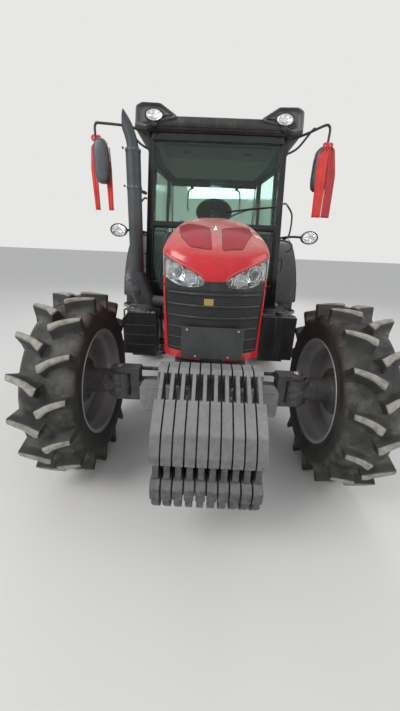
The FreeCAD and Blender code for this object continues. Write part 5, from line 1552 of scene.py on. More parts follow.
@dataclass(frozen=True)
class FrontAxle:
    """Axle beam, knuckles, steering rod and cylinder."""

    kingpin: float = 655.0
    centre: float = 640.0
    rod_place: float = 185.0
    rod_height: float = 672.0

    def build(self) -> None:
        """Dress the axle and all that steers on it."""
        # the axle beam takes the cast grey darkened as painted shade
        soften(("front_axle",), CAST_PAINTED_SHADE, edge=6.0, steps=3)
        soften(("front_support",), CAST, edge=7.0, steps=3)
        for side in Side:
            self.knuckle(side)
        self.steering()
        self.support()

    def knuckle(self, side: Side) -> None:
        """Knuckle with its carrier bolts and grease nipples.

        Args:
            side: The knuckle's side.
        """
        hand = side.value
        body = f"knuckle_{side.word}"
        # the knuckle takes the cast grey darkened as painted shade
        soften((body,), CAST_PAINTED_SHADE, body, 5.0, 3)
        bolts = Shape()
        bolts.bolt_ring(spot(hand * 738.0, 0.0, self.centre), ACROSS * hand, 70.0, 8, 11.0)
        for z, way in ((762.0, UP), (518.0, -UP)):
            bolts.turned([(0.0, 34.0), (7.0, 34.0), (9.0, 30.0)], spot(hand * self.kingpin, 0.0, z), way, 24)
            bolts.bolt_ring(spot(hand * self.kingpin, 0.0, z + way.z * 8.0), way, 22.0, 4, 8.0)
            bolts.turned([(8.0, 4.0), (20.0, 4.0), (24.0, 2.0)], spot(hand * self.kingpin, 0.0, z), way, 8)
        bolts.piece(f"knuckle_bolts_{side.word}", STEEL, body)
        joint = Shape()
        joint.turned([(-3.0, 24.0), (6.0, 24.0), (10.0, 18.0), (17.0, 16.0), (18.0, 4.0)],
                     spot(hand * self.kingpin, self.rod_place, 618.0), -UP, 20)
        joint.piece(f"ball_joint_nut_{side.word}", STEEL, body)

    def steering(self) -> None:
        """Sliding rod with its ball joints and rubber boots."""
        rod = Shape()
        rod.tube(spots([(-345.0, self.rod_place, self.rod_height), (345.0, self.rod_place, self.rod_height)]), 19.8, 28)
        for side in Side:
            hand = side.value
            rod.tube(spots([(hand * 344.0, self.rod_place, self.rod_height),
                            (hand * self.kingpin, self.rod_place, self.rod_height)]), 15.0, 20)
        rod.piece("steering_rod_bar", BLACK_STEEL, "steering_rod", ("steering_rod",), edge=1.5)
        joints = Shape()
        for side in Side:
            hand = side.value
            eye = spot(hand * self.kingpin, self.rod_place, self.rod_height)
            ball = [(26.0 * math.cos(t), max(26.0 * math.sin(t), 0.5)) for t in
                    [math.pi * (1.0 - k / 12.0) for k in range(13)]]
            joints.turned(ball, eye, UP, 28)
            joints.turned([(0.0, 20.0), (18.0, 21.0), (20.0, 24.0), (44.0, 24.0), (46.0, 20.0), (60.0, 18.0),
                           (62.0, 14.0)], eye, -ACROSS * hand, 20)
            joints.turned([(100.0, 23.0), (128.0, 23.0)], eye, -ACROSS * hand, 6)
        joints.piece("steering_ball_joints", BLACK_STEEL, "steering_rod", edge=1.0)
        fixed = Shape()
        for side in Side:
            hand = side.value
            end = spot(hand * 210.0, self.rod_place, self.rod_height)
            fixed.turned([(-30.0, 21.0), (-30.0, 40.0), (0.0, 41.0), (2.0, 38.0), (2.0, 21.0)], end, ACROSS * hand, 28,
                         loop=True)
            hose = spots([(hand * 180.0, self.rod_place, self.rod_height + 36.0),
                          (hand * 178.0, self.rod_place + 10.0, self.rod_height + 70.0),
                          (hand * 150.0, self.rod_place + 30.0, self.rod_height + 100.0),
                          (hand * 120.0, self.rod_place + 60.0, 800.0)])
            fixed.tube(bent(hose, 6), 8.0, 10)
        fixed.piece("steering_cylinder_ends", BLACK_STEEL)

    def support(self) -> None:
        """Bolts and plates of the front support, and the axle's cover."""
        bolts = Shape()
        for side in Side:
            hand = side.value
            for place in (-250.0, -100.0, 60.0, 200.0):
                bolts.bolt(spot(hand * 180.0, place, 835.0), ACROSS * hand, 22.0)
                bolts.bolt(spot(hand * 180.0, place, 765.0), ACROSS * hand, 22.0)
        for place in (-105.0, 105.0):
            bolts.bolt_ring(spot(0.0, place, 618.0), ALONG if place > 0 else -ALONG, 84.0, 10, 12.0, 12.0)
        bolts.piece("support_bolts", STEEL)
        plates = Shape()
        for side in Side:
            hand = side.value
            outline = rounded([(hand * 192.0, 668.0), (hand * 388.0, 668.0), (hand * 388.0, 808.0),
                               (hand * 192.0, 808.0)], 14.0)
            plates.cross_slab(outline, -436.0, -429.0)
            x0, x1 = sorted((hand * 396.0, hand * 407.0))
            plates.side_slab(rounded([(-424.0, 662.0), (-332.0, 662.0), (-332.0, 812.0), (-424.0, 812.0)], 12.0), x0, x1)
        plates.turned([(0.0, 92.0), (10.0, 92.0), (16.0, 60.0), (17.0, 8.0)], spot(0.0, -105.0, 618.0), -ALONG, 36)
        plates.piece("support_plates", CAST, edge=3.0)


@dataclass(frozen=True)
class Chassis:
    """Engine, gearbox, final drive, radiator and drive shaft."""

    half: float = 185.0
    front: float = 250.0
    rear: float = 985.0

    def build(self) -> None:
        """Dress the spine of the machine."""
        soften(("engine_block", "gearbox", "final_drive"), CAST, edge=9.0, steps=3)
        self.sides()
        self.top()
        self.cooling()
        self.driveline()

    def sides(self) -> None:
        """Ribs, covers and bolts on the sides of engine and gearbox."""
        ribs = Shape()
        for side in Side:
            hand = side.value
            x0, x1 = sorted((hand * (self.half - 2.0), hand * (self.half + 9.0)))
            ribs.block(x0, x1, self.front + 6.0, self.rear - 6.0, 792.0, 812.0)
            ribs.block(x0, x1, self.front + 6.0, self.rear - 6.0, 1286.0, 1304.0)
            for number in range(7):
                place = self.front + 60.0 + 102.0 * number
                ribs.block(x0, x1 - 0.0, place, place + 12.0, 620.0, 792.0)
                ribs.block(x0, x1 - 0.0, place + 20.0, place + 32.0, 1120.0, 1286.0)
            x0, x1 = sorted((hand * 173.0, hand * 185.0))
            for number in range(9):
                place = 1040.0 + 125.0 * number
                ribs.block(x0, x1, place, place + 14.0, 520.0, 965.0)
            ribs.block(x0, x1, 990.0, 2165.0, 730.0, 750.0)
        for place in (985.0, 1500.0, 2168.0):
            outline = rounded([(-188.0, 492.0), (188.0, 492.0), (188.0, 992.0), (-188.0, 992.0)], 30.0)
            ribs.cross_slab(outline, place - 9.0, place + 9.0)
        ribs.piece("spine_ribs", CAST, edge=3.5)
        bolts = Shape()
        for side in Side:
            hand = side.value
            for number in range(12):
                bolts.bolt(spot(hand * (self.half + 9.0), self.front + 30.0 + 62.0 * number, 802.0), ACROSS * hand, 13.0)
            for place in (1002.0, 1482.0, 2150.0):
                for z in (540.0, 640.0, 830.0, 930.0):
                    bolts.bolt(spot(hand * 184.0, place, z), ACROSS * hand, 16.0)
            bolts.bolt_ring(spot(hand * 600.0 - hand * 60.0, 2450.0, 870.0), -ACROSS * hand, 132.0, 10, 20.0)
            bolts.bolt_ring(spot(hand * 243.0, 2450.0, 870.0), ACROSS * hand, 124.0, 10, 18.0, 18.0)
        bolts.piece("spine_bolts", STEEL)
        rings = Shape()
        for side in Side:
            hand = side.value
            rings.turned([(-4.0, 113.0), (-4.0, 146.0), (16.0, 146.0), (20.0, 140.0), (34.0, 113.0)],
                         spot(hand * 228.0, 2450.0, 870.0), ACROSS * hand, 40, loop=True)
            rings.turned([(0.0, 70.0), (10.0, 70.0), (14.0, 62.0), (15.0, 4.0)], spot(hand * 185.0, 880.0, 930.0),
                         ACROSS * hand, 36)
        rings.piece("axle_housing_flanges", CAST, edge=2.0)
        self.fittings()

    def fittings(self) -> None:
        """Filters, starter, tubes and hoses on the engine's sides."""
        dark = Shape()
        dark.turned([(0.0, 38.0), (4.0, 43.0), (120.0, 43.0), (128.0, 36.0), (130.0, 8.0)], spot(232.0, 520.0, 900.0), -UP,
                    32)
        dark.turned([(0.0, 38.0), (4.0, 40.0), (100.0, 40.0), (107.0, 34.0)], spot(228.0, 640.0, 905.0), -UP, 32)
        dark.block(184.0, 262.0, 480.0, 690.0, 900.0, 930.0)
        dark.turned([(0.0, 44.0), (6.0, 48.0), (150.0, 48.0), (156.0, 40.0), (175.0, 30.0), (178.0, 6.0)],
                    spot(-232.0, 965.0, 700.0), -ALONG, 32)
        dark.turned([(0.0, 22.0), (3.0, 25.0), (110.0, 25.0), (114.0, 20.0)], spot(-206.0, 950.0, 772.0), -ALONG, 24)
        dark.piece("engine_filters", BLACK_STEEL, edge=1.5)
        hoses = Shape()
        for line, radius in (
                (((190.0, 700.0, 1010.0), (222.0, 690.0, 1000.0), (232.0, 640.0, 960.0), (228.0, 630.0, 925.0)), 9.0),
                (((190.0, 420.0, 1000.0), (225.0, 430.0, 985.0), (236.0, 500.0, 960.0), (232.0, 520.0, 925.0)), 9.0),
                (((-188.0, 380.0, 960.0), (-214.0, 420.0, 955.0), (-222.0, 600.0, 900.0), (-206.0, 800.0, 860.0),
                  (-190.0, 960.0, 850.0)), 11.0),
                (((188.0, 300.0, 700.0), (212.0, 330.0, 690.0), (216.0, 560.0, 650.0), (210.0, 800.0, 655.0),
                  (196.0, 1000.0, 660.0), (190.0, 1200.0, 690.0)), 10.0)):
            hoses.tube(bent(spots(line), 7), radius, 10)
        hoses.piece("engine_hoses", SEAL)

    def top(self) -> None:
        """Rocker cover, injectors, intake and turbo under the hood."""
        shape = Shape()
        shape.side_slab(rounded([(330.0, 1328.0), (905.0, 1328.0), (895.0, 1392.0), (340.0, 1392.0)], 16.0), -78.0, 78.0)
        shape.block(92.0, 150.0, 320.0, 930.0, 1318.0, 1362.0)
        for number in range(4):
            shape.turned([(0.0, 16.0), (26.0, 16.0), (30.0, 9.0), (52.0, 8.0)],
                         spot(-118.0, 390.0 + 145.0 * number, 1328.0), UP, 16)
        shape.piece("engine_cover", CAST, edge=5.0)
        dark = Shape()
        dark.turned([(0.0, 60.0), (8.0, 84.0), (190.0, 84.0), (205.0, 70.0), (210.0, 20.0)], spot(0.0, 300.0, 1500.0),
                    ALONG, 40)
        dark.tube(bent(spots([(0.0, 300.0, 1500.0), (0.0, 255.0, 1500.0), (40.0, 235.0, 1440.0), (110.0, 290.0, 1370.0),
                              (120.0, 340.0, 1345.0)]), 7), 30.0, 20)
        dark.block(-30.0, 30.0, 340.0, 470.0, 1390.0, 1422.0)
        dark.piece("air_cleaner", BLACK, edge=2.0)
        hot = Shape()
        hot.turned([(-30.0, 30.0), (-28.0, 62.0), (0.0, 70.0), (28.0, 62.0), (30.0, 30.0)], spot(-150.0, 640.0, 1372.0),
                   ALONG, 32)
        hot.tube(bent(spots([(-150.0, 640.0, 1330.0), (-160.0, 640.0, 1300.0), (-176.0, 640.0, 1240.0)]), 5), 26.0, 16)
        hot.piece("turbo", STEEL, edge=2.0)

    def cooling(self) -> None:
        """Radiator with its fins, tanks, shroud and fan."""
        soften(("radiator",), CORE, edge=3.0)
        fins = Shape()
        for number in range(26):
            z = 900.0 + 19.0 * number
            fins.block(-196.0, 196.0, -290.0, -285.0, z, z + 4.0)
        fins.piece("radiator_bars", CORE)
        dark = Shape()
        dark.block(-218.0, 218.0, -290.0, -80.0, 1392.0, 1436.0)
        dark.block(-218.0, 218.0, -290.0, -80.0, 871.0, 900.0)
        dark.turned([(0.0, 208.0), (0.0, 214.0), (110.0, 190.0), (150.0, 190.0), (150.0, 184.0), (110.0, 184.0)],
                    spot(0.0, -84.0, 1150.0), ALONG, 48, loop=True)
        dark.tube(bent(spots([(150.0, -84.0, 1400.0), (152.0, -20.0, 1405.0), (140.0, 150.0, 1380.0),
                              (120.0, 262.0, 1300.0)]), 7), 24.0, 18)
        dark.piece("fan_shroud", BLACK, edge=2.0)
        fan = Shape()
        fan.turned([(0.0, 52.0), (8.0, 58.0), (40.0, 58.0), (46.0, 40.0), (200.0, 30.0)], spot(0.0, 40.0, 1150.0), ALONG, 32)
        for number in range(7):
            turn = 2.0 * math.pi * number / 7.0
            root = Vector((math.cos(turn), 0.0, math.sin(turn)))
            across = Vector((-math.sin(turn), 0.0, math.cos(turn)))
            rings = []
            for reach, twist in ((50.0, 0.75), (110.0, 0.6), (176.0, 0.42)):
                middle = spot(0.0, 60.0, 1150.0) + root * reach / 1000.0
                wide = (across * math.cos(twist) + ALONG * math.sin(twist)) * 0.034
                thick = (ALONG * math.cos(twist) - across * math.sin(twist)) * 0.0016
                rings.append([middle - wide - thick, middle + wide - thick, middle + wide + thick, middle - wide + thick])
            fan.loft(rings)
        fan.piece("fan", BLACK)

    def driveline(self) -> None:
        """Front drive shaft with its guard and flanges."""
        shape = Shape()
        shape.turned([(0.0, 44.0), (14.0, 44.0), (16.0, 30.0), (60.0, 27.8), (820.0, 27.8), (864.0, 30.0), (866.0, 44.0),
                      (880.0, 44.0)], spot(0.0, 105.0, 554.0), ALONG, 36)
        shape.piece("drive_shaft_guard", BLACK_STEEL, replaces=("front_drive_shaft",), angle=30.0)


@dataclass(frozen=True)
class Cab:
    """Cab shell: frame, walls, glass, doors, roof and lamps."""

    front: float = 1040.0
    middle: float = 1960.0
    rear: float = 2700.0
    head: float = 2525.0
    roof_height: float = 220.0
    pod: tuple[Pair, ...] = ((350.0, 2612.0), (370.0, 2596.0), (530.0, 2568.0), (620.0, 2527.0), (700.0, 2547.0),
                             (690.0, 2671.0), (640.0, 2695.0), (485.0, 2692.0))

    def wall(self, place: float, height: float) -> float:
        """Outside of the cab's wall at a place and height."""
        lean = 0.05 * (height - 1075.0)
        if place <= self.middle:
            return 672.0 + 0.15 * (place - self.front) - lean
        return 672.0 + 0.15 * (self.middle - self.front) - 0.12 * (place - self.middle) - lean

    def build(self) -> None:
        """Make the cab from its frame outwards."""
        soften(("cab_frame",), CAB_BLACK, edge=10.0, steps=3)
        soften(("front_wall", "rear_wall"), CAB_BLACK, edge=6.0, steps=3)
        soften(("cab_floor",), FLOOR_MAT, edge=5.0)
        for node in ("windscreen", "cab_panes", "door_glass_left", "door_glass_right"):
            dress(node, CAB_GLASS)
        seals("windscreen", 8.0).piece("windscreen_seal", SEAL)
        seals("cab_panes", 7.0).piece("cab_pane_seals", SEAL)
        for side in Side:
            self.door(side)
            self.pod_lamp(side)
            self.outside(side)
        self.roof()
        self.windscreen()
        self.rear_window()

    def door(self, side: Side) -> None:
        """Door with its seal, latch, grab handle and inner grip.

        Args:
            side: The door's side.
        """
        hand = side.value
        body = f"door_{side.word}"
        soften((body,), CAB_BLACK, body, 6.0, 3)
        seals(f"door_glass_{side.word}", 6.0).piece(f"door_seal_{side.word}", SEAL, body)
        shape = Shape()
        place, height = 1124.0, 1460.0
        wall = self.wall(place, height)
        shape.side_slab(rounded([(place - 14.0, height - 70.0), (place + 14.0, height - 70.0),
                                 (place + 18.0, height + 90.0), (place - 10.0, height + 90.0)], 10.0),
                        *sorted((hand * (wall - 2.0), hand * (wall + 9.0))))
        line = [(hand * wall, place, height - 50.0), (hand * (wall + 42.0), place + 2.0, height - 44.0),
                (hand * (wall + 46.0), place + 3.0, height + 10.0), (hand * (wall + 42.0), place + 4.0, height + 64.0),
                (hand * (wall - 3.0), place + 4.0, height + 70.0)]
        shape.tube(bent(spots(line), 6), 7.0, 10)
        shape.piece(f"door_handle_{side.word}", BLACK, body, edge=2.0)
        inner = Shape()
        for z in (1300.0, 1700.0):
            wall = self.wall(1130.0, z) - 34.0
            inner.block(*sorted((hand * (wall - 26.0), hand * (wall + 2.0))), 1116.0, 1136.0, z - 8.0, z + 8.0)
        top = self.wall(1130.0, 1700.0) - 58.0
        low = self.wall(1130.0, 1300.0) - 58.0
        inner.tube(spots([(hand * low, 1126.0, 1285.0), (hand * top, 1126.0, 1715.0)]), 9.0, 12)
        inner.piece(f"door_grip_{side.word}", BLACK, body, edge=2.0)

    def outside(self, side: Side) -> None:
        """Grab rails and gutters on one side.

        Args:
            side: The cab's side.
        """
        hand = side.value
        shape = Shape()
        rail = [(hand * 632.0, 1036.0, 2010.0), (hand * 652.0, 1012.0, 2006.0), (hand * 700.0, 985.0, 1935.0),
                (hand * 712.0, 982.0, 1880.0), (hand * 712.0, 982.0, 1790.0), (hand * 700.0, 985.0, 1735.0),
                (hand * 655.0, 1012.0, 1700.0), (hand * 634.0, 1036.0, 1700.0)]
        shape.tube(bent(spots(rail), 5), 8.0, 10)
        for low, high in ((1900.0, 2020.0), (2290.0, 2420.0)):
            wall = self.wall(self.middle + 4.0, low)
            shape.tube(spots([(hand * (wall + 2.0), self.middle + 10.0, low),
                              (hand * (self.wall(self.middle + 4.0, high) + 2.0), self.middle + 10.0, high)]), 4.0, 8)
        shape.piece(f"cab_rails_{side.word}", CAB_BLACK)

    def roof(self) -> None:
        """Roof shell with its ledges, top hatch and headliner."""
        table = [(0.0, 45.0, 55.0, 70.0), (0.04, 30.0, 38.0, 50.0), (0.05, 26.0, 30.0, 46.0), (0.10, 15.0, 20.0, 25.0),
                 (0.11, 12.0, 13.0, 20.0), (0.17, 3.0, 3.0, 4.0), (0.21, 0.0, 0.0, 0.0), (0.32, 1.0, 1.0, 4.0),
                 (0.40, 4.0, 5.0, 12.0), (0.44, 9.0, 22.0, 20.0), (0.47, 14.0, 50.0, 28.0), (0.62, 42.0, 150.0, 75.0),
                 (0.75, 84.0, 240.0, 130.0), (0.87, 138.0, 345.0, 200.0), (0.95, 200.0, 420.0, 265.0),
                 (1.0, 280.0, 505.0, 335.0)]
        rings = []
        for share, side, front, rear in table:
            half = 735.0 - side
            y0, y1 = 975.0 + front, 2830.0 - rear
            corner = 70.0 + 60.0 * share
            outline = rounded([(-half + corner, y0), (half - corner, y0), (half, y0 + corner), (half, y1 - corner),
                               (half - corner, y1), (-half + corner, y1), (-half, y1 - corner), (-half, y0 + corner)],
                              60.0, 4)
            rings.append([spot(x, y, self.head + self.roof_height * share) for x, y in outline])
        Shape().loft(rings).piece("roof_shell", ROOF, replaces=("cab_roof",), angle=26.0)
        hatch = Shape()
        hatch.level_slab(rounded([(-300.0, 1560.0), (300.0, 1560.0), (300.0, 2280.0), (-300.0, 2280.0)], 60.0), 2741.0,
                         2749.0)
        for x in (-380.0, 380.0):
            hatch.side_slab(rounded([(1520.0, 2738.0), (2360.0, 2738.0), (2340.0, 2748.0), (1540.0, 2748.0)], 4.0), x - 14.0,
                            x + 14.0)
        hatch.piece("roof_hatch", ROOF, edge=3.0)
        liner = Shape()
        liner.level_slab(rounded([(-560.0, 1110.0), (560.0, 1110.0), (600.0, 1900.0), (540.0, 2580.0), (-540.0, 2580.0),
                                  (-600.0, 1900.0)], 40.0), 2508.0, 2524.0)
        liner.piece("headliner", LINER, edge=5.0)
        dark = Shape()
        dark.level_slab(rounded([(-520.0, 1250.0), (520.0, 1250.0), (520.0, 1620.0), (-520.0, 1620.0)], 40.0), 2486.0,
                        2509.0)
        for x in (-300.0, 300.0):
            dark.turned([(0.0, 42.0), (6.0, 42.0), (12.0, 34.0), (13.0, 6.0)], spot(x, 1430.0, 2487.0), -UP, 28)
        dark.piece("roof_console", BLACK, edge=6.0)

    def pod_lamp(self, side: Side) -> None:
        """Pod on the roof's front corner with its oval work lamp.

        Args:
            side: The pod's side.
        """
        hand = side.value
        outline = [(hand * x, z) for x, z in rounded(self.pod, 16.0, 3)]
        middle = (hand * 540.0, 2630.0)
        rings = []
        for place, share in ((958.0, 0.90), (955.0, 0.95), (960.0, 0.995), (975.0, 1.0), (1110.0, 1.0)):
            rings.append([spot(between(middle[0], x, share), place, between(middle[1], z, share)) for x, z in outline])
        recess = [[spot(between(middle[0], x, share), place, between(middle[1], z, share)) for x, z in outline]
                  for place, share in ((985.0, 0.74), (975.0, 0.84))]
        shape = Shape().loft(recess[::1] + rings)
        roof = Shape.of_node("cab_roof")
        shape.cut(roof)
        roof.mesh.free()
        made = shape.piece(f"roof_pod_{side.word}", POD, angle=28.0)
        if side is Side.LEFT:
            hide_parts("roof_lamps")
        centre = spot(hand * 540.0, 952.0, 2612.0)
        self.oval_lamp(f"pod_lamp_{side.word}", centre, 70.0, 41.0, 40.0)
        bracket = Shape()
        bracket.block(*sorted((hand * 515.0, hand * 565.0)), 960.0, 978.0, 2540.0, 2568.0)
        bracket.block(*sorted((hand * 525.0, hand * 556.0)), 964.0, 1010.0, 2534.0, 2552.0)
        bracket.piece(f"pod_bracket_{side.word}", BLACK, edge=3.0)

    @staticmethod
    def oval_lamp(name: str, centre: Vector, half: float, high: float, depth: float, body: str = "chassis") -> None:
        """Oval lamp that looks forwards: ring, reflector with facets, lens and housing.

        Args:
            name: Start of its pieces' names.
            centre: Middle of its face.
            half: Half its width.
            high: Half its height.
            depth: Its depth.
            body: The body that it rides on.
        """
        def ring(size: float, back: float, count: int = 36, wave: float = 0.0) -> list[Vector]:
            """Oval of points at a depth behind the face."""
            points = []
            for k in range(count):
                turn = 2.0 * math.pi * k / count
                reach = size * (1.0 + (wave if k % 2 else -wave))
                points.append(centre + Vector((half * reach * math.cos(turn), back, high * reach * math.sin(turn)))
                              / 1000.0)
            return points

        housing = Shape().loft([ring(0.40, 0.80 * depth), ring(0.90, 0.55 * depth), ring(0.97, 6.0), ring(0.98, 2.0), ring(1.06, 0.0), ring(1.12, 3.0), ring(1.13, 12.0),
                                ring(1.04, 0.55 * depth), ring(0.75, 0.9 * depth), ring(0.5, depth)])
        housing.piece(f"{name}_housing", BLACK, body, angle=40.0)
        cup = Shape().loft([ring(0.30, 0.60 * depth, 24, 0.0), ring(0.32, 0.50 * depth, 24, 0.06),
                            ring(0.55, 0.36 * depth, 24, 0.04), ring(0.78, 0.20 * depth, 24, 0.03),
                            ring(0.92, 6.5, 24, 0.0), ring(0.94, 4.5, 24, 0.0)], caps=False)
        cup.loft([ring(0.30, 0.60 * depth, 24), ring(0.02, 0.62 * depth, 24)], caps=False)
        cup.piece(f"{name}_reflector", REFLECTOR, body, angle=12.0)
        lens = Shape().loft([ring(0.02, -1.0), ring(0.4, -0.6), ring(0.75, 0.6), ring(0.95, 2.4), ring(0.96, 4.4)],
                            caps=False)
        lens.piece(f"{name}_lens", LENS, body, angle=60.0)

    def windscreen(self) -> None:
        """Sill of the windscreen, its ledges, and the wiper."""
        shape = Shape()
        shape.cross_slab(rounded([(-600.0, 1786.0), (600.0, 1786.0), (596.0, 1826.0), (-596.0, 1826.0)], 8.0), 1010.0,
                         1026.0)
        shape.cross_slab(rounded([(-575.0, 2470.0), (575.0, 2470.0), (572.0, 2522.0), (-572.0, 2522.0)], 6.0), 1044.0,
                         1064.0)
        shape.piece("windscreen_sill", CAB_BLACK, edge=4.0)
        wiper = Shape()
        wiper.turned([(0.0, 20.0), (14.0, 18.0), (22.0, 12.0), (24.0, 4.0)], spot(92.0, 1018.0, 1852.0), -ALONG, 20)
        wiper.tube(spots([(92.0, 1002.0, 1852.0), (200.0, 1004.0, 1908.0), (330.0, 1014.0, 1952.0)]), [7.0, 5.5, 4.0], 8)
        wiper.tube(spots([(110.0, 1018.0, 1926.0), (330.0, 1020.0, 1958.0), (560.0, 1022.0, 1984.0)]), [3.0, 5.0, 3.0], 8)
        wiper.tube(spots([(104.0, 1023.0, 1921.0), (566.0, 1027.0, 1980.0)]), 3.5, 6, flat=1.8)
        wiper.piece("wiper", BLACK)

    def rear_window(self) -> None:
        """Rails, dampers, handles and wiper of the rear window, seen through the cab."""
        shape = Shape()
        place = self.rear - 55.0
        shape.block(-600.0, 600.0, place, place + 14.0, 2425.0, 2470.0)
        for x in (-590.0, 575.0):
            shape.block(x, x + 16.0, place, place + 14.0, 1835.0, 2470.0)
        for x in (-330.0, 300.0):
            shape.block(x, x + 44.0, place - 16.0, place + 16.0, 2395.0, 2450.0)
            hand = -1.0 if x < 0 else 1.0
            line = [(x + 22.0, place - 10.0, 2400.0), (x + 22.0 + hand * 40.0, place - 18.0, 2375.0),
                    (x + 22.0 + hand * 52.0, place - 20.0, 2300.0), (x + 22.0 + hand * 56.0, place - 20.0, 2160.0),
                    (x + 22.0 + hand * 44.0, place - 18.0, 2110.0)]
            shape.tube(bent(spots(line), 6), 10.0, 10)
        shape.piece("rear_window_frame", CAB_BLACK, edge=3.0)
        wiper = Shape()
        wiper.turned([(0.0, 18.0), (14.0, 16.0), (18.0, 6.0)], spot(0.0, self.rear - 32.0, 1856.0), ALONG, 18)
        wiper.tube(spots([(0.0, self.rear - 22.0, 1856.0), (-180.0, self.rear - 22.0, 1930.0),
                          (-300.0, self.rear - 24.0, 1950.0)]), 5.0, 8)
        wiper.tube(spots([(-90.0, self.rear - 29.0, 1910.0), (-480.0, self.rear - 29.0, 1986.0)]), 4.0, 6, flat=1.8)
        wiper.piece("rear_wiper", BLACK)


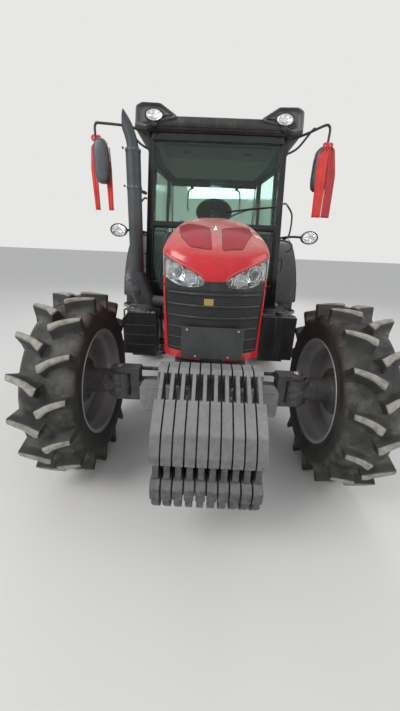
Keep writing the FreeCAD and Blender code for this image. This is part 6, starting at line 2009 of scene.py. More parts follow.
@dataclass(frozen=True)
class CabInside:
    """Dashboard, steering wheel, levers and seat."""

    tilt: float = 32.0
    middle: Pair = (1400.0, 1960.0)
    reach: float = 172.0

    def column(self, along: float, off: float = 0.0, across: float = 0.0) -> Vector:
        """Point by its distance along the column, off it, and across the cab."""
        tilt = math.radians(self.tilt)
        return spot(across, self.middle[0] + along * math.sin(tilt) + off * math.cos(tilt),
                    self.middle[1] + along * math.cos(tilt) - off * math.sin(tilt))

    def build(self) -> None:
        """Fit out the cab."""
        self.dashboard()
        self.wheel()
        self.controls()
        soften(("seat_base",), BLACK, edge=10.0, steps=3)
        self.cushion("seat_cushion", 0.030, ((-245.0, 245.0), (1900.0, 2370.0), (1470.3, 1580.0)))
        self.back()

    def dashboard(self) -> None:
        """Dashboard with its hood, bezel and dials."""
        shape = Shape()
        outline = rounded([(1060.3, 1049.0), (1180.0, 1049.0), (1215.0, 1600.0), (1262.0, 1790.0), (1240.0, 1828.0),
                           (1170.0, 1842.0), (1080.0, 1832.0), (1060.3, 1790.0)], 40.0, 5)
        shape.side_slab(outline, -190.0, 190.0)
        shape.piece("dashboard_shell", BLACK, replaces=("dashboard",), edge=16.0, steps=4)
        hood = Shape()
        rings = []
        for y, half, high in ((1105.0, 60.0, 14.0), (1125.0, 130.0, 40.0), (1170.0, 165.0, 62.0), (1235.0, 172.0, 60.0),
                              (1268.0, 168.0, 48.0)):
            rings.append([spot(half * math.cos(t), y, 1818.0 + high * math.sin(t)) for t in
                          [math.pi * k / 16.0 for k in range(17)]])
        hood.loft(rings)
        hood.piece("dial_hood", BLACK, edge=3.0)
        dials = Shape()
        for x, size in ((-80.0, 40.0), (0.0, 30.0), (80.0, 40.0)):
            dials.turned([(0.0, size), (4.0, size), (5.0, size - 5.0), (2.0, size - 6.0)],
                         spot(x, 1268.0, 1836.0), ALONG, 32, loop=True)
        dials.piece("dial_rings", CHROME)

    def wheel(self) -> None:
        """Steering wheel with its glossy rim, spokes and column."""
        rim = Shape()
        line = [self.column(0.0, self.reach * math.sin(t), self.reach * math.cos(t)) for t in
                [2.0 * math.pi * k / 64.0 for k in range(66)]]
        rim.tube(line, 17.0, 16)
        rim.piece("steering_rim", CAB_BLACK, angle=60.0, replaces=("steering_wheel",))
        rest = Shape()
        axis = (self.column(1.0) - self.column(0.0)).normalized()
        rest.turned([(-40.0, 34.0), (-30.0, 52.0), (-4.0, 58.0), (16.0, 50.0), (26.0, 34.0), (29.0, 4.0)],
                    self.column(0.0), axis, 36)
        cover = Shape().turned([(-18.0, 158.0), (6.0, 158.0), (24.0, 150.0), (46.0, 126.0), (64.0, 86.0), (73.0, 40.0),
                                (75.0, 4.0)], self.column(0.0), axis, 48)
        cover.piece("steering_cover", CAB_BLACK, angle=50.0)
        for turn in (90.0, 210.0, 330.0):
            t = math.radians(turn)
            points = [self.column(4.0, r * math.sin(t), r * math.cos(t)) for r in (40.0, 90.0, 135.0, 168.0)]
            rest.tube(points, [20.0, 14.0, 11.0, 12.0], 12, flat=0.5)
        rest.tube([self.column(-260.0), self.column(-150.0), self.column(-30.0)], [58.0, 50.0, 38.0], 20)
        rest.tube(bent([self.column(-60.0, 0.0, 30.0), self.column(-50.0, 6.0, 110.0), self.column(-20.0, 12.0, 190.0)]),
                  [5.0] * 13, 8)
        rest.tube(bent([self.column(-70.0, 0.0, -30.0), self.column(-60.0, 6.0, -110.0), self.column(-34.0, 12.0, -180.0)]),
                  [5.0] * 13, 8)
        rest.piece("steering_column", BLACK, edge=2.0)

    def controls(self) -> None:
        """Armrest console with levers, pedals and side panels."""
        shape = Shape()
        shape.side_slab(rounded([(1880.0, 1290.0), (2400.0, 1290.0), (2420.0, 1600.0), (2300.0, 1660.0), (1900.0, 1640.0),
                                 (1840.0, 1560.0)], 40.0), -470.0, -300.0)
        shape.side_slab(rounded([(1980.0, 1290.0), (2400.0, 1290.0), (2400.0, 1480.0), (2000.0, 1480.0)], 30.0), 330.0,
                        470.0)
        for side in Side:
            x0, x1 = sorted((side.value * 262.0, side.value * 300.0))
            shape.side_slab(rounded([(2040.0, 1690.0), (2380.0, 1710.0), (2380.0, 1740.0), (2040.0, 1730.0)], 14.0), x0, x1)
            shape.side_slab(rounded([(2330.0, 1520.0), (2380.0, 1520.0), (2380.0, 1715.0), (2340.0, 1715.0)], 10.0),
                            *sorted((side.value * 240.0, side.value * 290.0)))
        shape.piece("side_consoles", BLACK, edge=10.0, steps=3)
        levers = Shape()
        for x, y, tip in ((-340.0, 1960.0, 1790.0), (-375.0, 2010.0, 1770.0), (-410.0, 2060.0, 1760.0),
                          (-360.0, 2140.0, 1750.0), (400.0, 2080.0, 1620.0)):
            base = 1638.0 if x < 0 else 1478.0
            levers.tube(bent(spots([(x, y, base), (x, y - 12.0, (base + tip) / 2.0), (x, y - 34.0, tip)]), 4), 6.0, 8)
        levers.piece("levers", STEEL)
        knobs = Shape()
        for x, y, tip in ((-340.0, 1926.0, 1800.0), (-375.0, 1976.0, 1780.0), (-410.0, 2026.0, 1770.0),
                          (-360.0, 2106.0, 1760.0), (400.0, 2046.0, 1630.0)):
            knobs.turned([(-22.0, 8.0), (-10.0, 17.0), (8.0, 20.0), (20.0, 14.0), (25.0, 3.0)], spot(x, y, tip), UP, 20)
        knobs.piece("lever_knobs", BLACK)
        pedals = Shape()
        for x in (-150.0, -70.0, 120.0, 200.0):
            pedals.side_slab(rounded([(1300.0, 1118.0), (1312.0, 1110.0), (1352.0, 1190.0), (1340.0, 1198.0)], 3.0),
                             x - 32.0, x + 32.0)
            pedals.tube(spots([(x, 1330.0, 1150.0), (x, 1260.0, 1130.0), (x, 1200.0, 1240.0)]), 8.0, 8)
        pedals.piece("pedals", BLACK_STEEL, edge=2.0)

    def cushion(self, name: str, cap: float, size: tuple[Pair, Pair, Pair]) -> None:
        """Padded seat, swollen between its seams.

        Args:
            name: The node that it stands for.
            cap: How far a point may move, in metres.
            size: Its extents across, along and up.
        """
        (x0, x1), (y0, y1), (z0, z1) = size
        shape = Shape()
        rings = []
        for z, inset in ((z0, 14.0), (z0 + 12.0, 4.0), (z0 + 45.0, 2.0), (z1 - 36.0, 4.0), (z1 - 16.0, 20.0)):
            outline = rounded([(x0 + inset, y0 + inset), (x1 - inset, y0 + inset), (x1 - inset, y1 - inset),
                               (x0 + inset, y1 - inset)], 50.0, 5)
            rings.append([spot(x, y, z) for x, y in outline])
        shape.loft(rings)
        self.stuffed(shape, name, cap)

    def back(self) -> None:
        """Padded backrest, curved round the sitter."""
        shape = Shape()
        rings = []
        for share in (0.0, 0.08, 0.25, 0.5, 0.75, 0.92, 1.0):
            inset = 22.0 if share in (0.0, 1.0) else 6.0 if share in (0.08, 0.92) else 0.0
            z = between(1588.0, 2092.0, share)
            front = between(2352.0, 2462.0, share) + 14.0 * (1.0 - abs(2.0 * share - 1.0) ** 2) - 10.0
            rear = between(2468.0, 2548.0, share)
            half = 230.0 - inset - 16.0 * share
            ring = []
            for k in range(28):
                t = 2.0 * math.pi * k / 28.0
                cx, sy = math.cos(t), math.sin(t)
                x = half * math.copysign(abs(cx) ** 0.45, cx)
                y = between(front + inset, rear - inset, 0.5 + 0.5 * math.copysign(abs(sy) ** 0.55, sy))
                ring.append(spot(x, y - 10.0 * (abs(x) / half) ** 2, z))
            rings.append(ring)
        shape.loft(rings)
        self.stuffed(shape, "seat_back", 0.022)

    def stuffed(self, shape: Shape, name: str, cap: float) -> None:
        """Cloth skin filled until it is firm.

        Args:
            shape: The slightly smaller form that it starts from.
            name: The node that it stands for.
            cap: How far a point may move, in metres.
        """
        made = shape.piece(f"{name}_padded", SEAT, replaces=(name,), angle=60.0)
        self.swell(made, cap)

    @staticmethod
    def swell(made: bpy.types.Object, cap: float) -> None:
        """Blow the piece up as cloth and keep its shape.

        Args:
            made: The piece.
            cap: How far a point may move, in metres.
        """
        scene = bpy.context.scene
        twin = bpy.data.objects.new("stuffing", made.data.copy())
        scene.collection.objects.link(twin)
        mesh_step = twin.modifiers.new("even", "REMESH")
        mesh_step.mode = "VOXEL"
        mesh_step.voxel_size = 0.012
        depsgraph = bpy.context.evaluated_depsgraph_get()
        even = bpy.data.meshes.new_from_object(twin.evaluated_get(depsgraph))
        twin.modifiers.clear()
        twin.data = even
        start = [v.co.copy() for v in even.vertices]
        cloth = twin.modifiers.new("cloth", "CLOTH")
        cloth.settings.use_pressure = True
        cloth.settings.uniform_pressure_force = 4.0
        cloth.settings.effector_weights.gravity = 0.0
        cloth.point_cache.frame_start = 1
        cloth.point_cache.frame_end = 14
        for number in range(1, 15):
            scene.frame_set(number)
        depsgraph = bpy.context.evaluated_depsgraph_get()
        blown = bpy.data.meshes.new_from_object(twin.evaluated_get(depsgraph))
        for vertex, place in zip(blown.vertices, start):
            move = vertex.co - place
            if move.length > cap:
                vertex.co = place + move * (cap / move.length)
        scene.frame_set(1)
        bpy.data.objects.remove(twin)
        material = made.data.materials[0]
        made.data = blown
        if not blown.materials:
            blown.materials.append(material)
        blown.materials[0] = material
        blown.polygons.foreach_set("use_smooth", [True] * len(blown.polygons))
        step = made.modifiers.new("smooth", "SUBSURF")
        step.levels = 1
        step.render_levels = 1


@dataclass(frozen=True)
class SidePieces:
    """Exhaust, mirrors with ribbons, stalk lamps, tank and steps."""

    exhaust: Pair = (-687.0, 800.0)
    mirror_place: float = 1000.0

    def build(self) -> None:
        """Make all that stands beside the hood."""
        self.stack()
        self.box()
        for side in Side:
            self.mirror(side)
            self.stalk_lamp(side)
            self.steps(side)

    def stack(self) -> None:
        """Exhaust stack with its slanted tip, clamps, foot and stay."""
        x, y = self.exhaust
        pipe = Shape()
        pipe.tube(spots([(x, y, 1182.0), (x, y, 1200.0), (x, y, 2318.0), (x, y, 2330.0)]), [56.0, 60.0, 60.0, 52.0], 40)
        pipe.piece("exhaust_stack", SHIELD, replaces=("exhaust",), edge=1.5)
        tail = Shape()
        line = bent(spots([(x, y, 2326.0), (x - 6.0, y, 2370.0), (x - 20.0, y, 2420.0), (x - 44.0, y, 2478.0),
                           (x - 84.0, y, 2540.0), (x - 100.0, y, 2560.0)]), 4)
        sizes = [46.0 - 4.0 * i / len(line) for i in range(len(line))]
        tail.tube(line, sizes, 32)
        mouth = Shape().cross_slab([(-746.0, 2640.0), (-764.0, 2440.0), (-960.0, 2440.0), (-960.0, 2640.0)], y - 120.0,
                                   y + 120.0)
        tail.cut(mouth)
        hollow = Shape().tube(line, [s - 3.0 for s in sizes], 32)
        tail.cut(hollow)
        hollow.mesh.free()
        mouth.mesh.free()
        tail.piece("exhaust_tail", SHIELD, angle=40.0)
        rings = Shape()
        for z in (1196.0, 1300.0, 2050.0, 2312.0):
            rings.turned([(-9.0, 60.0), (-9.0, 63.5), (9.0, 63.5), (9.0, 60.0)], spot(x, y, z), UP, 40, loop=True)
            rings.block(x - 70.0, x - 60.0, y - 76.0, y - 52.0, z - 7.0, z + 7.0)
        rings.tube(spots([(x, y + 58.0, 2050.0), (-634.0, 1012.0, 2050.0)]), 14.0, 14)
        rings.piece("exhaust_clamps", BLACK_STEEL, edge=1.0)
        foot = Shape()
        foot.tube(bent(spots([(x, y, 1260.0), (x, y, 1190.0), (x + 14.0, y, 1150.0), (x + 60.0, y + 6.0, 1122.0),
                              (x + 180.0, y + 8.0, 1112.0), (-330.0, y, 1112.0), (-186.0, y, 1114.0)]), 6),
                  [61.0, 62.0, 64.0, 66.0, 68.0, 69.0, 68.0, 66.0, 64.0, 62.0, 60.0, 58.0, 56.0, 55.0, 54.0, 53.0, 52.0,
                   52.0, 51.0, 50.0, 50.0, 49.0, 48.0, 48.0, 47.0, 47.0, 46.0, 46.0, 46.0, 46.0, 46.0, 46.0, 46.0, 46.0,
                   46.0, 46.0, 46.0], 32)
        foot.piece("exhaust_foot", SHIELD, edge=1.0)
        shroud = Shape()
        rings = []
        for z, x0, x1, y0, y1 in ((1372.0, -752.0, -622.0, 736.0, 864.0), (1300.0, -752.0, -598.0, 738.0, 866.0),
                                  (1230.0, -748.0, -570.0, 742.0, 866.0), (1165.0, -738.0, -546.0, 748.0, 862.0),
                                  (1100.0, -722.0, -528.0, 752.0, 858.0), (1076.0, -706.0, -540.0, 762.0, 850.0)):
            corners = rounded([(x0, y0), (x1, y0), (x1, y1), (x0, y1)], 50.0, 5)
            rings.append([spot(px, py, z) for px, py in corners])
        shroud.loft(rings).piece("exhaust_shroud", SHIELD, angle=50.0)

    def box(self) -> None:
        """Black ribbed box below the exhaust, with its bright wrinkled top edge."""
        ribs = Shape()
        for z in (660.0, 760.0, 860.0):
            ribs.block(-838.0, -532.0, 795.0, 801.0, z, z + 8.0)
            ribs.block(-855.0, -848.0, 812.0, 1200.0, z, z + 8.0)
        ribs.piece("box_ribs", SHIELD, edge=2.0)
        foil = Shape()
        random.seed(11)
        rings = []
        for number in range(28):
            x = -853.0 + 12.2 * number
            base = 1000.0 - max(-786.0 - x, 0.0) * 1.25
            rise = base + 4.0 + 5.0 * random.random()
            lip = 794.0 - 5.0 * random.random()
            rings.append([spot(x, lip, base - 14.0 + 8.0 * random.random()), spot(x, lip, rise),
                          spot(x, 842.0, rise + 2.0), spot(x, 842.0, base + 0.5), spot(x, 801.0, base + 0.5),
                          spot(x, 801.0, base - 12.0)])
        foil.loft(rings)
        foil.piece("box_foil_edge", STEEL, angle=20.0)

    def steps(self, side: Side) -> None:
        """Tank or box with its steps, caps and straps.

        Args:
            side: The machine's side.
        """
        hand = side.value
        node = "fuel_tank_left" if side is Side.LEFT else "step_box_right"
        shape = Shape.of_node(node)
        if side is Side.RIGHT:
            tool = Shape().cross_slab([(-900.0, 850.0), (-784.0, 1001.0), (-784.0, 1100.0), (-900.0, 1100.0)], 700.0, 1230.0)
            shape.cut(tool)
            tool.mesh.free()
        shape.piece(node + "_shaped", BLACK, replaces=(node,), edge=14.0, steps=4)
        treads = Shape()
        for low in (390.0, 664.5, 900.0):
            for number in range(5):
                y = 1230.0 + 54.0 * number
                treads.block(*sorted((hand * 612.0, hand * 872.0)), y, y + 10.0, low + 20.0, low + 26.0)
        treads.piece(f"step_treads_{side.word}", STEEL, edge=1.0)
        straps = Shape()
        for y in (880.0, 1120.0):
            outline = [(hand * 516.0, 1004.0), (hand * 854.0, 1004.0), (hand * 854.0, 562.0), (hand * 516.0, 562.0)]
            line = soft_corners([spot(px, y, pz) for px, pz in outline], 22.0, 4)
            straps.tube(line + [line[0], line[1]], 9.0, 6, flat=0.35)
        straps.piece(f"tank_straps_{side.word}", BLACK_STEEL)
        if side is Side.LEFT:
            cap = Shape()
            cap.turned([(0.0, 52.0), (6.0, 52.0), (8.0, 44.0), (34.0, 42.0), (38.0, 36.0), (39.0, 4.0)],
                       spot(700.0, 900.0, 999.0), UP, 32)
            cap.piece("fuel_cap", BLACK, edge=1.5)

    def mirror(self, side: Side) -> None:
        """Mirror on its bent arm, with the ribbons tied to it.

        Args:
            side: The mirror's side.
        """
        hand = side.value
        left = side is Side.LEFT
        inner, outer = (835.0, 990.0) if left else (945.0, 1085.0)
        middle = (inner + outer) / 2.0
        place = self.mirror_place
        arm = Shape()
        top = 2600.0 if left else 2560.0
        down = 932.0 if left else 1055.0
        main = [(hand * 606.0, 1068.0, 2500.0), (hand * 640.0, 1050.0, 2508.0), (hand * 758.0, 1018.0, 2545.0),
                (hand * (down - 45.0), place, top - 3.0), (hand * (down - 12.0), place, top - 8.0),
                (hand * down, place, top - 34.0), (hand * down, place, 2490.0), (hand * down, place, 2420.0)]
        arm.tube(bent(spots(main), 6), 10.0, 14)
        stay = [(hand * 606.0, 1066.0, 2405.0), (hand * 640.0, 1045.0, 2412.0), (hand * 700.0, 1030.0, 2450.0),
                (hand * 790.0, 1012.0, between(2545.0, top, 0.35)), (hand * 815.0, 1010.0, between(2545.0, top, 0.5))]
        arm.tube(bent(spots(stay), 6), 9.0, 12)
        arm.block(*sorted((hand * 596.0, hand * 616.0)), 1050.0, 1084.0, 2390.0, 2516.0)
        arm.piece(f"mirror_arm_{side.word}", BLACK, replaces=(f"mirror_{side.word}",), angle=50.0)
        self.shell(side, inner, outer)
        strips = ([((2438.0, 928.0, 20.0), (2400.0, 910.0, 60.0), (2370.0, 900.0, 96.0), (2160.0, 906.0, 88.0),
                    (1900.0, 914.0, 78.0)),
                   ((2438.0, 950.0, 20.0), (2420.0, 960.0, 48.0), (2233.0, 984.0, 74.0), (1900.0, 997.0, 74.0))]
                  if left else
                  [((2438.0, 985.0, 22.0), (2390.0, 976.0, 50.0), (2233.0, 970.0, 56.0), (1900.0, 968.0, 46.0)),
                   ((2438.0, 1072.0, 24.0), (2400.0, 1090.0, 50.0), (2233.0, 1100.0, 58.0), (1900.0, 1098.0, 46.0))])
        for number, strip in enumerate(strips):
            self.ribbon(side, number, strip)
        self.knot(side, down)

    def shell(self, side: Side, inner: float, outer: float) -> None:
        """Rounded mirror body with its glass facing back.

        Args:
            side: The mirror's side.
            inner: Its inner edge.
            outer: Its outer edge.
        """
        hand = side.value
        place = self.mirror_place
        middle, half = (inner + outer) / 2.0, (outer - inner) / 2.0
        rings = []
        for depth, share in ((-35.0, 0.50), (-33.0, 0.72), (-26.0, 0.88), (-10.0, 0.98), (14.0, 1.0), (32.0, 0.985)):
            ring = []
            for k in range(48):
                t = 2.0 * math.pi * k / 48.0
                cx, sz = math.cos(t), math.sin(t)
                width = half * (0.90 + 0.10 * (0.5 - 0.5 * sz))
                x = width * share * math.copysign(abs(cx) ** 0.62, cx)
                z = 170.0 * (1.0 - (1.0 - share) * 0.45) * math.copysign(abs(sz) ** 0.55, sz)
                ring.append(spot(hand * (middle + x), place + depth, 2280.0 + z))
            rings.append(ring)
        Shape().loft(rings).piece(f"mirror_shell_{side.word}", MIRROR_SHELL, angle=50.0)
        glass = Shape()
        outline = rounded([(hand * (inner + 12.0), 2128.0), (hand * (outer - 12.0), 2128.0), (hand * (outer - 12.0), 2432.0),
                           (hand * (inner + 12.0), 2432.0)], 26.0)
        glass.cross_slab(outline, place + 31.0, place + 34.0)
        glass.piece(f"mirror_glass_{side.word}", CHROME, angle=30.0)

    def ribbon(self, side: Side, number: int, strip: Sequence[Trio]) -> None:
        """Satin strip that hangs from the arm.

        Args:
            side: The mirror's side.
            number: Which of the two strips.
            strip: Height, middle and seen width from the top down.
        """
        hand = side.value
        left = side is Side.LEFT
        face = 957.0 - 4.0 * number if left else 1044.0
        full = max(width for _, _, width in strip)
        rows = []
        count, steps = 32, 14
        levels = [-z for z, _, _ in strip]
        centres = list(zip(levels, [x for _, x, _ in strip]))
        widths = list(zip(levels, [w for _, _, w in strip]))
        for i in range(count + 1):
            z = between(strip[0][0], strip[-1][0], i / count)
            centre, width = along_table(centres, -z), along_table(widths, -z)
            spare = math.sqrt(max((full / width) ** 2 - 1.0, 0.0))
            row = []
            for k in range(steps + 1):
                across = k / steps - 0.5
                wave = 2.0 * math.pi * (across * 2.0 + number * 0.35 + 0.1 * math.sin(4.0 * i / count))
                fold = math.sin(wave) * min(width * spare / 9.0, 7.0)
                sway = math.sin(5.0 * i / count + number * 1.7) * 2.0
                x = centre + across * width + math.sin(3.0 * i / count + number) * 2.0
                row.append(spot(hand * x, face + fold + sway, z))
            rows.append(row)
        finish = RIBBON_DEEP if left and number else RIBBON
        made = Shape().loft(rows, loop=False, caps=False).piece(f"ribbon_{side.word}_{number}", finish, angle=80.0)
        step = made.modifiers.new("cloth_weight", "SOLIDIFY")
        step.thickness = 0.0008
        if number == 0:
            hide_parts(f"ribbons_{side.word}")

    def knot(self, side: Side, middle: float) -> None:
        """Bow that ties both strips to the arm.

        Args:
            side: The mirror's side.
            middle: The arm's place across.
        """
        hand = side.value
        left = side is Side.LEFT
        shape = Shape()
        tie = spot(hand * middle, 988.0 if left else 1012.0, 2452.0)
        shape.turned([(-24.0, 6.0), (-16.0, 18.0), (0.0, 22.0), (14.0, 17.0), (24.0, 6.0)], tie, UP, 20)
        for way in (-1.0, 1.0):
            loop = [tie, tie + Vector((way * 0.024, 0.0, 0.018)), tie + Vector((way * 0.036, 0.0, 0.002)),
                    tie + Vector((way * 0.022, 0.0, -0.016)), tie]
            shape.tube(bent(loop, 5), 6.0, 8, flat=1.5)
        shape.piece(f"ribbon_knot_{side.word}", RIBBON, angle=60.0)

    @staticmethod
    def flat_area(rows: Sequence[Sequence[Vector]]) -> float:
        """Area of the strip as it was cut, in square metres.

        Args:
            rows: Points of the strip.

        Returns:
            The sum of its patches.
        """
        area = 0.0
        for low, high in zip(rows, rows[1:]):
            for k in range(len(low) - 1):
                area += (low[k + 1] - low[k]).cross(high[k] - low[k]).length / 2.0
                area += (high[k + 1] - high[k]).cross(high[k + 1] - low[k + 1]).length / 2.0
        return area

    def stalk_lamp(self, side: Side) -> None:
        """Lamp on its curved stalk, with a hooked handle below it.

        Args:
            side: The lamp's side.
        """
        hand = side.value
        line = [(hand * 630.0, 1022.0, 1718.0), (hand * 660.0, 990.0, 1724.0), (hand * 720.0, 890.0, 1728.0),
                (hand * 790.0, 836.0, 1722.0), (hand * 822.0, 830.0, 1718.0)]
        arm = Shape()
        arm.tube(bent(spots(line), 6), 10.0, 12)
        hook = [(hand * 634.0, 1016.0, 1700.0), (hand * 690.0, 965.0, 1690.0), (hand * 730.0, 930.0, 1660.0),
                (hand * 726.0, 930.0, 1620.0), (hand * 690.0, 955.0, 1600.0)]
        arm.tube(bent(spots(hook), 6), 8.0, 10)
        made = arm.piece(f"stalk_{side.word}", BLACK, angle=50.0, replaces=(f"stalk_lamp_{side.word}",))
        log.info("%s carries its lamp", made.name)
        Cab.oval_lamp(f"stalk_lamp_{side.word}", spot(hand * 830.0, 762.0, 1718.0), 66.0, 48.0, 80.0)


@dataclass(frozen=True)
class Rear:
    """Fenders with their lamps, linkage, drawbar and couplers."""

    def build(self) -> None:
        """Dress the machine's rear."""
        for side in Side:
            self.fender(side)
        for node, body in (("lower_links", "lower_links"), ("lift_arms", "lift_arms"), ("lift_rods", "lift_rods"),
                           ("top_link", "top_link")):
            soften((node,), BLACK_STEEL, body, 3.0, 2)
        soften(("power_shaft",), STEEL, "power_shaft", 1.5)
        soften(("drawbar",), BLACK_STEEL, edge=4.0)
        self.splines()
        self.couplers()
        self.links()

    def fender(self, side: Side) -> None:
        """Fender with a rolled edge, rubber lip and rear lamps.

        Args:
            side: The fender's side.
        """
        hand = side.value
        soften((f"fender_{side.word}",), FENDER, edge=3.5, steps=3)
        lip = Shape()
        line = []
        for k in range(41):
            t = math.radians(between(11.5, 168.5, k / 40.0))
            line.append(spot(hand * 1030.0, WHEELBASE - 929.0 * math.cos(t), 870.0 + 929.0 * math.sin(t)))
        lip.tube(line, 7.0, 10)
        lip.piece(f"fender_lip_{side.word}", SEAL)
        lamp = Shape()
        outline = rounded([(hand * 800.0, 1560.0), (hand * 990.0, 1560.0), (hand * 990.0, 1640.0), (hand * 800.0, 1640.0)],
                          16.0)
        lamp.cross_slab(outline, 3040.0, 3098.0)
        lamp.piece(f"rear_lamp_box_{side.word}", BLACK, edge=6.0)
        for x0, x1, finish, word in ((806.0, 868.0, AMBER, "turn"), (872.0, 984.0, RED_LENS, "stop")):
            lens = Shape()
            lens.cross_slab(rounded([(hand * x0, 1567.0), (hand * x1, 1567.0), (hand * x1, 1633.0), (hand * x0, 1633.0)],
                                    10.0), 3094.0, 3106.0)
            lens.piece(f"rear_lens_{word}_{side.word}", finish, edge=3.0)

    def splines(self) -> None:
        """Teeth along the power take-off shaft and its guard."""
        shape = Shape()
        for k in range(6):
            t = 2.0 * math.pi * k / 6.0
            middle = Vector((math.cos(t), 0.0, math.sin(t))) * 0.0172
            wide = Vector((-math.sin(t), 0.0, math.cos(t))) * 0.0040
            rise = Vector((math.cos(t), 0.0, math.sin(t))) * 0.0018
            base = spot(0.0, 2650.0, 640.0) + middle
            shape.slab([base - wide, base + wide, base + wide * 0.8 + rise, base - wide * 0.8 + rise], ALONG * 0.062)
        shape.piece("shaft_splines", STEEL, "power_shaft", edge=0.4)
        guard = Shape()
        outer = [(math.cos(t) * 96.0, 640.0 + math.sin(t) * 96.0) for t in [math.pi * k / 16.0 for k in range(17)]]
        inner = [(x * 0.95, 640.0 + (z - 640.0) * 0.95) for x, z in reversed(outer)]
        guard.cross_slab(outer + inner, 2638.0, 2716.0)
        guard.piece("shaft_guard", BLACK_STEEL, edge=1.5)

    def couplers(self) -> None:
        """Hydraulic couplers with their blocks and caps, and bolts at the rear."""
        block = Shape()
        block.block(60.0, 190.0, 2636.0, 2668.0, 955.0, 1010.0)
        block.block(-190.0, -60.0, 2636.0, 2668.0, 955.0, 1010.0)
        block.piece("coupler_blocks", CAST, edge=3.0)
        ends = Shape()
        for x in (85.0, 125.0, 165.0, -85.0, -125.0, -165.0):
            ends.turned([(0.0, 15.0), (20.0, 15.0), (22.0, 12.0), (40.0, 12.0), (42.0, 6.0)], spot(x, 2668.0, 982.0), ALONG,
                        20)
        ends.piece("couplers", STEEL)
        bolts = Shape()
        for x in (-200.0, 200.0):
            for z in (520.0, 620.0, 720.0, 820.0):
                bolts.bolt(spot(x, 2640.0, z), ALONG, 18.0)
        bolts.piece("rear_bolts", STEEL)

    def links(self) -> None:
        """Turnbuckles and pins on the lift rods and the top link."""
        shape = Shape()
        for side in Side:
            hand = side.value
            top = spot(hand * 285.0, 2934.0, 1019.0)
            low = spot(hand * 373.0, 2984.0, 404.0)
            run = (low - top).normalized()
            shape.turned([(0.0, 18.0), (6.0, 27.0), (150.0, 27.0), (156.0, 18.0)], top + run * 0.18, run, 28)
            shape.turned([(0.0, 32.0), (10.0, 32.0)], top + run * 0.34, run, 6)
        shape.piece("lift_rod_sleeves", STEEL, "lift_rods", edge=1.5)
        link = Shape()
        near, far = spot(0.0, 2671.0, 905.0), spot(0.0, 3391.0, 1098.0)
        run = (far - near).normalized()
        link.turned([(0.0, 19.0), (8.0, 29.0), (300.0, 29.0), (308.0, 19.0)], near + run * 0.22, run, 32)
        link.turned([(0.0, 24.0), (16.0, 24.0)], near + run * 0.545, run, 6)
        link.piece("top_link_sleeve", STEEL, "top_link", edge=1.5)


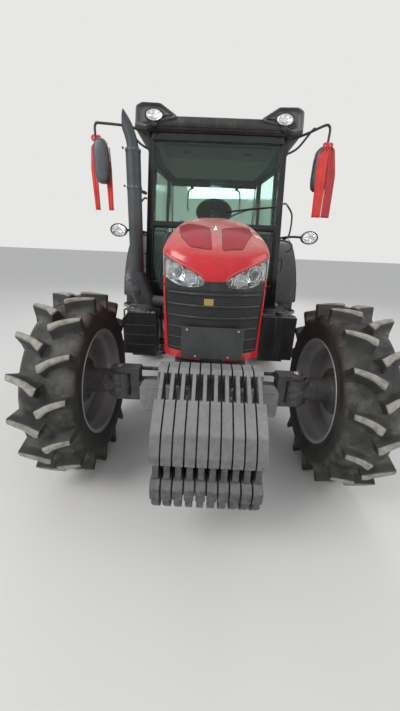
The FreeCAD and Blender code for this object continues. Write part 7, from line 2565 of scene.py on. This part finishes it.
@dataclass(frozen=True)
class Studio:
    """Pale floor, soft light and the camera."""

    eye: Trio = (-0.045, -3.157, 1.567)
    yaw: float = -0.65
    pitch: float = 20.37
    roll: float = 2.43
    lens: float = 14.117

    def camera(self) -> None:
        """Camera at the photograph's place."""
        yaw, pitch, roll = (math.radians(a) for a in (self.yaw, self.pitch, self.roll))
        ahead = Vector((math.sin(yaw) * math.cos(pitch), math.cos(yaw) * math.cos(pitch), -math.sin(pitch)))
        right = Vector((math.cos(yaw), -math.sin(yaw), 0.0))
        up = right.cross(ahead)
        wide = right * math.cos(roll) + up * math.sin(roll)
        high = -right * math.sin(roll) + up * math.cos(roll)
        data = bpy.data.cameras.new("portrait")
        data.sensor_width = 36.0
        data.lens = self.lens
        data.clip_end = 500.0
        made = bpy.data.objects.new("portrait", data)
        made.matrix_world = Matrix.Translation(self.eye) @ Matrix((wide, high, -ahead)).transposed().to_4x4()
        bpy.context.scene.collection.objects.link(made)
        bpy.context.scene.camera = made

    def floor(self) -> None:
        """Wide pale floor with a faint cloudiness."""
        mesh = bpy.data.meshes.new("studio_floor")
        size = 150.0
        mesh.from_pydata([(-size, -size, -0.001), (size, -size, -0.001), (size, size, -0.001), (-size, size, -0.001)],
                         [], [(0, 1, 2, 3)])
        bench = Bench("studio_floor")
        colour = bench.blend(bench.noise(0.6, 4.0), (0.70, 0.69, 0.67), (0.74, 0.73, 0.71))
        mesh.materials.append(bench.close(bench.node("ShaderNodeBsdfPrincipled", Base_Color=colour, Roughness=0.85)))
        made = bpy.data.objects.new("studio_floor", mesh)
        bpy.context.scene.collection.objects.link(made)

    def sky(self) -> None:
        """Even light all round; pale to the camera and through glass."""
        world = bpy.data.worlds.new("studio")
        bpy.context.scene.world = world
        world.use_nodes = True
        tree = world.node_tree
        tree.nodes.clear()
        path = tree.nodes.new("ShaderNodeLightPath")
        seen = tree.nodes.new("ShaderNodeMath")
        seen.operation = "MAXIMUM"
        tree.links.new(path.outputs["Is Camera Ray"], seen.inputs[0])
        tree.links.new(path.outputs["Is Transmission Ray"], seen.inputs[1])
        plain = tree.nodes.new("ShaderNodeBackground")
        plain.inputs[0].default_value = (0.95, 0.97, 1.0, 1.0)
        plain.inputs[1].default_value = 0.62
        pale = tree.nodes.new("ShaderNodeBackground")
        pale.inputs[0].default_value = (0.80, 0.80, 0.79, 1.0)
        pale.inputs[1].default_value = 1.0
        mix = tree.nodes.new("ShaderNodeMixShader")
        out = tree.nodes.new("ShaderNodeOutputWorld")
        tree.links.new(seen.outputs[0], mix.inputs[0])
        tree.links.new(plain.outputs[0], mix.inputs[1])
        tree.links.new(pale.outputs[0], mix.inputs[2])
        tree.links.new(mix.outputs[0], out.inputs[0])

    def lamp(self, name: str, place: Trio, aim: Trio, size: float, power: float) -> None:
        """One soft lamp.

        Args:
            name: The lamp's name.
            place: Where it hangs, in metres.
            aim: What it points at.
            size: Its width.
            power: Its power in watts.
        """
        data = bpy.data.lights.new(name, "AREA")
        data.size = size
        data.energy = power
        made = bpy.data.objects.new(name, data)
        made.location = place
        made.rotation_euler = (Vector(aim) - Vector(place)).to_track_quat("-Z", "Y").to_euler()
        bpy.context.scene.collection.objects.link(made)

    def build(self) -> None:
        """Set up the studio."""
        self.camera()
        self.floor()
        self.sky()
        self.lamp("key", (-4.5, -4.5, 5.5), (0.0, -0.4, 1.0), 3.5, 260.0)
        self.lamp("fill", (5.0, -3.0, 3.5), (0.0, 0.0, 1.0), 4.0, 90.0)
        self.lamp("rear", (1.0, 6.5, 5.0), (0.0, 0.5, 1.2), 4.0, 160.0)
        bpy.context.scene.view_settings.view_transform = "Standard"


def main() -> None:
    """Build the studio and each sub-assembly in order."""
    logging.basicConfig(level=logging.INFO, format="%(name)s: %(message)s")
    random.seed(7)
    Studio().build()
    for side in Side:
        Wheel("front", side, 640.0, 325.0, 74.0, 383.0, 292.0, 920.0, 0.0, 10.0, 108.0, FRONT_RUBBER).build()
        Wheel("rear", side, 870.0, 430.0, 80.0, 508.0, 395.0, 850.0, WHEELBASE, 40.0, 105.0, REAR_RUBBER).build()
    for assembly in (Hood(HoodForm()), FrontWeights(), FrontAxle(), Chassis(), Cab(), CabInside(), SidePieces(), Rear()):
        log.info("building %s", type(assembly).__name__)
        assembly.build()
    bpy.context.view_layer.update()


if __name__ == "__main__":
    main()
